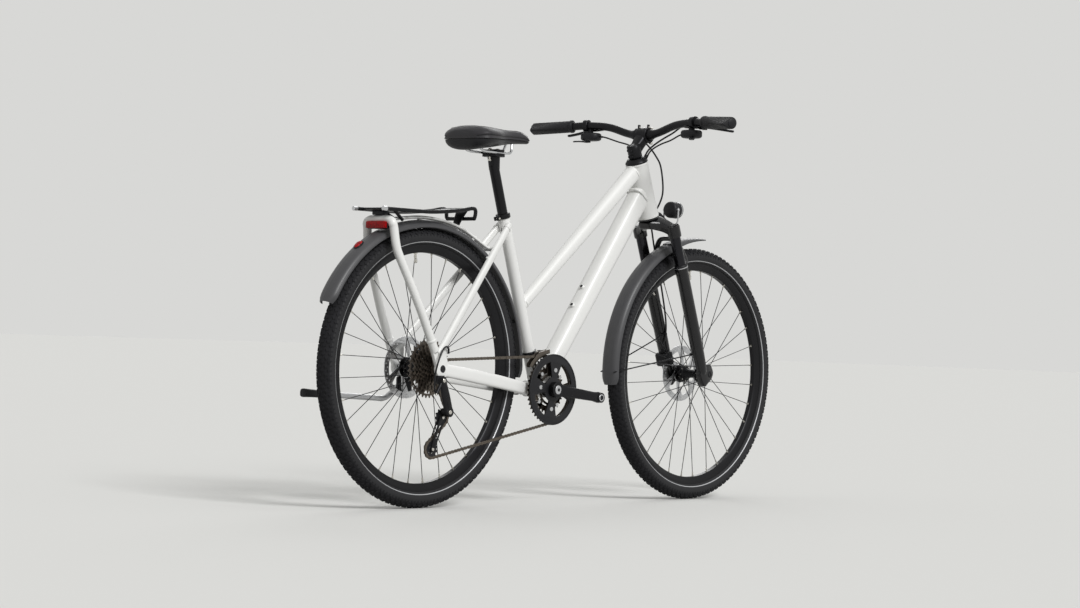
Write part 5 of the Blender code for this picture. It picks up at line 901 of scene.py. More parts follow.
def main_tubes():
    """Head, seat, down and top tube: sweeps whose half sizes grow smoothly toward the head."""
    t = np.linspace(0, 1, 25)
    path = HEAD_TOP + STEER_DOWN * (t * HEAD_LENGTH)[:, None]
    flare = 0.0014 * blend_in(t, 0.55, 1.0) + 0.0008 * blend_in(-t, -0.1, 0.0)
    head = sweep(path, HEAD_RADIUS - 0.0006 + flare, HEAD_RADIUS - 0.0006 + flare, 64, hint=LEFT)
    rims = [turned([(HEAD_RADIUS - 0.001, 0.0), (HEAD_RADIUS + 0.0012, 0.001),
                    (HEAD_RADIUS + 0.0012, 0.005), (HEAD_RADIUS - 0.001, 0.0065)],
                   steer(HEAD_LENGTH - 0.0068), STEER_DOWN, 64, closed=True),
            turned([(HEAD_RADIUS - 0.001, 0.0), (HEAD_RADIUS + 0.0008, 0.001),
                    (HEAD_RADIUS + 0.0008, 0.005), (HEAD_RADIUS - 0.001, 0.0065)], steer(0.0003),
                   STEER_DOWN, 64, closed=True)]
    put("tube_head", [head] + rims, looks("paint"), "frame", ("head_tube",), 40)

    path = BRACKET + SEAT_UP * (t * SEAT_LENGTH)[:, None]
    tube = sweep(path, 0.016, 0.016, 56, hint=LEFT)
    half = 0.035
    shell = turned([(0.018, -half), (0.0218, -half), (0.0225, -half + 0.001), (0.0225, half - 0.001),
                    (0.0218, half), (0.018, half)], BRACKET, LEFT, 64, closed=True)
    cups = [turned([(0.0125, 0.0), (0.0186, 0.0), (0.0186, 0.0004), (0.0125, 0.0004)],
                   BRACKET + LEFT * s * (half - 0.0008), LEFT * s, 48, closed=True, look=1)
            for s in (-1, 1)]
    slit = block(seat(SEAT_LENGTH - 0.0325, -0.0152), (0.0022, 0.0024, 0.02), SEAT_AHEAD, SEAT_UP, look=1)
    welds = [bead(seat(0.0235), SEAT_UP, 0.0162, 0.0162, LEFT, 0.0018)]
    put("tube_seat", [tube, shell, slit] + cups + welds, looks("paint", "plastic"), "frame",
        ("seat_tube",), 40)

    end = steer(0.088)
    low = BRACKET + AHEAD * 0.005 + unit(end - BRACKET) * 0.009
    top = steer(0.088, -0.01395)
    t = np.linspace(0, 1, 41)
    path = low + (top - low) * t[:, None]
    down = sweep(path, 0.025 - 0.002 * blend_in(-t, -0.22, 0.0), 0.0235 + 0.0065 * t, 64, 3.2, hint=UP)
    way = unit(top - low)
    above = unit(np.cross(way, LEFT)) * -1
    above = above if above[2] > 0 else -above
    bosses = []
    for k in (0, 1):
        foot = low + way * (0.255 + 0.064 * k)
        bosses.append(turned([(0.0002, 0.0325), (0.005, 0.0325), (0.0056, 0.0318), (0.006, 0.0275),
                              (0.0002, 0.0275)], foot, above, 32, look=0))
        bosses.append(turned([(0.0002, 0.0347), (0.0026, 0.0347), (0.004, 0.0338), (0.0044, 0.0324),
                              (0.0002, 0.0324)], foot, above, 24, look=1))
    welds = [bead(steer(0.089, -0.026), way, 0.0262, 0.0304, UP, 0.0024, 3.2)]
    put("tube_down", [down] + bosses + welds, looks("paint", "plastic"), "frame",
        ("down_tube",), 40)

    joint, meet = seat(0.2293), steer(0.0216, -0.0248)
    path = joint + (meet - joint) * t[:, None]
    radius = np.interp(t, [0, 0.5, 1], [0.0135, 0.01804, 0.0215])
    tube = sweep(path, radius * (1 - 0.03 * t), radius, 56, 2.8, hint=UP)
    way = unit(meet - joint)
    welds = [bead(joint + way * 0.0172, way, 0.014, 0.0146, UP, 0.0017),
             bead(meet - way * 0.003, way, 0.0212, 0.0222, UP, 0.002)]
    put("tube_top", [tube] + welds, looks("paint"), "frame", ("top_tube",), 40)


def dropout_shape(side):
    """An arc about the axle and the arm up to both stays; on the right a dark hanger plate below it."""
    def arc(x, z, radius, start, end, count):
        """(x + radius cos a, z + radius sin a)."""
        a = np.radians(np.linspace(start, end, count))
        return np.stack([x + radius * np.cos(a), z + radius * np.sin(a)], -1)

    place = from_rear(0.0, side * DROPOUT_SIDE, 0.0)
    lower = arc(0, 0, 0.023, 165, 380, 30)
    upper = smooth_path([(0.0165, 0.022, 0), (0.0135, 0.031, 0), (0.0145, 0.041, 0), (0.0125, 0.052, 0),
                         (-0.004, 0.058, 0), (-0.018, 0.051, 0), (-0.032, 0.057, 0), (-0.04, 0.047, 0)],
                        36)[:, :2]
    parts = [sheet([np.vstack([lower, upper])], 0.01, place, -LEFT, AHEAD, 0.0012)]
    if side < 0:
        lug = np.vstack([arc(-0.0065, -0.029, 0.0105, 180, 360, 19), [(0.008, -0.0165), (-0.015, -0.0165)]])
        parts.append(sheet([lug], 0.0106, place, -LEFT, AHEAD, 0.0008, 1))
    return parts


def rear_triangle():
    """Chainstays, seatstays with their bridge, and dropouts with the axle's ends."""
    for name, side in (("right", -1), ("left", 1)):
        knots = [from_rear(0.014, side * (DROPOUT_SIDE - 0.0005), -0.003),
                 from_rear(0.1, side * 0.069, -0.0132), from_rear(0.24, side * 0.052, -0.03),
                 from_rear(0.33, side * 0.0395, -0.042), from_rear(0.375, side * 0.0325, -0.047),
                 BRACKET + np.array([-0.009, side * 0.025, 0.0])]
        t = np.linspace(0, 5, 41)
        path = smooth_path(knots, 41)
        wide = np.interp(t, range(6), [0.0064, 0.0085, 0.0085, 0.0085, 0.0072, 0.0085])
        high = np.interp(t, range(6), [0.0165, 0.017, 0.0173, 0.0163, 0.0153, 0.0153])
        stay = sweep(path, wide, high, 48, 3.6, hint=UP, dome=0.004)
        parts = [stay] + dropout_shape(side)
        outer = side * (DROPOUT_SIDE + 0.005)
        parts.append(turned([(0.0002, 0.0006), (0.0092, 0.0006), (0.01, -0.0002), (0.01, -0.004),
                             (0.0002, -0.004)], from_rear(0, outer, 0), LEFT * side, 48, look=1))
        parts.append(turned([(0.003, -0.003), (0.003, 0.0012), (0.0066, 0.0015), (0.0078, 0.0009),
                             (0.0082, -0.003)], from_rear(0, outer, 0), LEFT * side, 36, closed=True,
                            look=1))
        parts.append(bead(path[-3], directions(path)[-3], 0.0088, 0.0158, UP, 0.0016, 3.4))
        put("stay_chain_" + name, parts, looks("paint", "plastic"), "frame",
            ("chainstay_" + name,), 40)
    parts = []
    for side in (-1, 1):
        low = from_rear(-0.0035, side * (DROPOUT_SIDE + 0.0005), 0.05)
        high = seat(SEAT_LENGTH - 0.018, 0.0, side * 0.0165)
        t = np.linspace(-0.04, 1.0, 33)
        path = low + (high - low) * t[:, None]
        size = np.interp(t, [-0.04, 0.2, 0.75, 1.0], [0.95, 1.0, 1.0, 0.9])
        parts.append(sweep(path, 0.0075 * size, 0.0105 * size, 40, 2.6, hint=UP, dome=0.003))
        parts.append(bead(path[-2], directions(path)[-2], 0.0074, 0.01, UP, 0.0014, 2.4))
        middle = low + (high - low) * 0.7
        out = unit(np.cross(directions(path)[16], LEFT))
        if side < 0:
            parts.append(turned([(0.0002, 0.0142), (0.003, 0.0142), (0.0036, 0.0136), (0.0036, 0.0086),
                                 (0.0002, 0.0086)], middle, out if out[0] < 0 else -out, 20, look=0))
    a, b = (from_rear(-0.0035, s * (DROPOUT_SIDE + 0.0005), 0.05) * 0.2
            + seat(SEAT_LENGTH - 0.018, 0.0, s * 0.0165) * 0.8 for s in (-1, 1))
    parts.append(rod(a, b, 0.0065, 28))
    put("stay_seat", parts, looks("paint"), "frame", ("seatstays",), 40)


# Carrier and mudguards

def hoop_knots(side):
    """The hoop's leg from its dropout to the middle of its top."""
    x, z = -HOOP_REACH, HOOP_RISE
    return [from_rear(-0.027, side * (DROPOUT_SIDE + 0.0005), 0.044),
            from_rear(-0.072, side * 0.0715, 0.1348), from_rear(-0.11, side * 0.0625, 0.212),
            from_rear(-0.144, side * 0.053, 0.28), from_rear(-0.154, side * 0.05, 0.308),
            from_rear(x + 0.0035, side * 0.0465, z - 0.02), from_rear(x + 0.0005, side * 0.0455, z - 0.011),
            from_rear(x, side * 0.0425, z - 0.005), from_rear(x, side * 0.0325, z)]


def spine_knots():
    """The flat painted spine over the mudguard, from the hoop to the seatstays' bridge."""
    return [from_rear(x, 0.0, z) for x, z in (
        (-0.158, 0.371), (-0.091, 0.378), (-0.018, 0.3845), (0.056, 0.38), (0.125, 0.366), (0.172, 0.347),
        (0.224, 0.3225), (0.2385, 0.318))]


def make_hoop():
    """The hoop: a round tube carried along the legs and over the top; the spine is a flat oval bar."""
    right = smooth_path(hoop_knots(-1), 57)
    left = smooth_path(hoop_knots(1), 57)[::-1]
    path = np.vstack([right, (right[-1] + left[0])[None] / 2, left])
    parts = [sweep(path, 0.011, 0.011, 32, frames=rolling(path), dome=0.003)]
    spine = smooth_path(spine_knots(), 61)
    parts.append(sweep(spine, 0.011, 0.0042, 32, 3.0, hint=UP, dome=0.002))
    for degrees in (62.0, 93.0):
        a = math.radians(degrees)
        out = np.array([math.cos(a), 0.0, math.sin(a)])
        foot = REAR_AXLE + out * (GUARD_RADIUS + 0.0003)
        parts.append(rod(foot, foot + out * 0.009, 0.007, 28, chamfer=0.0006))
        parts.append(rod(foot - out * 0.0032, foot + out * 0.0002, 0.0052, 24, look=1, chamfer=0.0008))
    parts.append(bead(right[2], directions(right)[2], 0.0112, 0.0112, UP, 0.0018))
    parts.append(bead(left[-3], directions(left)[-3], 0.0112, 0.0112, UP, 0.0018))
    put("hoop", parts, looks("paint", "plastic"), "frame", ("carrier_hoop",), 40)


def guard_shape(axle, start, end, radius, growth, flat_start=1.0, steps=96, extra=0.0):
    """Arch section r = crown - lip (1 - (1 - |x|^2.6)^(1/2)), 2 mm thick, turned round the axle.

    The crown grows past 100 degrees; the lip starts as a share and is full 25 degrees on. Both edges are
    rolled, and a low rib runs along the middle.
    """
    a = np.linspace(start, end, steps)
    past = np.clip((a - 100.0) / (end - 100.0), 0.0, None) if end > 100 else np.zeros(steps)
    crown = radius + growth * past
    lip = 0.018 * (flat_start + (1 - flat_start) * np.clip((a - start) / 25.0, 0, 1))
    ends = np.minimum(a - start, end - a)
    pinch = 1 - 0.32 * (1 - np.clip(ends / 4.5, 0, 1)) ** 2.5
    x = np.sin(np.linspace(-np.pi / 2, np.pi / 2, 41))
    fall = 1 - np.sqrt(np.clip(1 - np.abs(x) ** 2.6, 0, 1))
    rib = 0.0006 * np.exp(-(x / 0.07) ** 2) + extra
    outer = crown[:, None] - lip[:, None] * fall + rib
    inner = crown[:, None] - lip[:, None] * fall[::-1] - 0.002
    rolled = 0.0275 + 0.0006 * (np.abs(x) > 0.985)
    r = np.hstack([outer, inner])
    y = np.hstack([x * rolled, (x * 0.0257)[::-1]]) * pinch[:, None]
    turn = np.radians(a)[:, None]
    points = axle + np.stack([r * np.cos(turn), np.broadcast_to(y, r.shape), r * np.sin(turn)], -1)
    return grid(points)


def make_guards():
    """Both mudguards, their wire stays, bolts and the oval rear reflector."""
    rear = [guard_shape(REAR_AXLE, -3.0, 155.7, GUARD_RADIUS, 0.012)]
    a = math.radians(128.0)
    out = np.array([math.cos(a), 0.0, math.sin(a)])
    along = np.array([-math.sin(a), 0.0, math.cos(a)])
    for degrees in (20.0, 62.0, 93.0):
        b = math.radians(degrees)
        way = np.array([math.cos(b), 0.0, math.sin(b)])
        rear.append(rod(REAR_AXLE + way * (GUARD_RADIUS - 0.005), REAR_AXLE + way * (GUARD_RADIUS - 0.0015),
                        0.005, 20, look=1, chamfer=0.0008))
    put("guard_rear", rear, looks("guard", "plastic"), "frame", ("rear_mudguard",), 40)
    middle = REAR_AXLE + out * (GUARD_RADIUS + 0.012 * 28.0 / 55.7)
    t = np.linspace(-0.0006, 0.007, 8)
    size = np.sqrt(np.clip(1 - (np.maximum(t - 0.003, 0) / 0.0043) ** 2, 0.02, 1))
    c, s = oval(48, 2.2)
    dome = (middle + out * t[:, None, None] + along * (size[:, None] * c * 0.0142)[..., None]
            + LEFT * (size[:, None] * s * 0.0088)[..., None])
    rim_t = np.array([-0.0012, 0.0022, 0.0034, 0.0034, -0.0012])
    rim_k = np.array([1.0, 1.0, 0.96, 0.88, 0.88])
    rim = (middle + out * rim_t[:, None, None] + along * (rim_k[:, None] * c * 0.0162)[..., None]
           + LEFT * (rim_k[:, None] * s * 0.0102)[..., None])
    put("reflector", [grid(dome), grid(rim, loop=True, look=1)], looks("red", "plastic"), "frame",
        ("rear_reflector",), 40)

    radius = GUARD_RADIUS + 0.01
    front = [guard_shape(FRONT_AXLE, 86.0, 185.5, radius, -0.014, 0.2, 72)]
    root = FRONT_AXLE + np.array([-1.0, 0.0, 0.0]) * (radius - 0.015)
    for side, above in ((-1, 0.07), (1, 0.13)):
        foot = steer(HEAD_TO_AXLE - above, FORK_AHEAD - 0.006, side * (SPREAD - 0.0195))
        start = root + LEFT * side * 0.0232
        bent = start + (foot - start) * 0.08 + LEFT * side * 0.0006
        wire = smooth_path([start, bent, start + (foot - start) * 0.5, foot - (foot - start) * 0.06, foot],
                           25)
        front.append(sweep(wire, 0.0019, 0.0019, 12, frames=rolling(wire), look=1))
        front.append(rod(foot - LEFT * side * 0.006, foot + LEFT * side * 0.002, 0.0042, 16, look=1,
                         chamfer=0.0006))
    crown = FRONT_AXLE + np.array([math.cos(math.radians(108)), 0,
                                   math.sin(math.radians(108))]) * (radius - 0.002)
    front.append(block(crown, (0.03, 0.03, 0.0046), np.array([0.95, 0.0, 0.31]),
                       np.array([-0.31, 0.0, 0.95]), look=2))
    put("guard_front", front, looks("guard", "spoke", "plastic"), "fork_slider",
        ("front_mudguard",), 40)


def deck_point(t, side):
    """The deck's height over the hoop: HOOP_RISE + 26 mm + 18 mm ((t - 0.45) / 0.55)^1.5."""
    rise = 0.018 * max(0.0, (t - 0.45) / 0.55) ** 1.5
    return from_rear(-0.204 + 0.336 * t, side, HOOP_RISE + 0.026 + rise)


def make_deck():
    """Carrier deck: two round rails joined by a lip, cross bars, a slotted middle plate and its struts."""
    half = 0.052
    rail = [deck_point(i / 6, 0.0) for i in range(7)]
    lip = UP * 0.026
    side = [p + LEFT * half for p in rail[:-1]]
    front = [deck_point(0.99, half), deck_point(1.006, half - 0.0032) - lip * 0.9,
             deck_point(1.01, half - 0.016) - lip]
    back = [p * np.array([1, -1, 1]) for p in reversed(front)]
    route = side + front + back + [p - LEFT * half for p in reversed(rail[:-1])]
    path = smooth_path(route, 141)
    parts = [sweep(path, 0.005, 0.005, 24, frames=rolling(path), dome=0.003)]
    for hand in (-1, 1):
        tip = deck_point(0.0, hand * half)
        parts.append(rod(tip - AHEAD * 0.0042, tip + AHEAD * 0.01, 0.0058, 24, look=1, chamfer=0.0012))
    t = np.linspace(0.055, 0.985, 33)
    plank = np.array([deck_point(v, 0.0) for v in t])
    for offset, wide in ((-0.0205, 0.009), (0.0, 0.009), (0.0205, 0.009)):
        parts.append(sweep(plank + LEFT * offset, wide, 0.0029, 24, 5.0, hint=UP, dome=0.001))
    for v in (0.09, 0.36, 0.64, 0.93):
        parts.append(rod(deck_point(v, -half), deck_point(v, half), 0.0042, 20))
    parts.append(sweep(np.array([deck_point(0.07, -0.027), deck_point(0.07, 0.0), deck_point(0.07, 0.027)]),
                       0.008, 0.0028, 24, 5.0, hint=UP, dome=0.001))
    parts.append(block(from_rear(-HOOP_REACH, 0.0, HOOP_RISE + 0.0185), (0.022, 0.04, 0.015), power=8))
    strut = smooth_path([from_rear(0.14, 0.0, 0.412), from_rear(0.1275, 0.0, 0.392),
                         from_rear(0.116, 0.0, 0.369)], 17)
    parts.append(sweep(strut, np.linspace(0.02, 0.01, 17), 0.003, 24, 4.0, hint=AHEAD, dome=0.001))
    for hand in (-1, 1):
        high, low = from_rear(-0.142, hand * 0.022, 0.4), from_rear(-0.095, hand * 0.012, 0.3735)
        path = smooth_path([high, (high * 2 + low) / 3, (high + low * 2) / 3, low], 17)
        parts.append(sweep(path, 0.0042, 0.0042, 20, hint=LEFT, look=0, dome=0.001))
    put("deck", parts, looks("anodised", "silver"), "frame", ("carrier_deck",), 40)


def make_rear_lamp():
    """Rear lamp: a rounded red bar in a black housing below the hoop's top."""
    middle = from_rear(-HOOP_REACH - 0.0085, 0.0, HOOP_RISE - 0.0135)
    housing = block(middle + AHEAD * 0.0042, (0.0116, 0.074, 0.0208), power=7, look=1)
    lens = block(middle - AHEAD * 0.0022, (0.016, 0.072, 0.019), power=6)
    rib = block(middle - AHEAD * 0.007, (0.007, 0.069, 0.0024), power=5, look=0)
    put("lamp_rear", [housing, lens, rib], looks("red", "plastic"), "frame", ("rear_light",),
        40)


# Fork and brakes

def make_fork_top():
    """Crown, steerer and both polished tubes: a lofted superellipse block over the two sleeves."""
    top = HEAD_LENGTH + 0.006
    parts = [rod(steer(top + 0.013), steer(-0.046), 0.0143, 40),
             turned([(0.0143, 0.0003), (0.03, 0.0003), (0.0312, 0.0015), (0.0312, 0.0048),
                     (0.0143, 0.0062)], steer(HEAD_LENGTH), STEER_DOWN, 56, closed=True, look=0)]
    knots = np.array([(-SPREAD, FORK_AHEAD, 0.015, 0.018, 0.028),
                      (-SPREAD * 0.6, FORK_AHEAD * 0.75, 0.016, 0.0195, 0.01),
                      (-0.02, 0.008, 0.014, 0.03, 0.0), (0.02, 0.008, 0.014, 0.03, 0.0),
                      (SPREAD * 0.6, FORK_AHEAD * 0.75, 0.016, 0.0195, 0.01),
                      (SPREAD, FORK_AHEAD, 0.015, 0.018, 0.028)])
    t = np.linspace(0, 5, 61)
    side, shift, high, long, drop = (np.interp(t, range(6), knots[:, k]) for k in range(5))
    kernel = np.hanning(9) / np.hanning(9).sum()
    shift, high, long, drop = (np.convolve(np.pad(v, 4, mode="edge"), kernel, "valid")
                               for v in (shift, high, long, drop))
    centre = HEAD_TOP + STEER_DOWN * (top + drop
                                      + high)[:, None] + STEER_AHEAD * shift[:, None] + LEFT * side[:, None]
    c, s = oval(40, 3.2)
    points = (centre[:, None] + STEER_AHEAD * (long[:, None] * c)[..., None]
              + STEER_DOWN * (high[:, None] * s)[..., None])
    parts.append(grid(points, look=0))
    for hand in (-SPREAD, SPREAD):
        socket = steer(top + 0.028, FORK_AHEAD, hand)
        parts.append(turned([(0.015, 0.0), (0.0172, 0.0), (0.019, 0.0016), (0.0192, 0.028),
                             (0.0186, 0.0335), (0.0172, 0.034), (0.015, 0.034)], socket, STEER_DOWN, 48,
                            closed=True, look=0))
        parts.append(turned([(0.0002, -0.0012), (0.0105, -0.0012), (0.0118, 0.0002), (0.0118, 0.004),
                             (0.0002, 0.004)], socket, STEER_DOWN, 32, look=2))
        parts.append(rod(steer(top + 0.055, FORK_AHEAD, hand), steer(SEAL_DOWN + 0.11, FORK_AHEAD, hand),
                         0.015, 48, look=1))
    put("fork_top", parts, looks("lacquer", "stanchion", "anodised"), "steering_assembly",
        ("fork_crown",), 40)


def make_fork_legs():
    """Lower legs turned to a profile, wiper seals, cast feet with the axle's ends, and the arch."""
    parts = []
    foot_down = HEAD_TO_AXLE - 0.012
    for hand in (-1, 1):
        base = steer(0.0, FORK_AHEAD, hand * SPREAD)
        profile = [(0.0156, SEAL_DOWN), (0.018, SEAL_DOWN), (0.0193, SEAL_DOWN + 0.0015),
                   (0.0193, SEAL_DOWN + 0.013), (0.0186, SEAL_DOWN + 0.0155), (0.0178, SEAL_DOWN + 0.02),
                   (0.0177, SEAL_DOWN + 0.09), (0.0175, foot_down - 0.1), (0.0168, foot_down - 0.055),
                   (0.0158, foot_down - 0.02), (0.0146, foot_down - 0.004), (0.0105, foot_down + 0.004),
                   (0.0035, foot_down + 0.0065)]
        inner = [(0.0035, foot_down - 0.004), (0.0156, foot_down - 0.1)]
        parts.append(turned(profile + inner, base, STEER_DOWN, 56, closed=True, look=0))
        parts.append(turned([(0.0151, -0.0045), (0.0166, -0.0045), (0.0178, -0.003), (0.0182, 0.0004),
                             (0.0151, 0.0004)], steer(SEAL_DOWN, FORK_AHEAD, hand * SPREAD), STEER_DOWN, 48,
                            closed=True, look=1))
        parts.append(turned([(0.019, 0.0012), (0.01975, 0.0016), (0.01975, 0.0036), (0.019, 0.004)],
                            steer(SEAL_DOWN, FORK_AHEAD, hand * SPREAD), STEER_DOWN, 56, closed=True,
                            look=2))
        parts.append(turned([(0.0002, 0.0115), (0.005, 0.0115), (0.006, 0.0105), (0.006, 0.002),
                             (0.0002, 0.002)], steer(foot_down - 0.001, FORK_AHEAD, hand * SPREAD),
                            STEER_DOWN, 6, look=3))
        knots = [(-0.036, -0.008), (-0.03, -0.019), (-0.024, -0.024), (-0.012, -0.026), (0.0, -0.026),
                 (0.014, -0.022), (0.02, -0.01), (0.0215, 0.0), (0.02, 0.01), (0.008, 0.022),
                 (-0.01, 0.028), (-0.028, 0.03)]
        outline = smooth_path([(x, y, 0) for x, y in knots + knots[:1]], 72)[:-1, :2]
        inside, outside = 0.05, SPREAD + 0.0085
        place = steer(HEAD_TO_AXLE - 0.006, 0.045, hand * (inside + outside) / 2)
        parts.append(sheet([outline], outside - inside, place, LEFT, STEER_AHEAD, 0.0024, 0))
        outer = FRONT_AXLE + LEFT * hand * outside
        parts.append(turned([(0.0032, -0.004), (0.0032, 0.0006), (0.0075, 0.0012), (0.0092, 0.0002),
                             (0.0094, -0.004)], outer, LEFT * hand, 40, closed=True, look=3))
    out = FORK_AHEAD + 0.035
    reach = SPREAD - 0.006
    knots = [(SEAL_DOWN + 0.01, FORK_AHEAD + 0.014, reach), (SEAL_DOWN - 0.006, out - 0.006, reach),
             (SEAL_DOWN - 0.04, out, reach - 0.012), (SEAL_DOWN - 0.066, out, 0.024),
             (SEAL_DOWN - 0.071, out, 0.0)]
    route = [steer(*k) for k in knots] + [steer(k[0], k[1], -k[2]) for k in reversed(knots[:-1])]
    path = smooth_path(route, 81)
    t = np.abs(np.linspace(-1, 1, 81))
    parts.append(sweep(path, 0.0066 + 0.0028 * t ** 2, 0.0072, 32, 2.6, frames=rolling(path), look=0,
                       dome=0.003))
    put("fork_legs", parts, looks("lacquer", "plastic", "silver", "anodised"), "fork_slider",
        ("fork_lowers",), 40)


def caliper_shape(middle, size, x_way, z_way, inward):
    """Two rounded body halves over a slot, a bridge, pistons' caps and a bolt head on each of two mount
    feet.
    """
    z = unit(z_way)
    x = unit(np.asarray(x_way) - z * np.dot(x_way, z))
    parts = []
    for s, wide in ((-1, 0.36), (1, 0.52)):
        centre = middle + LEFT * s * size[1] * (0.5 - wide / 2) * 1.0
        parts.append(block(centre, (size[0], size[1] * wide, size[2]), x, z, 4.5))
    parts.append(block(middle + inward * size[0] * 0.3, (size[0] * 0.38, size[1] * 0.96, size[2] * 0.9), x,
                       z, 5))
    parts.append(turned([(0.0002, 0.0022), (0.0088, 0.0022), (0.0102, 0.001), (0.0104, -0.003),
                         (0.0002, -0.003)], middle + LEFT * size[1] * 0.5, LEFT, 40, look=1))
    for v in (-0.36, 0.36):
        foot = middle + z * size[2] * v + LEFT * size[1] * 0.48 + x * size[0] * 0.28
        parts.append(turned([(0.0002, 0.003), (0.003, 0.003), (0.0038, 0.002), (0.0038, -0.002),
                             (0.0002, -0.002)], foot, LEFT, 24, look=1))
    return parts, x, z


def make_calipers():
    """Front and rear brake calipers round their rotors."""
    a = math.radians(148)
    middle = FRONT_AXLE + np.array([math.cos(a), 0.0, math.sin(a)]) * 0.076
    middle[1] = 0.046
    parts, x, z = caliper_shape(middle, (0.036, 0.044, 0.04), STEER_AHEAD, STEER_DOWN, -STEER_AHEAD)
    parts.append(rod(middle - z * 0.03 - x * 0.002, middle + z * 0.028 - x * 0.002, 0.0062, 24,
                     chamfer=0.001))
    parts.append(block(middle + UP * 0.014 + AHEAD * 0.016 + LEFT * 0.01, (0.018, 0.004, 0.018), power=4,
                       look=2))
    put("caliper_front", parts, looks("anodised", "nickel", "silver"), "fork_slider",
        ("front_caliper",), 40)
    a = math.radians(33)
    middle = REAR_AXLE + np.array([math.cos(a), 0.0, math.sin(a)]) * 0.082
    middle[1] = 0.056
    parts, x, z = caliper_shape(middle, (0.044, 0.037, 0.033), AHEAD, np.array([-0.1, 0.0, 1.0]), AHEAD)
    for ahead in (-0.013, 0.013):
        foot = middle + np.array([ahead, 0.0125, 0.0])
        parts.append(rod(foot, foot - UP * 0.044, 0.0055, 24, chamfer=0.0006))
    put("caliper_rear", parts, looks("anodised", "nickel", "silver"), "frame",
        ("rear_caliper",), 40)


def make_head_lamp():
    """Head lamp: a turned shell with a bright rim, a chrome bowl and a clear lens, in its silver yoke."""
    back = np.array([0.437, 0.0, 0.82])
    shell = [(0.0216, 0.0378), (0.0229, 0.0376), (0.0235, 0.0366), (0.0233, 0.03), (0.0235, 0.01),
             (0.0231, 0.0055), (0.0215, 0.0022), (0.018, 0.0006), (0.001, 0.0002)]
    inside = [(0.001, 0.006), (0.012, 0.01), (0.018, 0.018), (0.0212, 0.032)]
    parts = [turned(shell + inside, back, AHEAD, 64, closed=True, look=0, hint=UP),
             turned([(0.0003, 0.011), (0.012, 0.0135), (0.018, 0.0205), (0.0208, 0.0335), (0.0204, 0.0335),
                     (0.0176, 0.021), (0.0118, 0.014), (0.0003, 0.0116)], back, AHEAD, 64, closed=True,
                    look=1, hint=UP), turned([(0.0003, 0.0373), (0.011, 0.0372), (0.019, 0.0366),
                                              (0.0212, 0.036), (0.0212, 0.0345), (0.0003, 0.035)], back,
                                             AHEAD, 64, look=2, hint=UP),
             turned([(0.0231, 0.031), (0.0239, 0.0314), (0.0239, 0.0338), (0.0231, 0.0343)], back, AHEAD,
                    64, closed=True, look=3, hint=UP)]
    top = HEAD_LENGTH + 0.006
    face = 0.037
    parts.append(block(steer(top + 0.0075, face + 0.002), (0.004, 0.024, 0.015), STEER_AHEAD, STEER_DOWN,
                       look=0))
    bracket = smooth_path([steer(top + 0.003, face + 0.002), steer(top + 0.004, face + 0.016),
                           np.array([0.418, 0.0, 0.79]), np.array([0.447, 0.0, 0.775])], 25)
    parts.append(sweep(bracket, 0.006, 0.0016, 20, 4.0, hint=LEFT, look=0, dome=0.0006))
    side = [(0.448, 0.0258, 0.8245), (0.448, 0.0258, 0.8), (0.4474, 0.0235, 0.785), (0.4466, 0.015, 0.7765)]
    yoke = smooth_path([(x, -y, z) for x, y, z in side] + [(0.4464, 0.0, 0.775)] + side[::-1], 61)
    parts.append(sweep(yoke, 0.0009, 0.003, 16, 4.0, hint=AHEAD, look=3, dome=0.0004))
    for hand in (-1, 1):
        bolt = np.array([0.448, hand * 0.0225, 0.82])
        parts.append(rod(bolt, bolt + LEFT * hand * 0.0052, 0.004, 20, look=3, chamfer=0.0006))
    put("lamp_head", parts, looks("plastic", "chrome", "lens", "silver"), "steering_assembly",
        ("headlight",), 40)


# Cockpit

def bar_points(side):
    """The handlebar's axis at each distance to the left of the middle: logistic rise, power sweep."""
    side = np.asarray(side, float)
    reach = np.abs(side)
    rise = 0.0315 * (1.0 / (1.0 + np.exp((0.082 - reach) / 0.024)) - 1.0 / (1.0 + math.exp(0.082 / 0.024)))
    fall = 0.06 * np.maximum(0.0, reach - 0.2)
    swept = 0.062 * (reach / BAR_HALF) ** 1.9
    x = steer(-0.061)[0] + 0.048 - swept
    z = HEAD_TOP[2] + 0.0785 + rise - fall
    return np.stack([x, side, z], -1)


def bar_way(side):
    """The bar's unit direction toward the left."""
    return unit(bar_points(side + 0.002) - bar_points(side - 0.002))


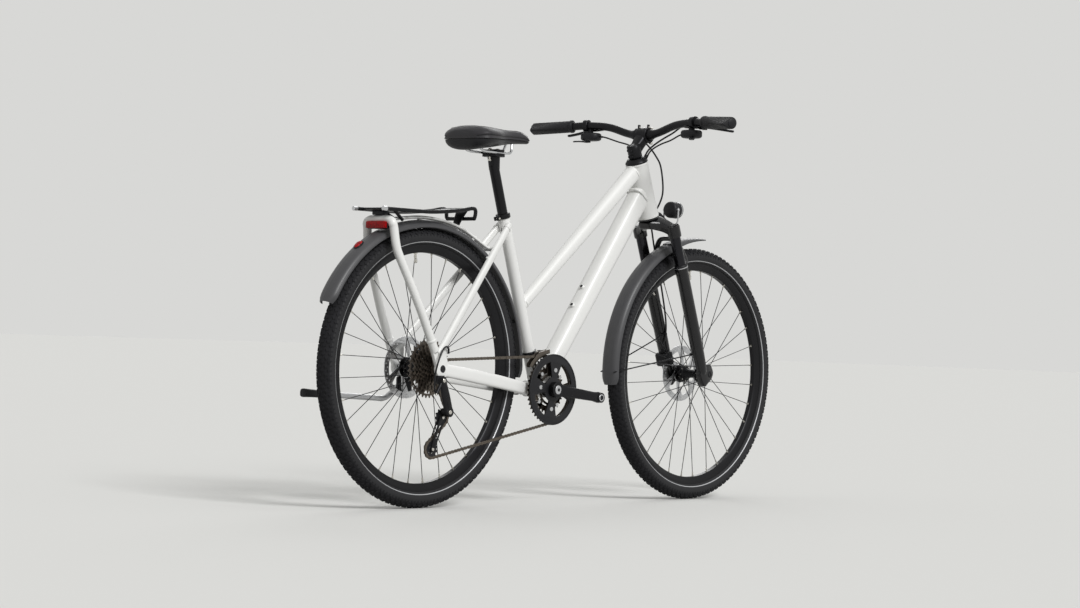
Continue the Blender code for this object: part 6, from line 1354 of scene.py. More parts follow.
def make_bar():
    """Handlebar, stem with its faceplate, bolts and ears, and the headset's cover."""
    sides = np.linspace(-BAR_HALF, BAR_HALF, 121)
    thick = BAR_RADIUS + 0.0048 / (1 + np.exp((np.abs(sides) - 0.034) / 0.004))
    put("bar", [sweep(bar_points(sides), thick, thick, 36, hint=UP, dome=0.002)], looks("anodised"),
        "steering_assembly", ("handlebar",), 40)

    cover = turned([(0.015, 0.0143), (0.0226, 0.0143), (0.0238, 0.0137), (0.03, 0.0062), (0.0316, 0.004),
                    (0.0316, 0.0006), (0.015, 0.0006)], steer(0.0), -STEER_DOWN, 64, closed=True)
    seam = turned([(0.0305, 0.0024), (0.032, 0.0024), (0.032, 0.003), (0.0305, 0.003)], steer(0.0),
                  -STEER_DOWN, 64, closed=True, look=0)
    put("head_cover", [cover, seam], looks("anodised"), "steering_assembly",
        ("headset_cover",), 40)

    grip = bar_points(0.0)
    start = steer(-0.034)
    way = unit(grip - start)
    t = np.linspace(0, 1, 15)
    path = start + (grip - way * 0.008 - start) * t[:, None]
    arm = sweep(path, 0.016 + 0.003 * blend_in(t, 0.2, 0.9), 0.017 - 0.0012 * np.sin(np.pi * t), 40, 3.0,
                hint=UP)
    body = turned([(0.0146, -0.0148), (0.018, -0.0148), (0.019, -0.016), (0.019, -0.049), (0.0182, -0.05),
                   (0.0146, -0.05)], steer(0.0), STEER_DOWN, 56, closed=True, look=0)
    cap = turned([(0.0003, -0.0535), (0.012, -0.0532), (0.0172, -0.0522), (0.018, -0.0508),
                  (0.018, -0.0496), (0.0003, -0.049)], steer(0.0), STEER_DOWN, 56, look=0)
    bolt = turned([(0.0003, -0.055), (0.0036, -0.055), (0.0044, -0.0543), (0.0044, -0.053),
                   (0.0003, -0.0528)], steer(0.0), STEER_DOWN, 28, look=1)
    clamp = turned([(0.0161, -0.0215), (0.021, -0.0215), (0.0219, -0.0206), (0.0219, 0.0206),
                    (0.021, 0.0215), (0.0161, 0.0215)], grip, LEFT, 64, closed=True, look=0)
    lines = [turned([(0.0214, s * 0.012 - 0.0006), (0.02215, s * 0.012), (0.0214, s * 0.012 + 0.0006)],
                    grip, LEFT, 64, closed=True, look=0) for s in (-1, 1)]
    turn = np.radians(np.linspace(-38, 38, 13))
    lift = np.stack([np.cos(turn), 0 * turn, np.sin(turn)], -1)
    plate = sweep(grip + lift * 0.0221, 0.0188, 0.0013, 24, 4.0, look=1,
                  frames=(np.tile(LEFT, (len(turn), 1)), lift), dome=0.0006)
    parts = [arm, body, cap, bolt, clamp, plate] + lines
    for s in (-1, 1):
        ear = grip + np.array([0.0, s * 0.0165, 0.023])
        parts.append(block(ear, (0.01, 0.0046, 0.015), power=5, look=0))
        parts.append(rod(ear + LEFT * -0.0026 * 1.4, ear + LEFT * 0.0026 * 1.4, 0.0026, 20, look=2,
                         chamfer=0.0004))
        for v in (-0.0205, 0.0205):
            head = grip + np.array([0.0225, s * 0.013, v])
            parts.append(rod(head - AHEAD * 0.01, head, 0.0036, 20, look=2, chamfer=0.0006))
        foot = steer(-0.032 - 0.009 * s, -0.0192, 0.0)
        parts.append(rod(foot - LEFT * 0.0085, foot + LEFT * 0.0085, 0.0032, 20, look=0, chamfer=0.0006))
    put("stem_body", parts, looks("anodised", "silver", "nickel"), "steering_assembly",
        ("stem",), 40)


def make_grip(name, side, replaced):
    """Palm grip: radius 16.5 mm plus a wing growing to 30 mm behind the bar, with raised bands.

    r(a) = 16.5 + 13.5 w(t) max(0, cos a)^1.5; the height factor falls by 45 percent at the wing's edge.
    """
    outer = BAR_HALF + 0.004
    inner = outer - GRIP_LENGTH
    t = np.linspace(0, 1, 72)
    reach = inner + (outer - inner) * t
    wing = np.interp(t, [0, 0.08, 0.35, 0.65, 0.88, 1.0], [0, 0, 0.25, 0.7, 1.0, 0.8])
    kernel = np.hanning(11) / np.hanning(11).sum()
    wing = np.convolve(np.pad(wing, 5, mode="edge"), kernel, "valid")
    centre = bar_points(side * reach)
    along = bar_way(side * reach)
    back = unit(np.cross(along, np.broadcast_to(UP, along.shape)))
    back = back * -np.sign(back[:, :1])
    lift = unit(np.cross(back, along))
    lift = lift * np.sign(lift[:, 2:])
    a = np.linspace(0, 2 * np.pi, 72, endpoint=False)
    toward = np.maximum(0.0, np.cos(a))[None]
    w = wing[:, None]
    ends = np.sqrt(np.clip(1 - (1 - np.minimum(np.minimum(t, 1 - t) / 0.022, 1.0)) ** 2, 0.0, 1.0))[:, None]
    blocks = (t > 0.13) & (t < 0.93) & (np.mod(t * 40, 4) < 3.2)
    bands = 0.00035 * (np.cos(a[None] * 24) > 0.2) * blocks[:, None]
    base = (0.0165 + (0.03 - 0.0165) * w * toward ** 1.5 + bands) * (0.86 + 0.14 * ends)
    flat = 1.0 - 0.45 * w * toward
    x = np.cos(a)[None] * base
    z = np.sin(a)[None] * (0.0165 + bands) * (0.86 + 0.14 * ends) * flat - 0.006 * w * toward
    points = centre[:, None] + back[:, None] * x[..., None] + lift[:, None] * z[..., None]
    body = grid(points)
    ring_at = inner + 0.0045
    ring = turned([(0.0112, -0.004), (0.0172, -0.004), (0.018, -0.0032), (0.018, 0.0032), (0.0172, 0.004),
                   (0.0112, 0.004)], bar_points(side * ring_at), bar_way(side * ring_at), 48, closed=True,
                  look=1)
    end = outer + 0.0004
    cap = turned([(0.0003, 0.0022), (0.009, 0.002), (0.0122, 0.0006), (0.0126, -0.002), (0.0003, -0.002)],
                 bar_points(side * end), bar_way(side * end) * side, 40, look=1)
    put(name, [body, ring, cap], looks("grip", "plastic"), "steering_assembly", replaced, 50)


def make_controls():
    """Both hands: clamp, master cylinder, shifter pod and dial, brake blade, trigger, and the grips."""
    for side, hand in ((-1, "right"), (1, "left")):
        reach = BAR_HALF - GRIP_LENGTH
        clamp_reach, pivot_reach = reach - 0.038, reach - 0.026
        centre, along = bar_points(side * clamp_reach), bar_way(side * clamp_reach)
        pivot = bar_points(side * pivot_reach) + np.array([0.036, 0.0, -0.01])
        parts = [turned([(0.0111, -0.0072), (0.016, -0.0072), (0.0168, -0.0064), (0.0168, 0.0064),
                         (0.016, 0.0072), (0.0111, 0.0072)], centre, along, 48, closed=True, look=0)]
        start = centre + np.array([0.02, -side * 0.052, -0.004])
        end = pivot + np.array([-0.009, -side * 0.004, 0.003])
        t = np.linspace(0, 1, 17)
        path = start + (end - start) * t[:, None]
        size = 0.008 + 0.0008 * np.sin(np.pi * t) - 0.0012 * (t < 0.08)
        parts.append(sweep(path, size, size * 1.06, 36, 2.6, hint=UP, look=0, dome=0.004))
        lid = (start + end) / 2 + UP * 0.0086
        parts.append(block(lid, (0.018, 0.038, 0.0026), look=1, power=5))
        parts.append(block(centre + np.array([0.013, -side * 0.004, -0.003]), (0.02, 0.016, 0.014), power=5,
                           look=0))
        parts.append(rod(centre + np.array([0.02, -side * 0.004, 0.0045]),
                         centre + np.array([0.02, -side * 0.004, 0.0082]), 0.003, 20, look=2,
                         chamfer=0.0005))
        pod = centre + np.array([0.006, -side * 0.012, -0.031])
        d = np.array([-0.012, -0.0112, -0.0095, -0.006, 0.005, 0.0085, 0.0102, 0.011])
        k = np.array([0.62, 0.8, 0.92, 1.0, 1.0, 0.94, 0.84, 0.66])
        c, s = oval(48, 2.6)
        points = (pod + UP * d[:, None, None] + AHEAD * (k[:, None] * c * 0.023)[..., None]
                  + LEFT * (k[:, None] * s * 0.03)[..., None])
        parts.append(grid(points, look=1))
        parts.append(block(centre + np.array([0.004, -side * 0.01, -0.016]), (0.014, 0.016, 0.022), power=5,
                           look=1))
        for low, high in ((0.0052, 0.008), (-0.008, -0.0052)):
            parts.append(rod(pivot + UP * low, pivot + UP * high, 0.0075, 28, look=0, chamfer=0.0005))
        parts.append(rod(pivot - UP * 0.0086, pivot + UP * 0.0086, 0.0028, 20, look=2, chamfer=0.0004))
        parts.append(block(pivot + np.array([-0.0125, -side * 0.002, 0.0]), (0.009, 0.014, 0.0156), power=5,
                           look=0))
        put("lever_body_" + hand, parts, looks("anodised", "plastic", "nickel"), "steering_assembly",
            ("lever_mount_" + hand,), 40)

        tip_reach = min(pivot_reach + 0.088, BAR_HALF - 0.01)
        tip = bar_points(side * tip_reach) + np.array([0.066, 0.0, -0.018])
        bend = bar_points(side * (pivot_reach + 0.026)) + np.array([0.05, 0.0, -0.012])
        route = smooth_path([pivot, bend, bend * 0.45 + tip * 0.55 + AHEAD * 0.003, tip], 41)
        t = np.linspace(0, 1, 41)
        blade = sweep(route, 0.006 + 0.0014 * blend_in(t, 0.8, 1.0) - 0.0008 * np.sin(np.pi * t),
                      0.0042 - 0.0006 * t, 28, 2.8, hint=UP, look=0, dome=0.0038)
        hub = rod(pivot - UP * 0.0049, pivot + UP * 0.0049, 0.0068, 32, look=0, chamfer=0.0005)
        adjuster = rod(pivot + np.array([0.006, side * 0.006, 0.001]),
                       pivot + np.array([0.0125, side * 0.003, 0.001]), 0.0026, 16, look=1, chamfer=0.0004)
        put("lever_blade_" + hand, [blade, hub, adjuster], looks("anodised", "nickel"),
            hand + "_brake_lever", ("brake_lever_" + hand,), 40)

        axis = pod + np.array([-0.006, side * 0.006, -0.0115])
        way = unit(np.array([-0.75, side * 0.65, 0.0]))
        middle = axis + np.array([-0.016, side * 0.014, -0.003])
        t = np.linspace(-1, 1, 15)
        path = middle + way * (t * 0.0185)[:, None] + UP * (-0.0012 * t ** 2)[:, None]
        paddle = sweep(path, 0.0052 + 0.0014 * blend_in(t, -0.2, 1.0), 0.0021, 24, 3.2, hint=UP, look=0,
                       dome=0.003)
        ribs = [rod(middle + way * v - np.cross(way, UP) * 0.0048 + UP * -0.0014,
                    middle + way * v + np.cross(way, UP) * 0.0048 + UP * -0.0014, 0.0011, 10, look=0)
                for v in (0.0085, 0.0115, 0.0145)]
        knob = rod(axis - UP * 0.0053, axis - UP * 0.0003, 0.0075, 32, look=0, chamfer=0.0006)
        put("trigger_" + hand, [paddle, knob] + ribs, looks("plastic"), hand + "_trigger",
            ("shift_trigger_" + hand,), 40)
        make_grip("grip_body_" + hand, side, ("grip_" + hand,))


# Seat

def half_width(t):
    """The saddle's half width: logistic from tail to nose, rounded at both ends."""
    body = 0.02 + (0.085 - 0.02) / (1.0 + np.exp((t - 0.42) / 0.105))
    rear = np.sqrt(np.clip(1.0 - (1.0 - np.minimum(t / 0.16, 1.0)) ** 2.4, 0, None))
    nose = np.sqrt(np.clip(1.0 - (1.0 - np.minimum((1.0 - t) / 0.07, 1.0)) ** 2.2, 0, None))
    return np.maximum(0.008, body * (0.42 + 0.58 * rear) * (0.3 + 0.7 * nose))


def saddle_heights(t, rail_z):
    """Top and base lines of the cushion over its length."""
    crest = rail_z + 0.06512
    dip = 0.001 * np.sin(np.pi * np.clip((t - 0.15) / 0.7, 0, 1))
    top = crest - dip - 0.014 * np.maximum(0, 1 - t / 0.12) ** 2 - 0.02 * np.maximum(0, (t - 0.8) / 0.2) ** 2
    base = crest - 0.036 + 0.005 * np.minimum(1.0, t / 0.45) + 0.005 * blend_in(t, 0.4, 0.75)
    return top, base


def cushion(t, a, head, seam):
    """y = |cos a|^0.85 w(t), z = base + (top - base) sin(a)^0.75; a pressed middle channel, two grooves.

    The sides draw in by 5 percent above the shell, and faint puckers run along both grooves.
    """
    t, a = t[:, None], a[None]
    c, s = np.cos(a), np.sin(a)
    top, base = saddle_heights(t, head[2])
    up = np.clip(s, 0, 1)
    y = np.sign(c) * np.abs(c) ** 0.85 * half_width(t)
    y = y * np.where(s >= 0, 1 - 0.05 * np.exp(-((up - 0.1) / 0.12) ** 2), 1 - 0.14 * np.abs(s))
    channel = 0.003 * np.sin(np.pi * np.clip((t - 0.12) / 0.76, 0, 1)) ** 2
    z = np.where(s >= 0, base + (top - base) * up ** 0.75 - channel * np.exp(-(y / 0.0105) ** 2),
                 base + s * 0.0006)
    inside = np.exp(-((np.abs(y) - half_width(t) * 0.6) / 0.0016) ** 2) * (s > 0.3)
    pucker = 1 + 0.2 * np.sin(t * 230) * np.cos(t * 71 + 1.1)
    z = z - seam * inside * pucker * (t > 0.04) * (t < 0.965)
    z = z + 0.0001 * np.sin(t * 96 + 3 * np.sin(t * 31)) * np.exp(-((up - 0.45) / 0.2) ** 2) * (s > 0)
    x = head[0] - SADDLE_BACK + SADDLE_LENGTH * t + 0 * s
    return np.stack([x, y, z], -1)


def make_seat(sizes):
    """Seat collar with its bolt, seatpost with its clamp, saddle shell on two rails and sewn cushion."""
    top = SEAT_LENGTH
    collar = turned([(0.0139, 0.013), (0.0175, 0.013), (0.0191, 0.0118), (0.0194, 0.01), (0.0194, 0.0012),
                     (0.0188, 0.0004), (0.0139, 0.0004)], seat(top), SEAT_UP, 56, closed=True)
    lug = [block(seat(top + 0.0055, -0.0235, s * 0.0048), (0.013, 0.0066, 0.0112), SEAT_AHEAD, SEAT_UP,
                 5) for s in (-1, 1)]
    bolt = rod(seat(top + 0.0055, -0.024, -0.01), seat(top + 0.0055, -0.024, 0.01), 0.0031, 24, look=1,
               chamfer=0.0006)
    put("collar", [collar, bolt] + lug, looks("anodised", "nickel"), "frame",
        ("seat_collar",), 40)

    post_top = top + 0.148
    end = seat(post_top)
    head = np.array([end[0], 0.0, end[2] + 0.0285])
    t = np.linspace(0, 1, 9)[:, None]
    neck_low, neck_high = seat(post_top - 0.016), head - UP * 0.004
    parts = [rod(seat(top - 0.2), seat(post_top - 0.002), 0.0136, 56),
             sweep(neck_low + (neck_high - neck_low) * t, np.linspace(0.0134, 0.015, 9),
                   np.linspace(0.0134, 0.017, 9), 40, 2.4, hint=LEFT, dome=0.002),
             block(head - UP * 0.0062, (0.042, 0.056, 0.01), power=6, look=0),
             block(head + UP * 0.0052, (0.036, 0.056, 0.0075), power=6, look=0)]
    for x in (-0.0145, 0.0145):
        foot = head + np.array([x, 0.0, -0.0205])
        parts.append(rod(foot, foot + UP * 0.032, 0.0028, 20, look=1))
        parts.append(rod(foot - UP * 0.0015, foot + UP * 0.0035, 0.0046, 24, look=1, chamfer=0.0006))
        parts.append(rod(foot + UP * 0.029, foot + UP * 0.0325, 0.0052, 6, look=1, chamfer=0.0006))
    put("post", parts, looks("anodised", "nickel"), "seatpost_and_saddle", ("seatpost",), 40)

    t = np.linspace(0, 1, 181)
    t = t - 0.022 * np.sin(2 * np.pi * t)
    a = np.linspace(0, 2 * np.pi, 144, endpoint=False)
    parts = [grid(cushion(t, a, head, sizes.seam))]
    run = np.linspace(0.05, 0.955, max(20, int(0.232 / sizes.stitch)))
    for side in (-1, 1):
        c = 0.6 ** (1 / 0.85)
        line = np.array([math.acos(side * c)])
        path = cushion(run, line, head, 0.0)[:, 0]
        way = directions(path)
        for offset in (-0.0026, 0.0026):
            centre = path + np.cross(way, UP) * offset + UP * 0.0001
            parts.append(bricks(centre, way * sizes.stitch * 0.3, unit(np.cross(way, UP)) * 0.00032,
                                np.broadcast_to(UP * 0.00038, way.shape), look=1))
        edge = cushion(np.linspace(0.015, 0.985, 121), np.array([math.acos(side * 0.985)]), head, 0.0)[:, 0]
        parts.append(sweep(edge, 0.0011, 0.0011, 12, frames=rolling(edge), look=1, dome=0.001))
    piece = put("saddle_top", parts, looks("saddle", "grip"), "seatpost_and_saddle",
                ("saddle_cover",), 60)

    t = np.linspace(0, 1, 81)[:, None]
    a = np.linspace(np.pi, 2 * np.pi, 33)[None]
    half = half_width(t) * 0.93
    base = saddle_heights(t, head[2])[1] - 0.0018
    tail = np.sqrt(1 - (1 - np.minimum(t / 0.1, 1.0)) ** 2)
    skirt = np.maximum(0.0015, (0.026 * (1 - t) ** 1.2 + 0.005) * tail)
    y = np.sign(np.cos(a)) * np.abs(np.cos(a)) ** 0.8 * half
    x = head[0] - SADDLE_BACK + SADDLE_LENGTH * t + 0 * a
    outer = np.stack([x, y, base + np.sin(a) * skirt], -1)
    inner = np.stack([x, y * 0.93, base + np.sin(a) * skirt * 0.8], -1)[:, ::-1]
    inner[:, :, 0] = head[0] - SADDLE_BACK + SADDLE_LENGTH * (0.5 + (t - 0.5) * 0.97)
    parts = [grid(np.concatenate([outer, inner], 1))]
    ends = saddle_heights(np.array([0.13, 0.74]), head[2])[1]
    for side in (-1, 1):
        rear = head[0] - SADDLE_BACK
        knots = [np.array([rear + SADDLE_LENGTH * 0.13, side * 0.03, ends[0] - 0.006]),
                 np.array([rear + SADDLE_LENGTH * 0.21, side * 0.026, head[2] + 0.003]),
                 head + np.array([-0.03, side * 0.022, 0.0]), head + np.array([0.022, side * 0.022, 0.0]),
                 head + np.array([0.05, side * 0.016, 0.006]),
                 np.array([rear + SADDLE_LENGTH * 0.74, side * 0.009, ends[1] - 0.005])]
        rail = smooth_path(knots, 61)
        parts.append(sweep(rail, 0.0035, 0.0035, 20, frames=rolling(rail), look=1, dome=0.002))
    put("saddle_shell", parts, looks("plastic", "silver"), "seatpost_and_saddle",
        ("saddle_base",), 40)


# Drive

def pitch_radius(teeth):
    """0.0127 / (2 sin(pi / teeth))."""
    return 0.0127 / 2 / math.sin(math.pi / teeth)


def toothed(teeth, phase=0.0, tip=0.0034):
    """Sprocket outline: valleys 3.7 mm inside the pitch circle, pointed tips outside it."""
    r = pitch_radius(teeth)
    shape = np.array([(0.0, -0.0037), (0.16, -0.0031), (0.3, -0.0006), (0.42, tip), (0.58, tip),
                      (0.7, -0.0006), (0.84, -0.0031)])
    a = (np.arange(teeth)[:, None] + shape[None, :, 0]) * 2 * np.pi / teeth + phase
    radius = np.broadcast_to(r + shape[:, 1], a.shape)
    return np.stack([radius * np.cos(a), radius * np.sin(a)], -1).reshape(-1, 2)


def chain_line():
    """The chain's pitch line: arcs on four circles joined by common tangents, n . (c2 - c1) = r1 - r2."""
    circles = [(REAR_AXLE, pitch_radius(COG_TEETH[0]), -COG_SIDE), (BRACKET, pitch_radius(44), -RING_SIDE),
               (TENSION, pitch_radius(11), -COG_SIDE), (GUIDE, -pitch_radius(11), -COG_SIDE)]
    turns = []
    for i in range(4):
        c1, r1, _ = circles[i]
        c2, r2, _ = circles[(i + 1) % 4]
        x, z = c2[0] - c1[0], c2[2] - c1[2]
        turns.append(math.atan2(z, x) + math.acos((r1 - r2) / math.hypot(x, z)))
    path = []
    for i in range(4):
        centre, radius, side = circles[i]
        turn = (turns[i] - turns[i - 1]) % (2 * math.pi)
        if radius > 0:
            turn -= 2 * math.pi
        a = turns[i - 1] + turn * np.linspace(0, 1, 60)
        path.append(centre + np.stack([np.cos(a) * radius, np.full(60, side), np.sin(a) * radius], -1))
    return np.vstack(path + [path[0][:1]])


def chain_pins():
    """Pins spaced evenly along the pitch line, their directions and normals."""
    line = chain_line()
    length = np.concatenate([[0], np.cumsum(np.linalg.norm(np.diff(line, axis=0), axis=1))])
    count = int(round(length[-1] / 0.0127 / 2)) * 2
    at = np.arange(count) * length[-1] / count
    pins = np.stack([np.interp(at, length, line[:, k]) for k in range(3)], -1)
    way = np.roll(pins, -1, 0) - pins
    return pins, way


def placed(surface, origins, e1, e2, e3):
    """Copies of a surface: origin + x e1 + y e2 + z e3 for each row of the four arrays."""
    points, faces, looks = surface
    every = (origins[:, None] + points[None, :, :1] * e1[:, None] + points[None, :, 1:2] * e2[:, None]
             + points[None, :, 2:] * e3[:, None]).reshape(-1, 3)
    step = len(points)
    all_faces = [[v + step * i for v in f] for i in range(len(origins)) for f in faces]
    return every, all_faces, looks * len(origins)


def link_plate(length, waist, end, near, far, look=0):
    """A figure-of-eight link plate between two pins, as a closed ring extruded from near to far."""
    x = np.array([-0.3, 0.05, 0.3, 0.5, 0.7, 0.95, 1.3, 0.95, 0.7, 0.5, 0.3, 0.05]) * length
    z = np.array([0.0, 1.0, 0.86, 0.0, 0.86, 1.0, 0.0, -1.0, -0.86, 0.0, -0.86, -1.0]) * end
    z[[3, 9]] = (waist, -waist)
    ring = np.stack([x, z], -1)
    points = np.array([[(p[0], y, p[1]) for p in ring] for y in (near, far)])
    return grid(points, look=look)


def make_chain():
    """The chain: alternate inner and outer link plates with a roller and a pin at each joint."""
    pins, way = chain_pins()
    length = np.linalg.norm(way, axis=1).mean()
    along = unit(way)
    side = np.broadcast_to(LEFT, along.shape)
    normal = unit(np.cross(along, side))
    side = np.cross(normal, along)
    parts = []
    for start, near, far in ((0, 0.00115, 0.0017), (1, 0.0018, 0.0024)):
        for hand in (-1, 1):
            plate = link_plate(length, 0.0026, 0.004, near * hand, far * hand)
            parts.append(placed(plate, pins[start::2], along[start::2], side[start::2], normal[start::2]))
    roller = rod((0, -0.00112, 0), (0, 0.00112, 0), 0.0036, 10, look=1)
    pin = rod((0, -0.0025, 0), (0, 0.0025, 0), 0.0017, 8, look=1)
    parts.append(placed(roller, pins, along, side, normal))
    parts.append(placed(pin, pins, along, side, normal))
    put("chain_links", parts, looks("chain", "cog"), "frame", ("chain",), 30)
    return pins


def phase_at(centre, pins, radius):
    """The angle, in the x and -z plane, of the pin that is nearest a circle's far side from the chain."""
    away = pins - centre
    near = np.abs(np.hypot(away[:, 0], away[:, 2]) - radius) < 0.0006
    a = np.arctan2(-away[near, 2], away[near, 0])
    return a[len(a) // 2] if len(a) else 0.0


def make_cassette():
    """Nine toothed cogs with windows in the larger ones, spacers, freewheel body and lock ring."""
    pins, _ = chain_pins()
    parts = []
    for i, teeth in enumerate(COG_TEETH):
        y = -(COG_SIDE - COG_SPACING * i)
        phase = phase_at(REAR_AXLE, pins, pitch_radius(teeth)) if i == 0 else 0.37 * i
        outlines = [toothed(teeth, phase, 0.003 if i else 0.0022)]
        if i >= 5:
            count = 7 + (i - 5) // 2
            half = math.pi / count * 0.44
            outlines += [sector(0.03, pitch_radius(teeth) - 0.0085, 2 * math.pi * k / count + 0.3 * i, half,
                                7, 0.18) for k in range(count)]
        outlines.append(arc_points(0.0125, 24))
        parts.append(sheet(outlines, 0.0018 if i else 0.002, REAR_AXLE + LEFT * y, LEFT, AHEAD, 0.0, i % 2))
        if i:
            rim = min(pitch_radius(COG_TEETH[i - 1]) - 0.007, 0.0235)
            parts.append(turned([(0.0125, 0.001), (rim, 0.001), (rim, COG_SPACING - 0.001),
                                 (0.0125, COG_SPACING - 0.001)], REAR_AXLE + LEFT * (y - COG_SPACING), LEFT,
                                32, closed=True, look=1))
    last = -(COG_SIDE - COG_SPACING * 8)
    parts.append(turned([(0.0002, -0.0238), (0.015, -0.0238), (0.0165, -0.025), (0.0165, last),
                         (0.0002, last)], REAR_AXLE, LEFT, 40, look=1))
    parts.append(turned([(0.0105, -0.0707), (0.0105, -0.069), (0.015, -0.0688), (0.0158, -0.068),
                         (0.0158, -0.0662), (0.002, -0.0662), (0.002, -0.0707)], REAR_AXLE, LEFT, 40,
                        look=2, closed=True))
    put("cogs", parts, looks("cog", "chain", "nickel"), "sprockets", ("cassette",), 30)


def crank_arm(way, side):
    """A forged arm: superellipse sections whose depth is widest at the hub and at the pedal eye."""
    end = BRACKET + way * CRANK_LENGTH
    knots_t = [-0.07, -0.05, 0.06, 0.25, 0.85, 0.96, 1.05, 1.078]
    t = np.unique(np.concatenate([np.linspace(-0.07, 1.078, 49), knots_t]))
    deep = np.interp(t, knots_t, [0.0095, 0.015, 0.018, 0.015, 0.0125, 0.0152, 0.0128, 0.007])
    kernel = np.hanning(7) / np.hanning(7).sum()
    deep = np.convolve(np.pad(deep, 3, mode="edge"), kernel, "valid")
    out = np.interp(t, [-0.06, 0.06, 0.25, 0.85, 0.96, 1.06], [0, 0, 0.003, 0.011, 0.012, 0.012])
    depth = unit(np.cross(way, LEFT))
    centre = BRACKET + (end - BRACKET) * t[:, None] + LEFT * side * (0.066 + 0.007 + out)[:, None]
    frames = (np.tile(LEFT, (len(t), 1)), np.tile(depth, (len(t), 1)))
    arm = sweep(centre, 0.007, deep, 44, 3.2, frames=frames)
    eye = end + LEFT * side * (0.066 + 0.012)
    parts = [arm, turned([(0.007, -0.0006), (0.0127, -0.0006), (0.0136, 0.0002), (0.0136, 0.015),
                          (0.013, 0.0157), (0.007, 0.0157)], eye, LEFT * side, 44, closed=True, look=0),
             turned([(0.0066, 0.012), (0.0066, 0.0162), (0.0092, 0.0162), (0.0097, 0.0157),
                     (0.0097, 0.012)], eye, LEFT * side, 44, closed=True, look=1),
             turned([(0.0002, 0.0146), (0.0072, 0.0146), (0.0072, 0.012), (0.0002, 0.012)], eye,
                    LEFT * side, 28, look=2)]
    hub = 0.021 if side < 0 else 0.019
    middle = BRACKET + LEFT * side * 0.065
    parts.append(turned([(0.0122, 0.0), (hub - 0.001, 0.0), (hub, 0.001), (hub, 0.0158),
                         (hub - 0.0012, 0.017), (0.0122, 0.017)], middle, LEFT * side, 56, closed=True,
                        look=0))
    parts.append(turned([(0.0003, 0.0182), (0.01, 0.0178), (0.0122, 0.0164), (0.0124, 0.014),
                         (0.0003, 0.014)], middle, LEFT * side, 40, look=1 if side < 0 else 0))
    parts.append(turned([(0.0003, 0.0186), (0.0048, 0.0186), (0.0048, 0.017), (0.0003, 0.017)], middle,
                        LEFT * side, 6, look=2))
    return parts


def make_cranks():
    """Both cranks, spindle, windowed guard with its bolts, and two toothed chainrings."""
    pins, _ = chain_pins()
    parts = crank_arm(CRANK_WAY, -1)
    parts.append(rod(BRACKET + LEFT * 0.072, BRACKET - LEFT * 0.068, 0.012, 40, look=1))
    parts.append(rod(BRACKET - LEFT * 0.0353, BRACKET - LEFT * 0.065, 0.016, 40, look=0))
    guard_y = -(RING_SIDE + 0.0118)
    quarter = [math.pi / 2 * i for i in range(4)]
    holes = [sector(0.034, 0.0745, a + math.pi / 4, math.radians(27), 12) for a in quarter]
    parts.append(sheet([arc_points(0.0925, 96)] + holes, 0.003, BRACKET + LEFT * guard_y, LEFT, CRANK_WAY,
                       0.0004, 2))
    parts.append(turned([(0.09, -0.0016), (0.094, -0.0016), (0.0946, -0.0008), (0.0946, 0.0014),
                         (0.0938, 0.0021), (0.0905, 0.0021), (0.0898, 0.0012)], BRACKET + LEFT * guard_y,
                        -LEFT, 96, closed=True, look=2))
    for a in quarter:
        way = CRANK_WAY * math.cos(a) + np.cross(CRANK_WAY, LEFT) * math.sin(a)
        foot = BRACKET + way * 0.052
        parts.append(rod(foot - LEFT * (RING_SIDE + 0.0018), foot + LEFT * (guard_y - 0.001), 0.007, 28,
                         look=0))
        parts.append(turned([(0.0003, 0.0022), (0.0034, 0.0022), (0.0056, 0.0018), (0.0062, 0.0008),
                             (0.0062, 0.0), (0.0003, 0.0)], foot + LEFT * (guard_y - 0.0012), -LEFT, 28,
                            look=1))
        t = np.linspace(0, 1, 9)
        arm = BRACKET + way * (0.012 + 0.044 * t)[:, None] + LEFT * (guard_y + 0.0042)
        parts.append(sweep(arm, 0.0105 - 0.003 * t, 0.0032, 20, 3.0, look=0, dome=0.003,
                           frames=(np.tile(unit(np.cross(way, LEFT)), (9, 1)), np.tile(LEFT, (9, 1)))))
    put("crank_drive", parts, looks("anodised", "silver", "plastic"), "crankset",
        ("crank_right",), 40)
    put("crank_far", crank_arm(-CRANK_WAY, 1), looks("anodised", "silver", "plastic"), "crankset",
        ("crank_left",), 40)

    phase = phase_at(BRACKET, pins, pitch_radius(44))
    windows = [sector(0.042, 0.076, a + math.pi / 4, math.radians(30), 10) for a in quarter]
    big = sheet([toothed(44, phase, 0.0026)] + windows + [arc_points(0.036, 32)], 0.002,
                BRACKET - LEFT * RING_SIDE, LEFT, AHEAD, 0.0, 0)
    small = sheet([toothed(30, 0.1, 0.003), arc_points(0.044, 48)], 0.002,
                  BRACKET - LEFT * (RING_SIDE - 0.0072), LEFT, AHEAD, 0.0, 0)
    posts = []
    for a in quarter:
        way = CRANK_WAY * math.cos(a + math.pi / 4) + np.cross(CRANK_WAY, LEFT) * math.sin(a + math.pi / 4)
        foot = BRACKET + way * 0.052
        posts.append(rod(foot - LEFT * (RING_SIDE - 0.0085), foot - LEFT * (RING_SIDE + 0.0008), 0.005, 20,
                         look=1))
    arms = [sheet([sector(0.034, 0.056, a + math.pi / 4 - 0.1169, math.radians(9), 6)], 0.002,
                  BRACKET - LEFT * (RING_SIDE - 0.0072), LEFT, AHEAD, 0.0, 1) for a in quarter]
    put("rings_toothed", [big, small] + posts + arms, looks("cog", "silver"), "crankset",
        ("chainrings",), 30)


# Gear changers

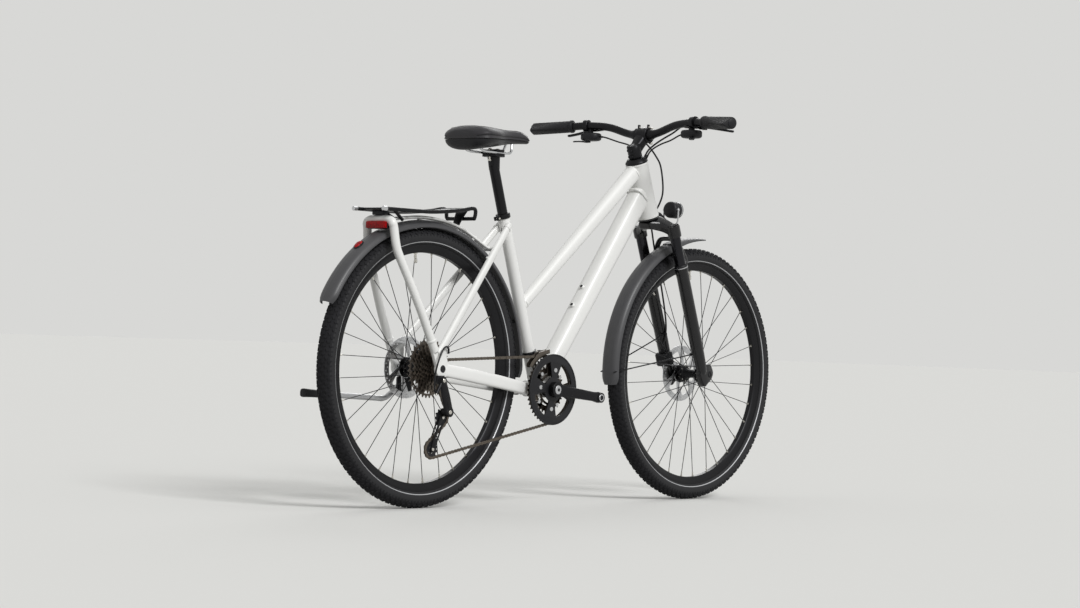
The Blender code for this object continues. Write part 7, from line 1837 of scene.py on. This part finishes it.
def make_front_changer():
    """Clamp band with its bolt and arm body on the seat tube; the cage is two pressed plates and bridges."""
    up = 0.0985
    ring = turned([(0.0163, -0.007), (0.02, -0.007), (0.0205, -0.0064), (0.0205, 0.0064), (0.02, 0.007),
                   (0.0163, 0.007)], seat(up), SEAT_UP, 56, closed=True)
    middle = seat(up - 0.001, 0.008, -0.025)
    middle[2] = BRACKET[2] + 0.091
    parts = [ring, block(middle, (0.03, 0.012, 0.018), power=5),
             rod(seat(up, 0.024, 0.006), seat(up, 0.024, -0.01), 0.0036, 24, look=1, chamfer=0.0006),
             block(seat(up, 0.0225, 0.0), (0.008, 0.012, 0.012), SEAT_AHEAD, SEAT_UP, 5, 0),
             rod(middle + np.array([-0.006, -0.004, 0.0]), middle + np.array([-0.006, -0.0078, 0.0]),
                 0.0034, 20, look=1, chamfer=0.0005), rod(middle + np.array([0.008, -0.004, 0.002]),
                                                          middle + np.array([0.008, -0.0076, 0.002]),
                                                          0.0028, 20, look=1, chamfer=0.0005)]
    put("changer_front", parts, looks("anodised", "nickel"), "frame", ("front_derailleur",),
        40)

    radius = pitch_radius(44) + 0.0075
    a = np.radians(np.linspace(97, 144, 19))
    outline = np.vstack([np.stack([radius * np.cos(a), radius * np.sin(a)], -1),
                         smooth_path([(-0.0905, 0.06, 0), (-0.0878, 0.068, 0), (-0.079, 0.0775, 0),
                                      (-0.057, 0.0958, 0), (-0.035, 0.1025, 0), (-0.013, 0.107, 0)],
                                     25)[:, :2]])
    parts = [sheet([outline], 0.0012, BRACKET + LEFT * (s - RING_SIDE), -LEFT, AHEAD,
                   0.0003) for s in (-0.0068, 0.0062)]
    side = -RING_SIDE - 0.0003
    parts.append(block(BRACKET + np.array([-0.036, side, 0.0997]), (0.024, 0.013, 0.002), AHEAD,
                       np.array([-0.27, 0, 1.0]), 8))
    parts.append(block(BRACKET + np.array([-0.086, side, 0.0626]), (0.004, 0.013, 0.002), power=8))
    parts.append(block(np.array([middle[0], -RING_SIDE + 0.0142, BRACKET[2] + 0.1023]),
                       (0.014, 0.018, 0.004), power=6, look=1))
    put("changer_cage", parts, looks("cog", "anodised"), "front_changer_cage",
        ("front_derailleur_cage",), 30)


def capsule(centres, half, count=12):
    """The outline round two circles of one radius, in x and z from the first centre."""
    start, end = centres
    lean = math.atan2(end[2] - start[2], end[0] - start[0])
    a = lean + np.linspace(math.pi / 2, 3 * math.pi / 2, count)
    first = np.stack([half * np.cos(a), half * np.sin(a)], -1)
    b = lean + np.linspace(-math.pi / 2, math.pi / 2, count)
    last = np.stack([end[0] - start[0] + half * np.cos(b), end[2] - start[2] + half * np.sin(b)], -1)
    return first, last


def make_rear_changer():
    """Hanger knuckle and links, the moving arm, two cage plates with bolts, and both toothed pulleys."""
    outer = -(0.071 + 0.01)
    side = outer - 0.0065
    pivot = np.array([CAGE_PIVOT[0], 0.0, CAGE_PIVOT[2]])
    way = unit(np.array([pivot[0] - HANGER[0], 0.0, pivot[2] - HANGER[2]]))
    reach = math.hypot(pivot[0] - HANGER[0], pivot[2] - HANGER[2])
    upper = np.array([HANGER[0], side, HANGER[2]])
    halfway = upper + way * reach * 0.5
    t = np.linspace(0, 1, 9)[:, None]
    knuckle = np.array([HANGER[0], outer - 0.0003, HANGER[2]])
    frames = (np.tile(LEFT, (9, 1)), np.tile(unit(np.cross(way, LEFT)), (9, 1)))
    parts = [turned([(0.0003, 0.0), (0.0092, 0.0), (0.01, 0.0008), (0.01, 0.0112), (0.0092, 0.0122),
                     (0.0003, 0.0122)], knuckle, -LEFT, 44),
             turned([(0.0003, 0.014), (0.004, 0.014), (0.005, 0.0132), (0.0052, 0.0118), (0.0003, 0.0118)],
                    knuckle, -LEFT, 28, look=1), sweep(upper + (halfway - upper) * t, 0.0055,
                                                       np.linspace(0.0105, 0.0135, 9), 32, 3.0,
                                                       frames=frames, dome=0.001),
             rod(np.array([HANGER[0] - 0.003, side, HANGER[2] - 0.004]),
                 np.array([HANGER[0] - 0.021, side, HANGER[2] - 0.034]), 0.0045, 28, chamfer=0.0006),
             rod(np.array([HANGER[0] - 0.019, side, HANGER[2] - 0.0307]),
                 np.array([HANGER[0] - 0.0222, side, HANGER[2] - 0.036]), 0.0034, 24, look=1,
                 chamfer=0.0006)]
    put("changer_mount", parts, looks("anodised", "nickel"), "frame",
        ("rear_derailleur_mount",), 40)

    start = halfway + way * 0.0003
    lower = np.array([pivot[0], side, pivot[2]])
    plate_out = -(COG_SIDE + 0.0068)
    groove = lower * 0.5 + start * 0.5 - LEFT * 0.0052
    parts = [sweep(start + (lower - start) * t, 0.0055, np.linspace(0.0135, 0.013, 9), 32, 3.0,
                   frames=frames, dome=0.001), turned([(0.0003, 0.0), (0.0118, 0.0), (0.0125, 0.0008),
                                                       (0.0125, abs(side - 0.0055 - plate_out) - 0.0011),
                                                       (0.0115, abs(side - 0.0055 - plate_out) - 0.0003),
                                                       (0.0003, abs(side - 0.0055 - plate_out) - 0.0003)],
                                                      np.array([pivot[0], plate_out - 0.0003, pivot[2]]),
                                                      -LEFT, 48),
             turned([(0.0003, 0.0011), (0.0046, 0.0011), (0.0056, 0.0002), (0.0058, -0.001),
                     (0.0003, -0.001)], lower - LEFT * 0.0055, -LEFT, 28, look=1),
             block(groove, (0.0105, 0.002, 0.024), np.cross(LEFT, way), way, 5, 0)]
    put("changer_arm", parts, looks("anodised", "nickel"), "rear_changer_arm",
        ("rear_derailleur_arm",), 40)

    first, last = capsule((GUIDE, TENSION), 0.0074)
    lean = math.atan2(TENSION[2] - GUIDE[2], TENSION[0] - GUIDE[0])
    a = lean + np.linspace(math.pi / 2, 3 * math.pi / 2, 15)
    head = np.stack([CAGE_PIVOT[0] - GUIDE[0] + 0.01 * np.cos(a),
                     CAGE_PIVOT[2] - GUIDE[2] + 0.01 * np.sin(a)], -1)
    middle = np.array([TENSION[0] - GUIDE[0], TENSION[2] - GUIDE[2]])
    slot_a, slot_b = capsule((np.zeros(3), (TENSION - GUIDE) * 0.36), 0.003, 8)
    slot = np.vstack([slot_a, slot_b]) + middle * 0.28
    parts = [sheet([np.vstack([head, last]), slot], 0.0016, GUIDE + LEFT * (-0.006 - COG_SIDE), -LEFT,
                   AHEAD, 0.0003), sheet([np.vstack([first, last]), slot], 0.0016,
                                         GUIDE + LEFT * (0.006 - COG_SIDE), -LEFT, AHEAD, 0.0003)]
    for centre in (GUIDE, TENSION):
        parts.append(rod(centre + LEFT * (-0.0064 - COG_SIDE), centre + LEFT * (0.0064 - COG_SIDE), 0.003,
                         24, look=1))
        parts.append(rod(centre + LEFT * (-0.0064 - COG_SIDE), centre + LEFT * (-0.008 - COG_SIDE), 0.004,
                         24, look=1, chamfer=0.0005))
    put("changer_plates", parts, looks("anodised", "nickel"), "rear_changer_cage",
        ("rear_derailleur_cage",), 30)

    pins, _ = chain_pins()
    for name, centre, body, node in (("pulley_high", GUIDE, "upper_pulley", "guide_pulley"),
                                     ("pulley_low", TENSION, "lower_pulley", "tension_pulley")):
        phase = phase_at(centre, pins, pitch_radius(11))
        holes = [arc_points(0.0018, 12) + middle for middle in arc_points(0.0105, 5)]
        wheel = sheet([toothed(11, phase, 0.001), arc_points(0.0035, 24)] + holes, 0.002,
                      centre - LEFT * COG_SIDE, LEFT, AHEAD, 0.0)
        hub = turned([(0.0035, -0.002), (0.0078, -0.002), (0.0086, -0.0012), (0.0086, 0.0012),
                      (0.0078, 0.002), (0.0035, 0.002)], centre - LEFT * COG_SIDE, LEFT, 32, closed=True,
                     look=0)
        put(name, [wheel, hub], looks("plastic"), body, (node,), 30)


def make_stand():
    """Kickstand: bolted bracket below the left stay, a bent silver leg on its boss and a rubber foot."""
    pivot = from_rear(0.006, 0.0905, -0.058)
    knee = from_rear(-0.029, 0.0935, -0.082)
    foot = from_rear(-0.3, 0.1, -0.07)
    to_foot = unit(foot - pivot)
    axis = np.array([-0.051, -0.951, -0.305])
    axis = unit(axis - to_foot * np.dot(to_foot, axis))
    base = from_rear(0.02, DROPOUT_SIDE - 0.0035, -0.043)
    parts = [block(base, (0.056, 0.01, 0.04), power=6),
             rod(pivot + axis * 0.022, pivot + axis * 0.0063, 0.0125, 40, chamfer=0.0008)]
    for x in (-0.004, 0.03):
        parts.append(rod(base + np.array([x - 0.013, 0.0048, 0.01]),
                         base + np.array([x - 0.013, 0.0092, 0.01]), 0.0046, 28, look=1, chamfer=0.0008))
    put("stand_bracket", parts, looks("anodised", "nickel"), "frame", ("kickstand_bracket",),
        40)
    near = knee * 0.9 + foot * 0.1
    path = smooth_path([pivot, pivot * 0.25 + knee * 0.75, knee * 0.6 + near * 0.4, near, (near + foot) / 2,
                        foot], 61)
    way = unit(foot - knee)
    parts = [rod(pivot + axis * 0.006, pivot - axis * 0.006, 0.0115, 48, look=0, chamfer=0.0008),
             sweep(path, 0.0075, 0.0075, 28, frames=rolling(path), look=0, dome=0.003),
             rod(pivot - axis * 0.0058, pivot - axis * 0.0084, 0.0048, 28, look=1, chamfer=0.0006)]
    t = np.linspace(0, 1, 21)
    line = foot - way * 0.04 + way * (0.052 * t)[:, None]
    ridges = 0.0004 * (np.cos(t * 60) > 0)
    shoe = sweep(line, 0.0093 + 0.0026 * t ** 2 + ridges, 0.0093 + 0.0014 * t ** 2 + ridges, 32, 3.0,
                 hint=UP, look=2, dome=0.003)
    put("stand_leg", parts + [shoe], looks("satin", "nickel", "grip"), "kickstand",
        ("kickstand_leg",), 40)


# Lines

def line_shape(knots, radius, count=161, ferrules=(0.012, 0.012)):
    """A sheathed line along smooth knots, with a metal ferrule that long over each end."""
    path = smooth_path(knots, count)
    parts = [sweep(path, radius, radius, 16, frames=rolling(path), dome=0.0006)]
    for end, length in ((0, ferrules[0]), (-1, ferrules[1])):
        if not length:
            continue
        order = path if end == 0 else path[::-1]
        run = np.cumsum(np.linalg.norm(np.diff(order, axis=0), axis=1))
        stop = max(4, int(np.searchsorted(run, length)) + 2)
        parts.append(sweep(order[:stop], radius + 0.0005, radius + 0.0005, 20, frames=rolling(order[:stop]),
                           look=1, dome=0.0004))
    return parts


def make_lines():
    """Shift housings and brake hoses from the hands to the head, the front caliper and the rear changer."""
    def clamp(side):
        """The bar's point where one brake lever is clamped."""
        return bar_points(side * (BAR_HALF - GRIP_LENGTH - CLAMP_IN))

    for side, hand in ((-1, "right"), (1, "left")):
        at = clamp(side)
        knots = [at + np.array([0.008, -side * 0.0405, -0.031]),
                 at + np.array([0.013, -side * 0.06, -0.0335]), over_head(0.0292, side * 0.095, 0.0634),
                 over_head(0.0332, side * 0.06, 0.0544), over_head(0.0312, side * 0.036, 0.0434),
                 over_head(0.0262, side * 0.024, 0.0314), steer(-0.004, 0.0225, side * 0.0165)]
        put("housing_" + hand, line_shape(knots, 0.00225), looks("hose", "anodised"), "steering_assembly",
            ("shift_housing_" + hand,), 40)
    at = clamp(-1)
    knots = [at + np.array([0.0245, 0.05, -0.005]), at + np.array([0.029, 0.068, -0.009]),
             over_head(0.0432, -0.09, 0.0844), over_head(0.0442, -0.058, 0.0704),
             over_head(0.0392, -0.032, 0.0544), over_head(0.0302, -0.015, 0.0364),
             steer(-0.005, 0.025, -0.008)]
    put("hose_rear", line_shape(knots, 0.0025), looks("hose", "anodised"), "steering_assembly",
        ("rear_brake_hose",), 40)
    at = clamp(1)
    knots = [at + np.array([0.0245, -0.05, -0.004]), at + np.array([0.03, -0.07, -0.002]),
             over_head(0.0502, 0.075, 0.0924), over_head(0.0632, 0.04, 0.0734),
             over_head(0.0732, 0.014, 0.0484), over_head(0.0877, 0.002, 0.0244),
             over_head(0.1042, -0.001, 0.0014), over_head(0.1157, -0.001, -0.0346),
             over_head(0.1212, 0.0, -0.0676), over_head(0.1208, 0.003, -0.0896),
             over_head(0.1182, 0.011, -0.1116), over_head(0.1122, 0.021, -0.1336),
             steer(0.185, 0.05, 0.033), steer(0.225, 0.048, 0.036), steer(0.27, 0.046, 0.0375),
             steer(0.315, 0.0475, 0.0395), steer(0.4, 0.045, 0.0405), steer(0.48, 0.036, 0.0405),
             steer(0.52, 0.022, 0.0408), steer(0.543, 0.008, 0.044), steer(0.566, 0.0035, 0.05)]
    piece = put("hose_front", line_shape(knots, 0.0025, 321), looks("hose", "anodised"), None,
                ("front_brake_hose",), 40)
    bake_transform(piece)
    outer = -(0.071 + 0.01)
    knots = [from_rear(0.016, outer - 0.003, 0.04), from_rear(0.008, outer - 0.008, 0.056),
             from_rear(-0.012, outer - 0.012, 0.052), from_rear(-0.03, outer - 0.013, 0.022),
             from_rear(-0.04, outer - 0.012, -0.014), from_rear(-0.038, outer - 0.009, -0.048),
             from_rear(-0.0285, outer - 0.0065, -0.062)]
    put("housing_rear", line_shape(knots, 0.00225), looks("hose", "anodised"), "frame",
        ("rear_shift_housing",), 40)
    under = [BRACKET + np.array([0.02, -0.004, -0.0225]), BRACKET + np.array([0.004, -0.005, -0.0262]),
             BRACKET + np.array([-0.012, -0.006, -0.0248]), BRACKET + np.array([-0.03, -0.01, -0.017])]
    put("cable_under", line_shape(under, 0.0011, 61, (0.004, 0.004)), looks("nickel", "anodised"), "frame",
        (), 40)


# Stage

SKY = (0.18, 0.72)   # strength at the horizon and at the zenith
LAMPS = (
    ("key", (-0.15, -0.8, 0.62), 2.2, 22.0),
    ("rim", (0.7, 0.5, 0.5), 0.6, 30.0),
)


def seen_or_mirrored(owner):
    """1 for a ray from the camera, a mirror or a clear lens, 0 for one that gathers soft light."""
    path = add(owner, "ShaderNodeLightPath", {})
    mirror = add(owner, "ShaderNodeMath", {0: (path, "Is Glossy Ray"), 1: (path, "Is Transmission Ray")},
                 operation="MAXIMUM")
    return add(owner, "ShaderNodeMath", {0: (path, "Is Camera Ray"), 1: (mirror, "Value")},
               operation="MAXIMUM")


def make_stage():
    """A pale floor that the world's pale ground meets, a broad sun from the front left, a rim, and the view.

    Rays that see or mirror the world meet its plain pale ground. All others meet a soft sky, whose strength
    grows from the horizon to the zenith, so that forms keep a lit and a shaded side.
    """
    half = 60.0
    mesh = bpy.data.meshes.new("floor")
    mesh.from_pydata([(-half, -half, 0), (half, -half, 0), (half, half, 0), (-half, half, 0)], [],
                     [(0, 1, 2, 3)])
    material, shader = new_look("studio_floor", linear("D8D8D6"), 0.9, Specular_IOR_Level=0.0)
    dull = add(material, "ShaderNodeBsdfDiffuse", {"Color": (*linear("9C9C9A"), 1.0)})
    both = add(material, "ShaderNodeMixShader", {0: (seen_or_mirrored(material), "Value"),
                                                 1: (dull, "BSDF"), 2: (shader, "BSDF")})
    material.node_tree.links.new(both.outputs[0],
                                 material.node_tree.nodes["Material Output"].inputs["Surface"])
    mesh.materials.append(material)
    floor = bpy.data.objects.new("floor", mesh)
    bpy.context.scene.collection.objects.link(floor)

    world = bpy.data.worlds.new("studio")
    world.use_nodes = True
    tree = world.node_tree
    sky = tree.nodes["Background"]
    sky.inputs["Color"].default_value = (*linear("F6F6F4"), 1.0)
    place = add(world, "ShaderNodeTexCoord", {})
    height = add(world, "ShaderNodeSeparateXYZ", {"Vector": (place, "Generated")})
    level = add(world, "ShaderNodeMapRange", {"Value": (height, "Z"), "From Min": -0.05, "From Max": 1.0,
                                              "To Min": SKY[0], "To Max": SKY[1]})
    tree.links.new(level.outputs["Result"], sky.inputs["Strength"])
    ground = add(world, "ShaderNodeBackground", {"Color": (*linear("D8D8D6"), 1.0), "Strength": 1.0})
    mix = add(world, "ShaderNodeMixShader", {0: (seen_or_mirrored(world), "Value"), 1: (sky, "Background"),
                                             2: (ground, "Background")})
    tree.links.new(mix.outputs[0], tree.nodes["World Output"].inputs["Surface"])
    bpy.context.scene.world = world

    for name, toward, strength, angle in LAMPS:
        lamp = bpy.data.lights.new(name, "SUN")
        lamp.energy = strength
        lamp.angle = math.radians(angle)
        z = unit(np.array(toward))
        x = unit(np.cross(UP, z))
        thing = bpy.data.objects.new(name, lamp)
        thing.rotation_euler = mathutils.Matrix((x, np.cross(z, x), z)).transposed().to_euler()
        bpy.context.scene.collection.objects.link(thing)

    right = np.array([0.65592, -0.75403, 0.03483])
    forward = np.array([0.75416, 0.65658, 0.01198])
    up = np.array([-0.0319, 0.01841, 0.99932])
    lens = bpy.data.cameras.new("view")
    lens.lens = 91.8277
    lens.sensor_width = 36.0
    lens.sensor_fit = "HORIZONTAL"
    camera = bpy.data.objects.new("view", lens)
    camera.location = (-5.67151, -4.84748, 0.44722)
    camera.rotation_euler = mathutils.Matrix((right, up, -forward)).transposed().to_euler()
    bpy.context.scene.collection.objects.link(camera)
    bpy.context.scene.camera = camera
    bpy.context.scene.view_settings.view_transform = "Standard"


# Panel and operators

class BicycleSizes(bpy.types.PropertyGroup):
    """Sizes of the surface detail."""

    tread: bpy.props.FloatProperty(name="Tread depth", description="How far the tyre's blocks stand out",
                                   default=0.0018, min=0.0005, max=0.003, unit="LENGTH", precision=4)
    stitch: bpy.props.FloatProperty(name="Stitch pitch",
                                    description="Distance from one saddle stitch to the next",
                                    default=0.0042, min=0.002, max=0.01, unit="LENGTH", precision=4)
    seam: bpy.props.FloatProperty(name="Seam depth", description="How deep the saddle's seams draw in",
                                  default=0.0011, min=0.0, max=0.003, unit="LENGTH", precision=4)


class BicycleColours(bpy.types.PropertyGroup):
    """Colours of the paint, metals, rubber and plastics."""


for key, (_, code) in RECIPES.items():
    BicycleColours.__annotations__[key] = bpy.props.FloatVectorProperty(
        name=key.capitalize(), description="Colour of the " + key + " surfaces", subtype="COLOR", size=3,
        min=0.0, max=1.0, default=linear(code))


class BICYCLE_OT_wheels(bpy.types.Operator):
    """Tyres, rims, spokes, hubs and rotors"""

    bl_idname = "bicycle.wheels"
    bl_label = "Wheels"

    def execute(self, context):
        make_tyres(context.scene.bicycle_sizes)
        make_rims()
        make_hubs()
        make_rotors()
        return {"FINISHED"}


class BICYCLE_OT_frame(bpy.types.Operator):
    """Frame tubes, stays and dropouts"""

    bl_idname = "bicycle.frame"
    bl_label = "Frame"

    def execute(self, context):
        main_tubes()
        rear_triangle()
        return {"FINISHED"}


class BICYCLE_OT_carrier(bpy.types.Operator):
    """Carrier hoop, spine, deck and rear lamp"""

    bl_idname = "bicycle.carrier"
    bl_label = "Carrier"

    def execute(self, context):
        make_hoop()
        make_deck()
        make_rear_lamp()
        return {"FINISHED"}


class BICYCLE_OT_guards(bpy.types.Operator):
    """Mudguards with stays and reflector"""

    bl_idname = "bicycle.guards"
    bl_label = "Mudguards"

    def execute(self, context):
        make_guards()
        return {"FINISHED"}


class BICYCLE_OT_fork(bpy.types.Operator):
    """Suspension fork, brake calipers and head lamp"""

    bl_idname = "bicycle.fork"
    bl_label = "Fork"

    def execute(self, context):
        make_fork_top()
        make_fork_legs()
        make_calipers()
        make_head_lamp()
        return {"FINISHED"}


class BICYCLE_OT_cockpit(bpy.types.Operator):
    """Handlebar, stem, grips, brake levers and shifters"""

    bl_idname = "bicycle.cockpit"
    bl_label = "Cockpit"

    def execute(self, context):
        make_bar()
        make_controls()
        return {"FINISHED"}


class BICYCLE_OT_seat(bpy.types.Operator):
    """Seat collar, seatpost and sewn saddle"""

    bl_idname = "bicycle.seat"
    bl_label = "Seat"

    def execute(self, context):
        make_seat(context.scene.bicycle_sizes)
        return {"FINISHED"}


class BICYCLE_OT_drive(bpy.types.Operator):
    """Cranks, chainrings, cassette and chain"""

    bl_idname = "bicycle.drive"
    bl_label = "Drive"

    def execute(self, context):
        make_cranks()
        make_cassette()
        make_chain()
        return {"FINISHED"}


class BICYCLE_OT_changers(bpy.types.Operator):
    """Front and rear gear changers"""

    bl_idname = "bicycle.changers"
    bl_label = "Gear changers"

    def execute(self, context):
        make_front_changer()
        make_rear_changer()
        return {"FINISHED"}


class BICYCLE_OT_stand(bpy.types.Operator):
    """Kickstand and its bracket"""

    bl_idname = "bicycle.stand"
    bl_label = "Kickstand"

    def execute(self, context):
        make_stand()
        return {"FINISHED"}


class BICYCLE_OT_lines(bpy.types.Operator):
    """Brake hoses and shift housings"""

    bl_idname = "bicycle.lines"
    bl_label = "Hoses and housings"

    def execute(self, context):
        make_lines()
        return {"FINISHED"}


class BICYCLE_OT_stage(bpy.types.Operator):
    """Floor, lights and camera"""

    bl_idname = "bicycle.stage"
    bl_label = "Stage"

    def execute(self, context):
        make_stage()
        return {"FINISHED"}


STEPS = (BICYCLE_OT_wheels, BICYCLE_OT_frame, BICYCLE_OT_carrier, BICYCLE_OT_guards, BICYCLE_OT_fork,
         BICYCLE_OT_cockpit, BICYCLE_OT_seat, BICYCLE_OT_drive, BICYCLE_OT_changers, BICYCLE_OT_stand,
         BICYCLE_OT_lines, BICYCLE_OT_stage)


class BICYCLE_PT_panel(bpy.types.Panel):
    """Sizes, colours and one button for each group of pieces"""

    bl_idname = "BICYCLE_PT_panel"
    bl_label = "Trekking Bicycle"
    bl_space_type = "VIEW_3D"
    bl_region_type = "UI"
    bl_category = "Bicycle"

    def draw(self, context):
        for step in STEPS:
            self.layout.operator(step.bl_idname)
        for group in (context.scene.bicycle_sizes, context.scene.bicycle_colours):
            box = self.layout.box()
            for key in group.__annotations__:
                box.prop(group, key)


def register():
    """Registers the groups, operators and panel."""
    for kind in (BicycleSizes, BicycleColours, *STEPS, BICYCLE_PT_panel):
        bpy.utils.register_class(kind)
    bpy.types.Scene.bicycle_sizes = bpy.props.PointerProperty(type=BicycleSizes)
    bpy.types.Scene.bicycle_colours = bpy.props.PointerProperty(type=BicycleColours)


def unregister():
    """Takes everything that register added away again."""
    del bpy.types.Scene.bicycle_colours
    del bpy.types.Scene.bicycle_sizes
    for kind in reversed((BicycleSizes, BicycleColours, *STEPS, BICYCLE_PT_panel)):
        bpy.utils.unregister_class(kind)


def main():
    """Runs every operator in order."""
    register()
    for step in STEPS:
        group, name = step.bl_idname.split(".")
        if getattr(getattr(bpy.ops, group), name)() != {"FINISHED"}:
            raise RuntimeError(step.bl_label + " was not finished")


if __name__ == "__main__":
    main()
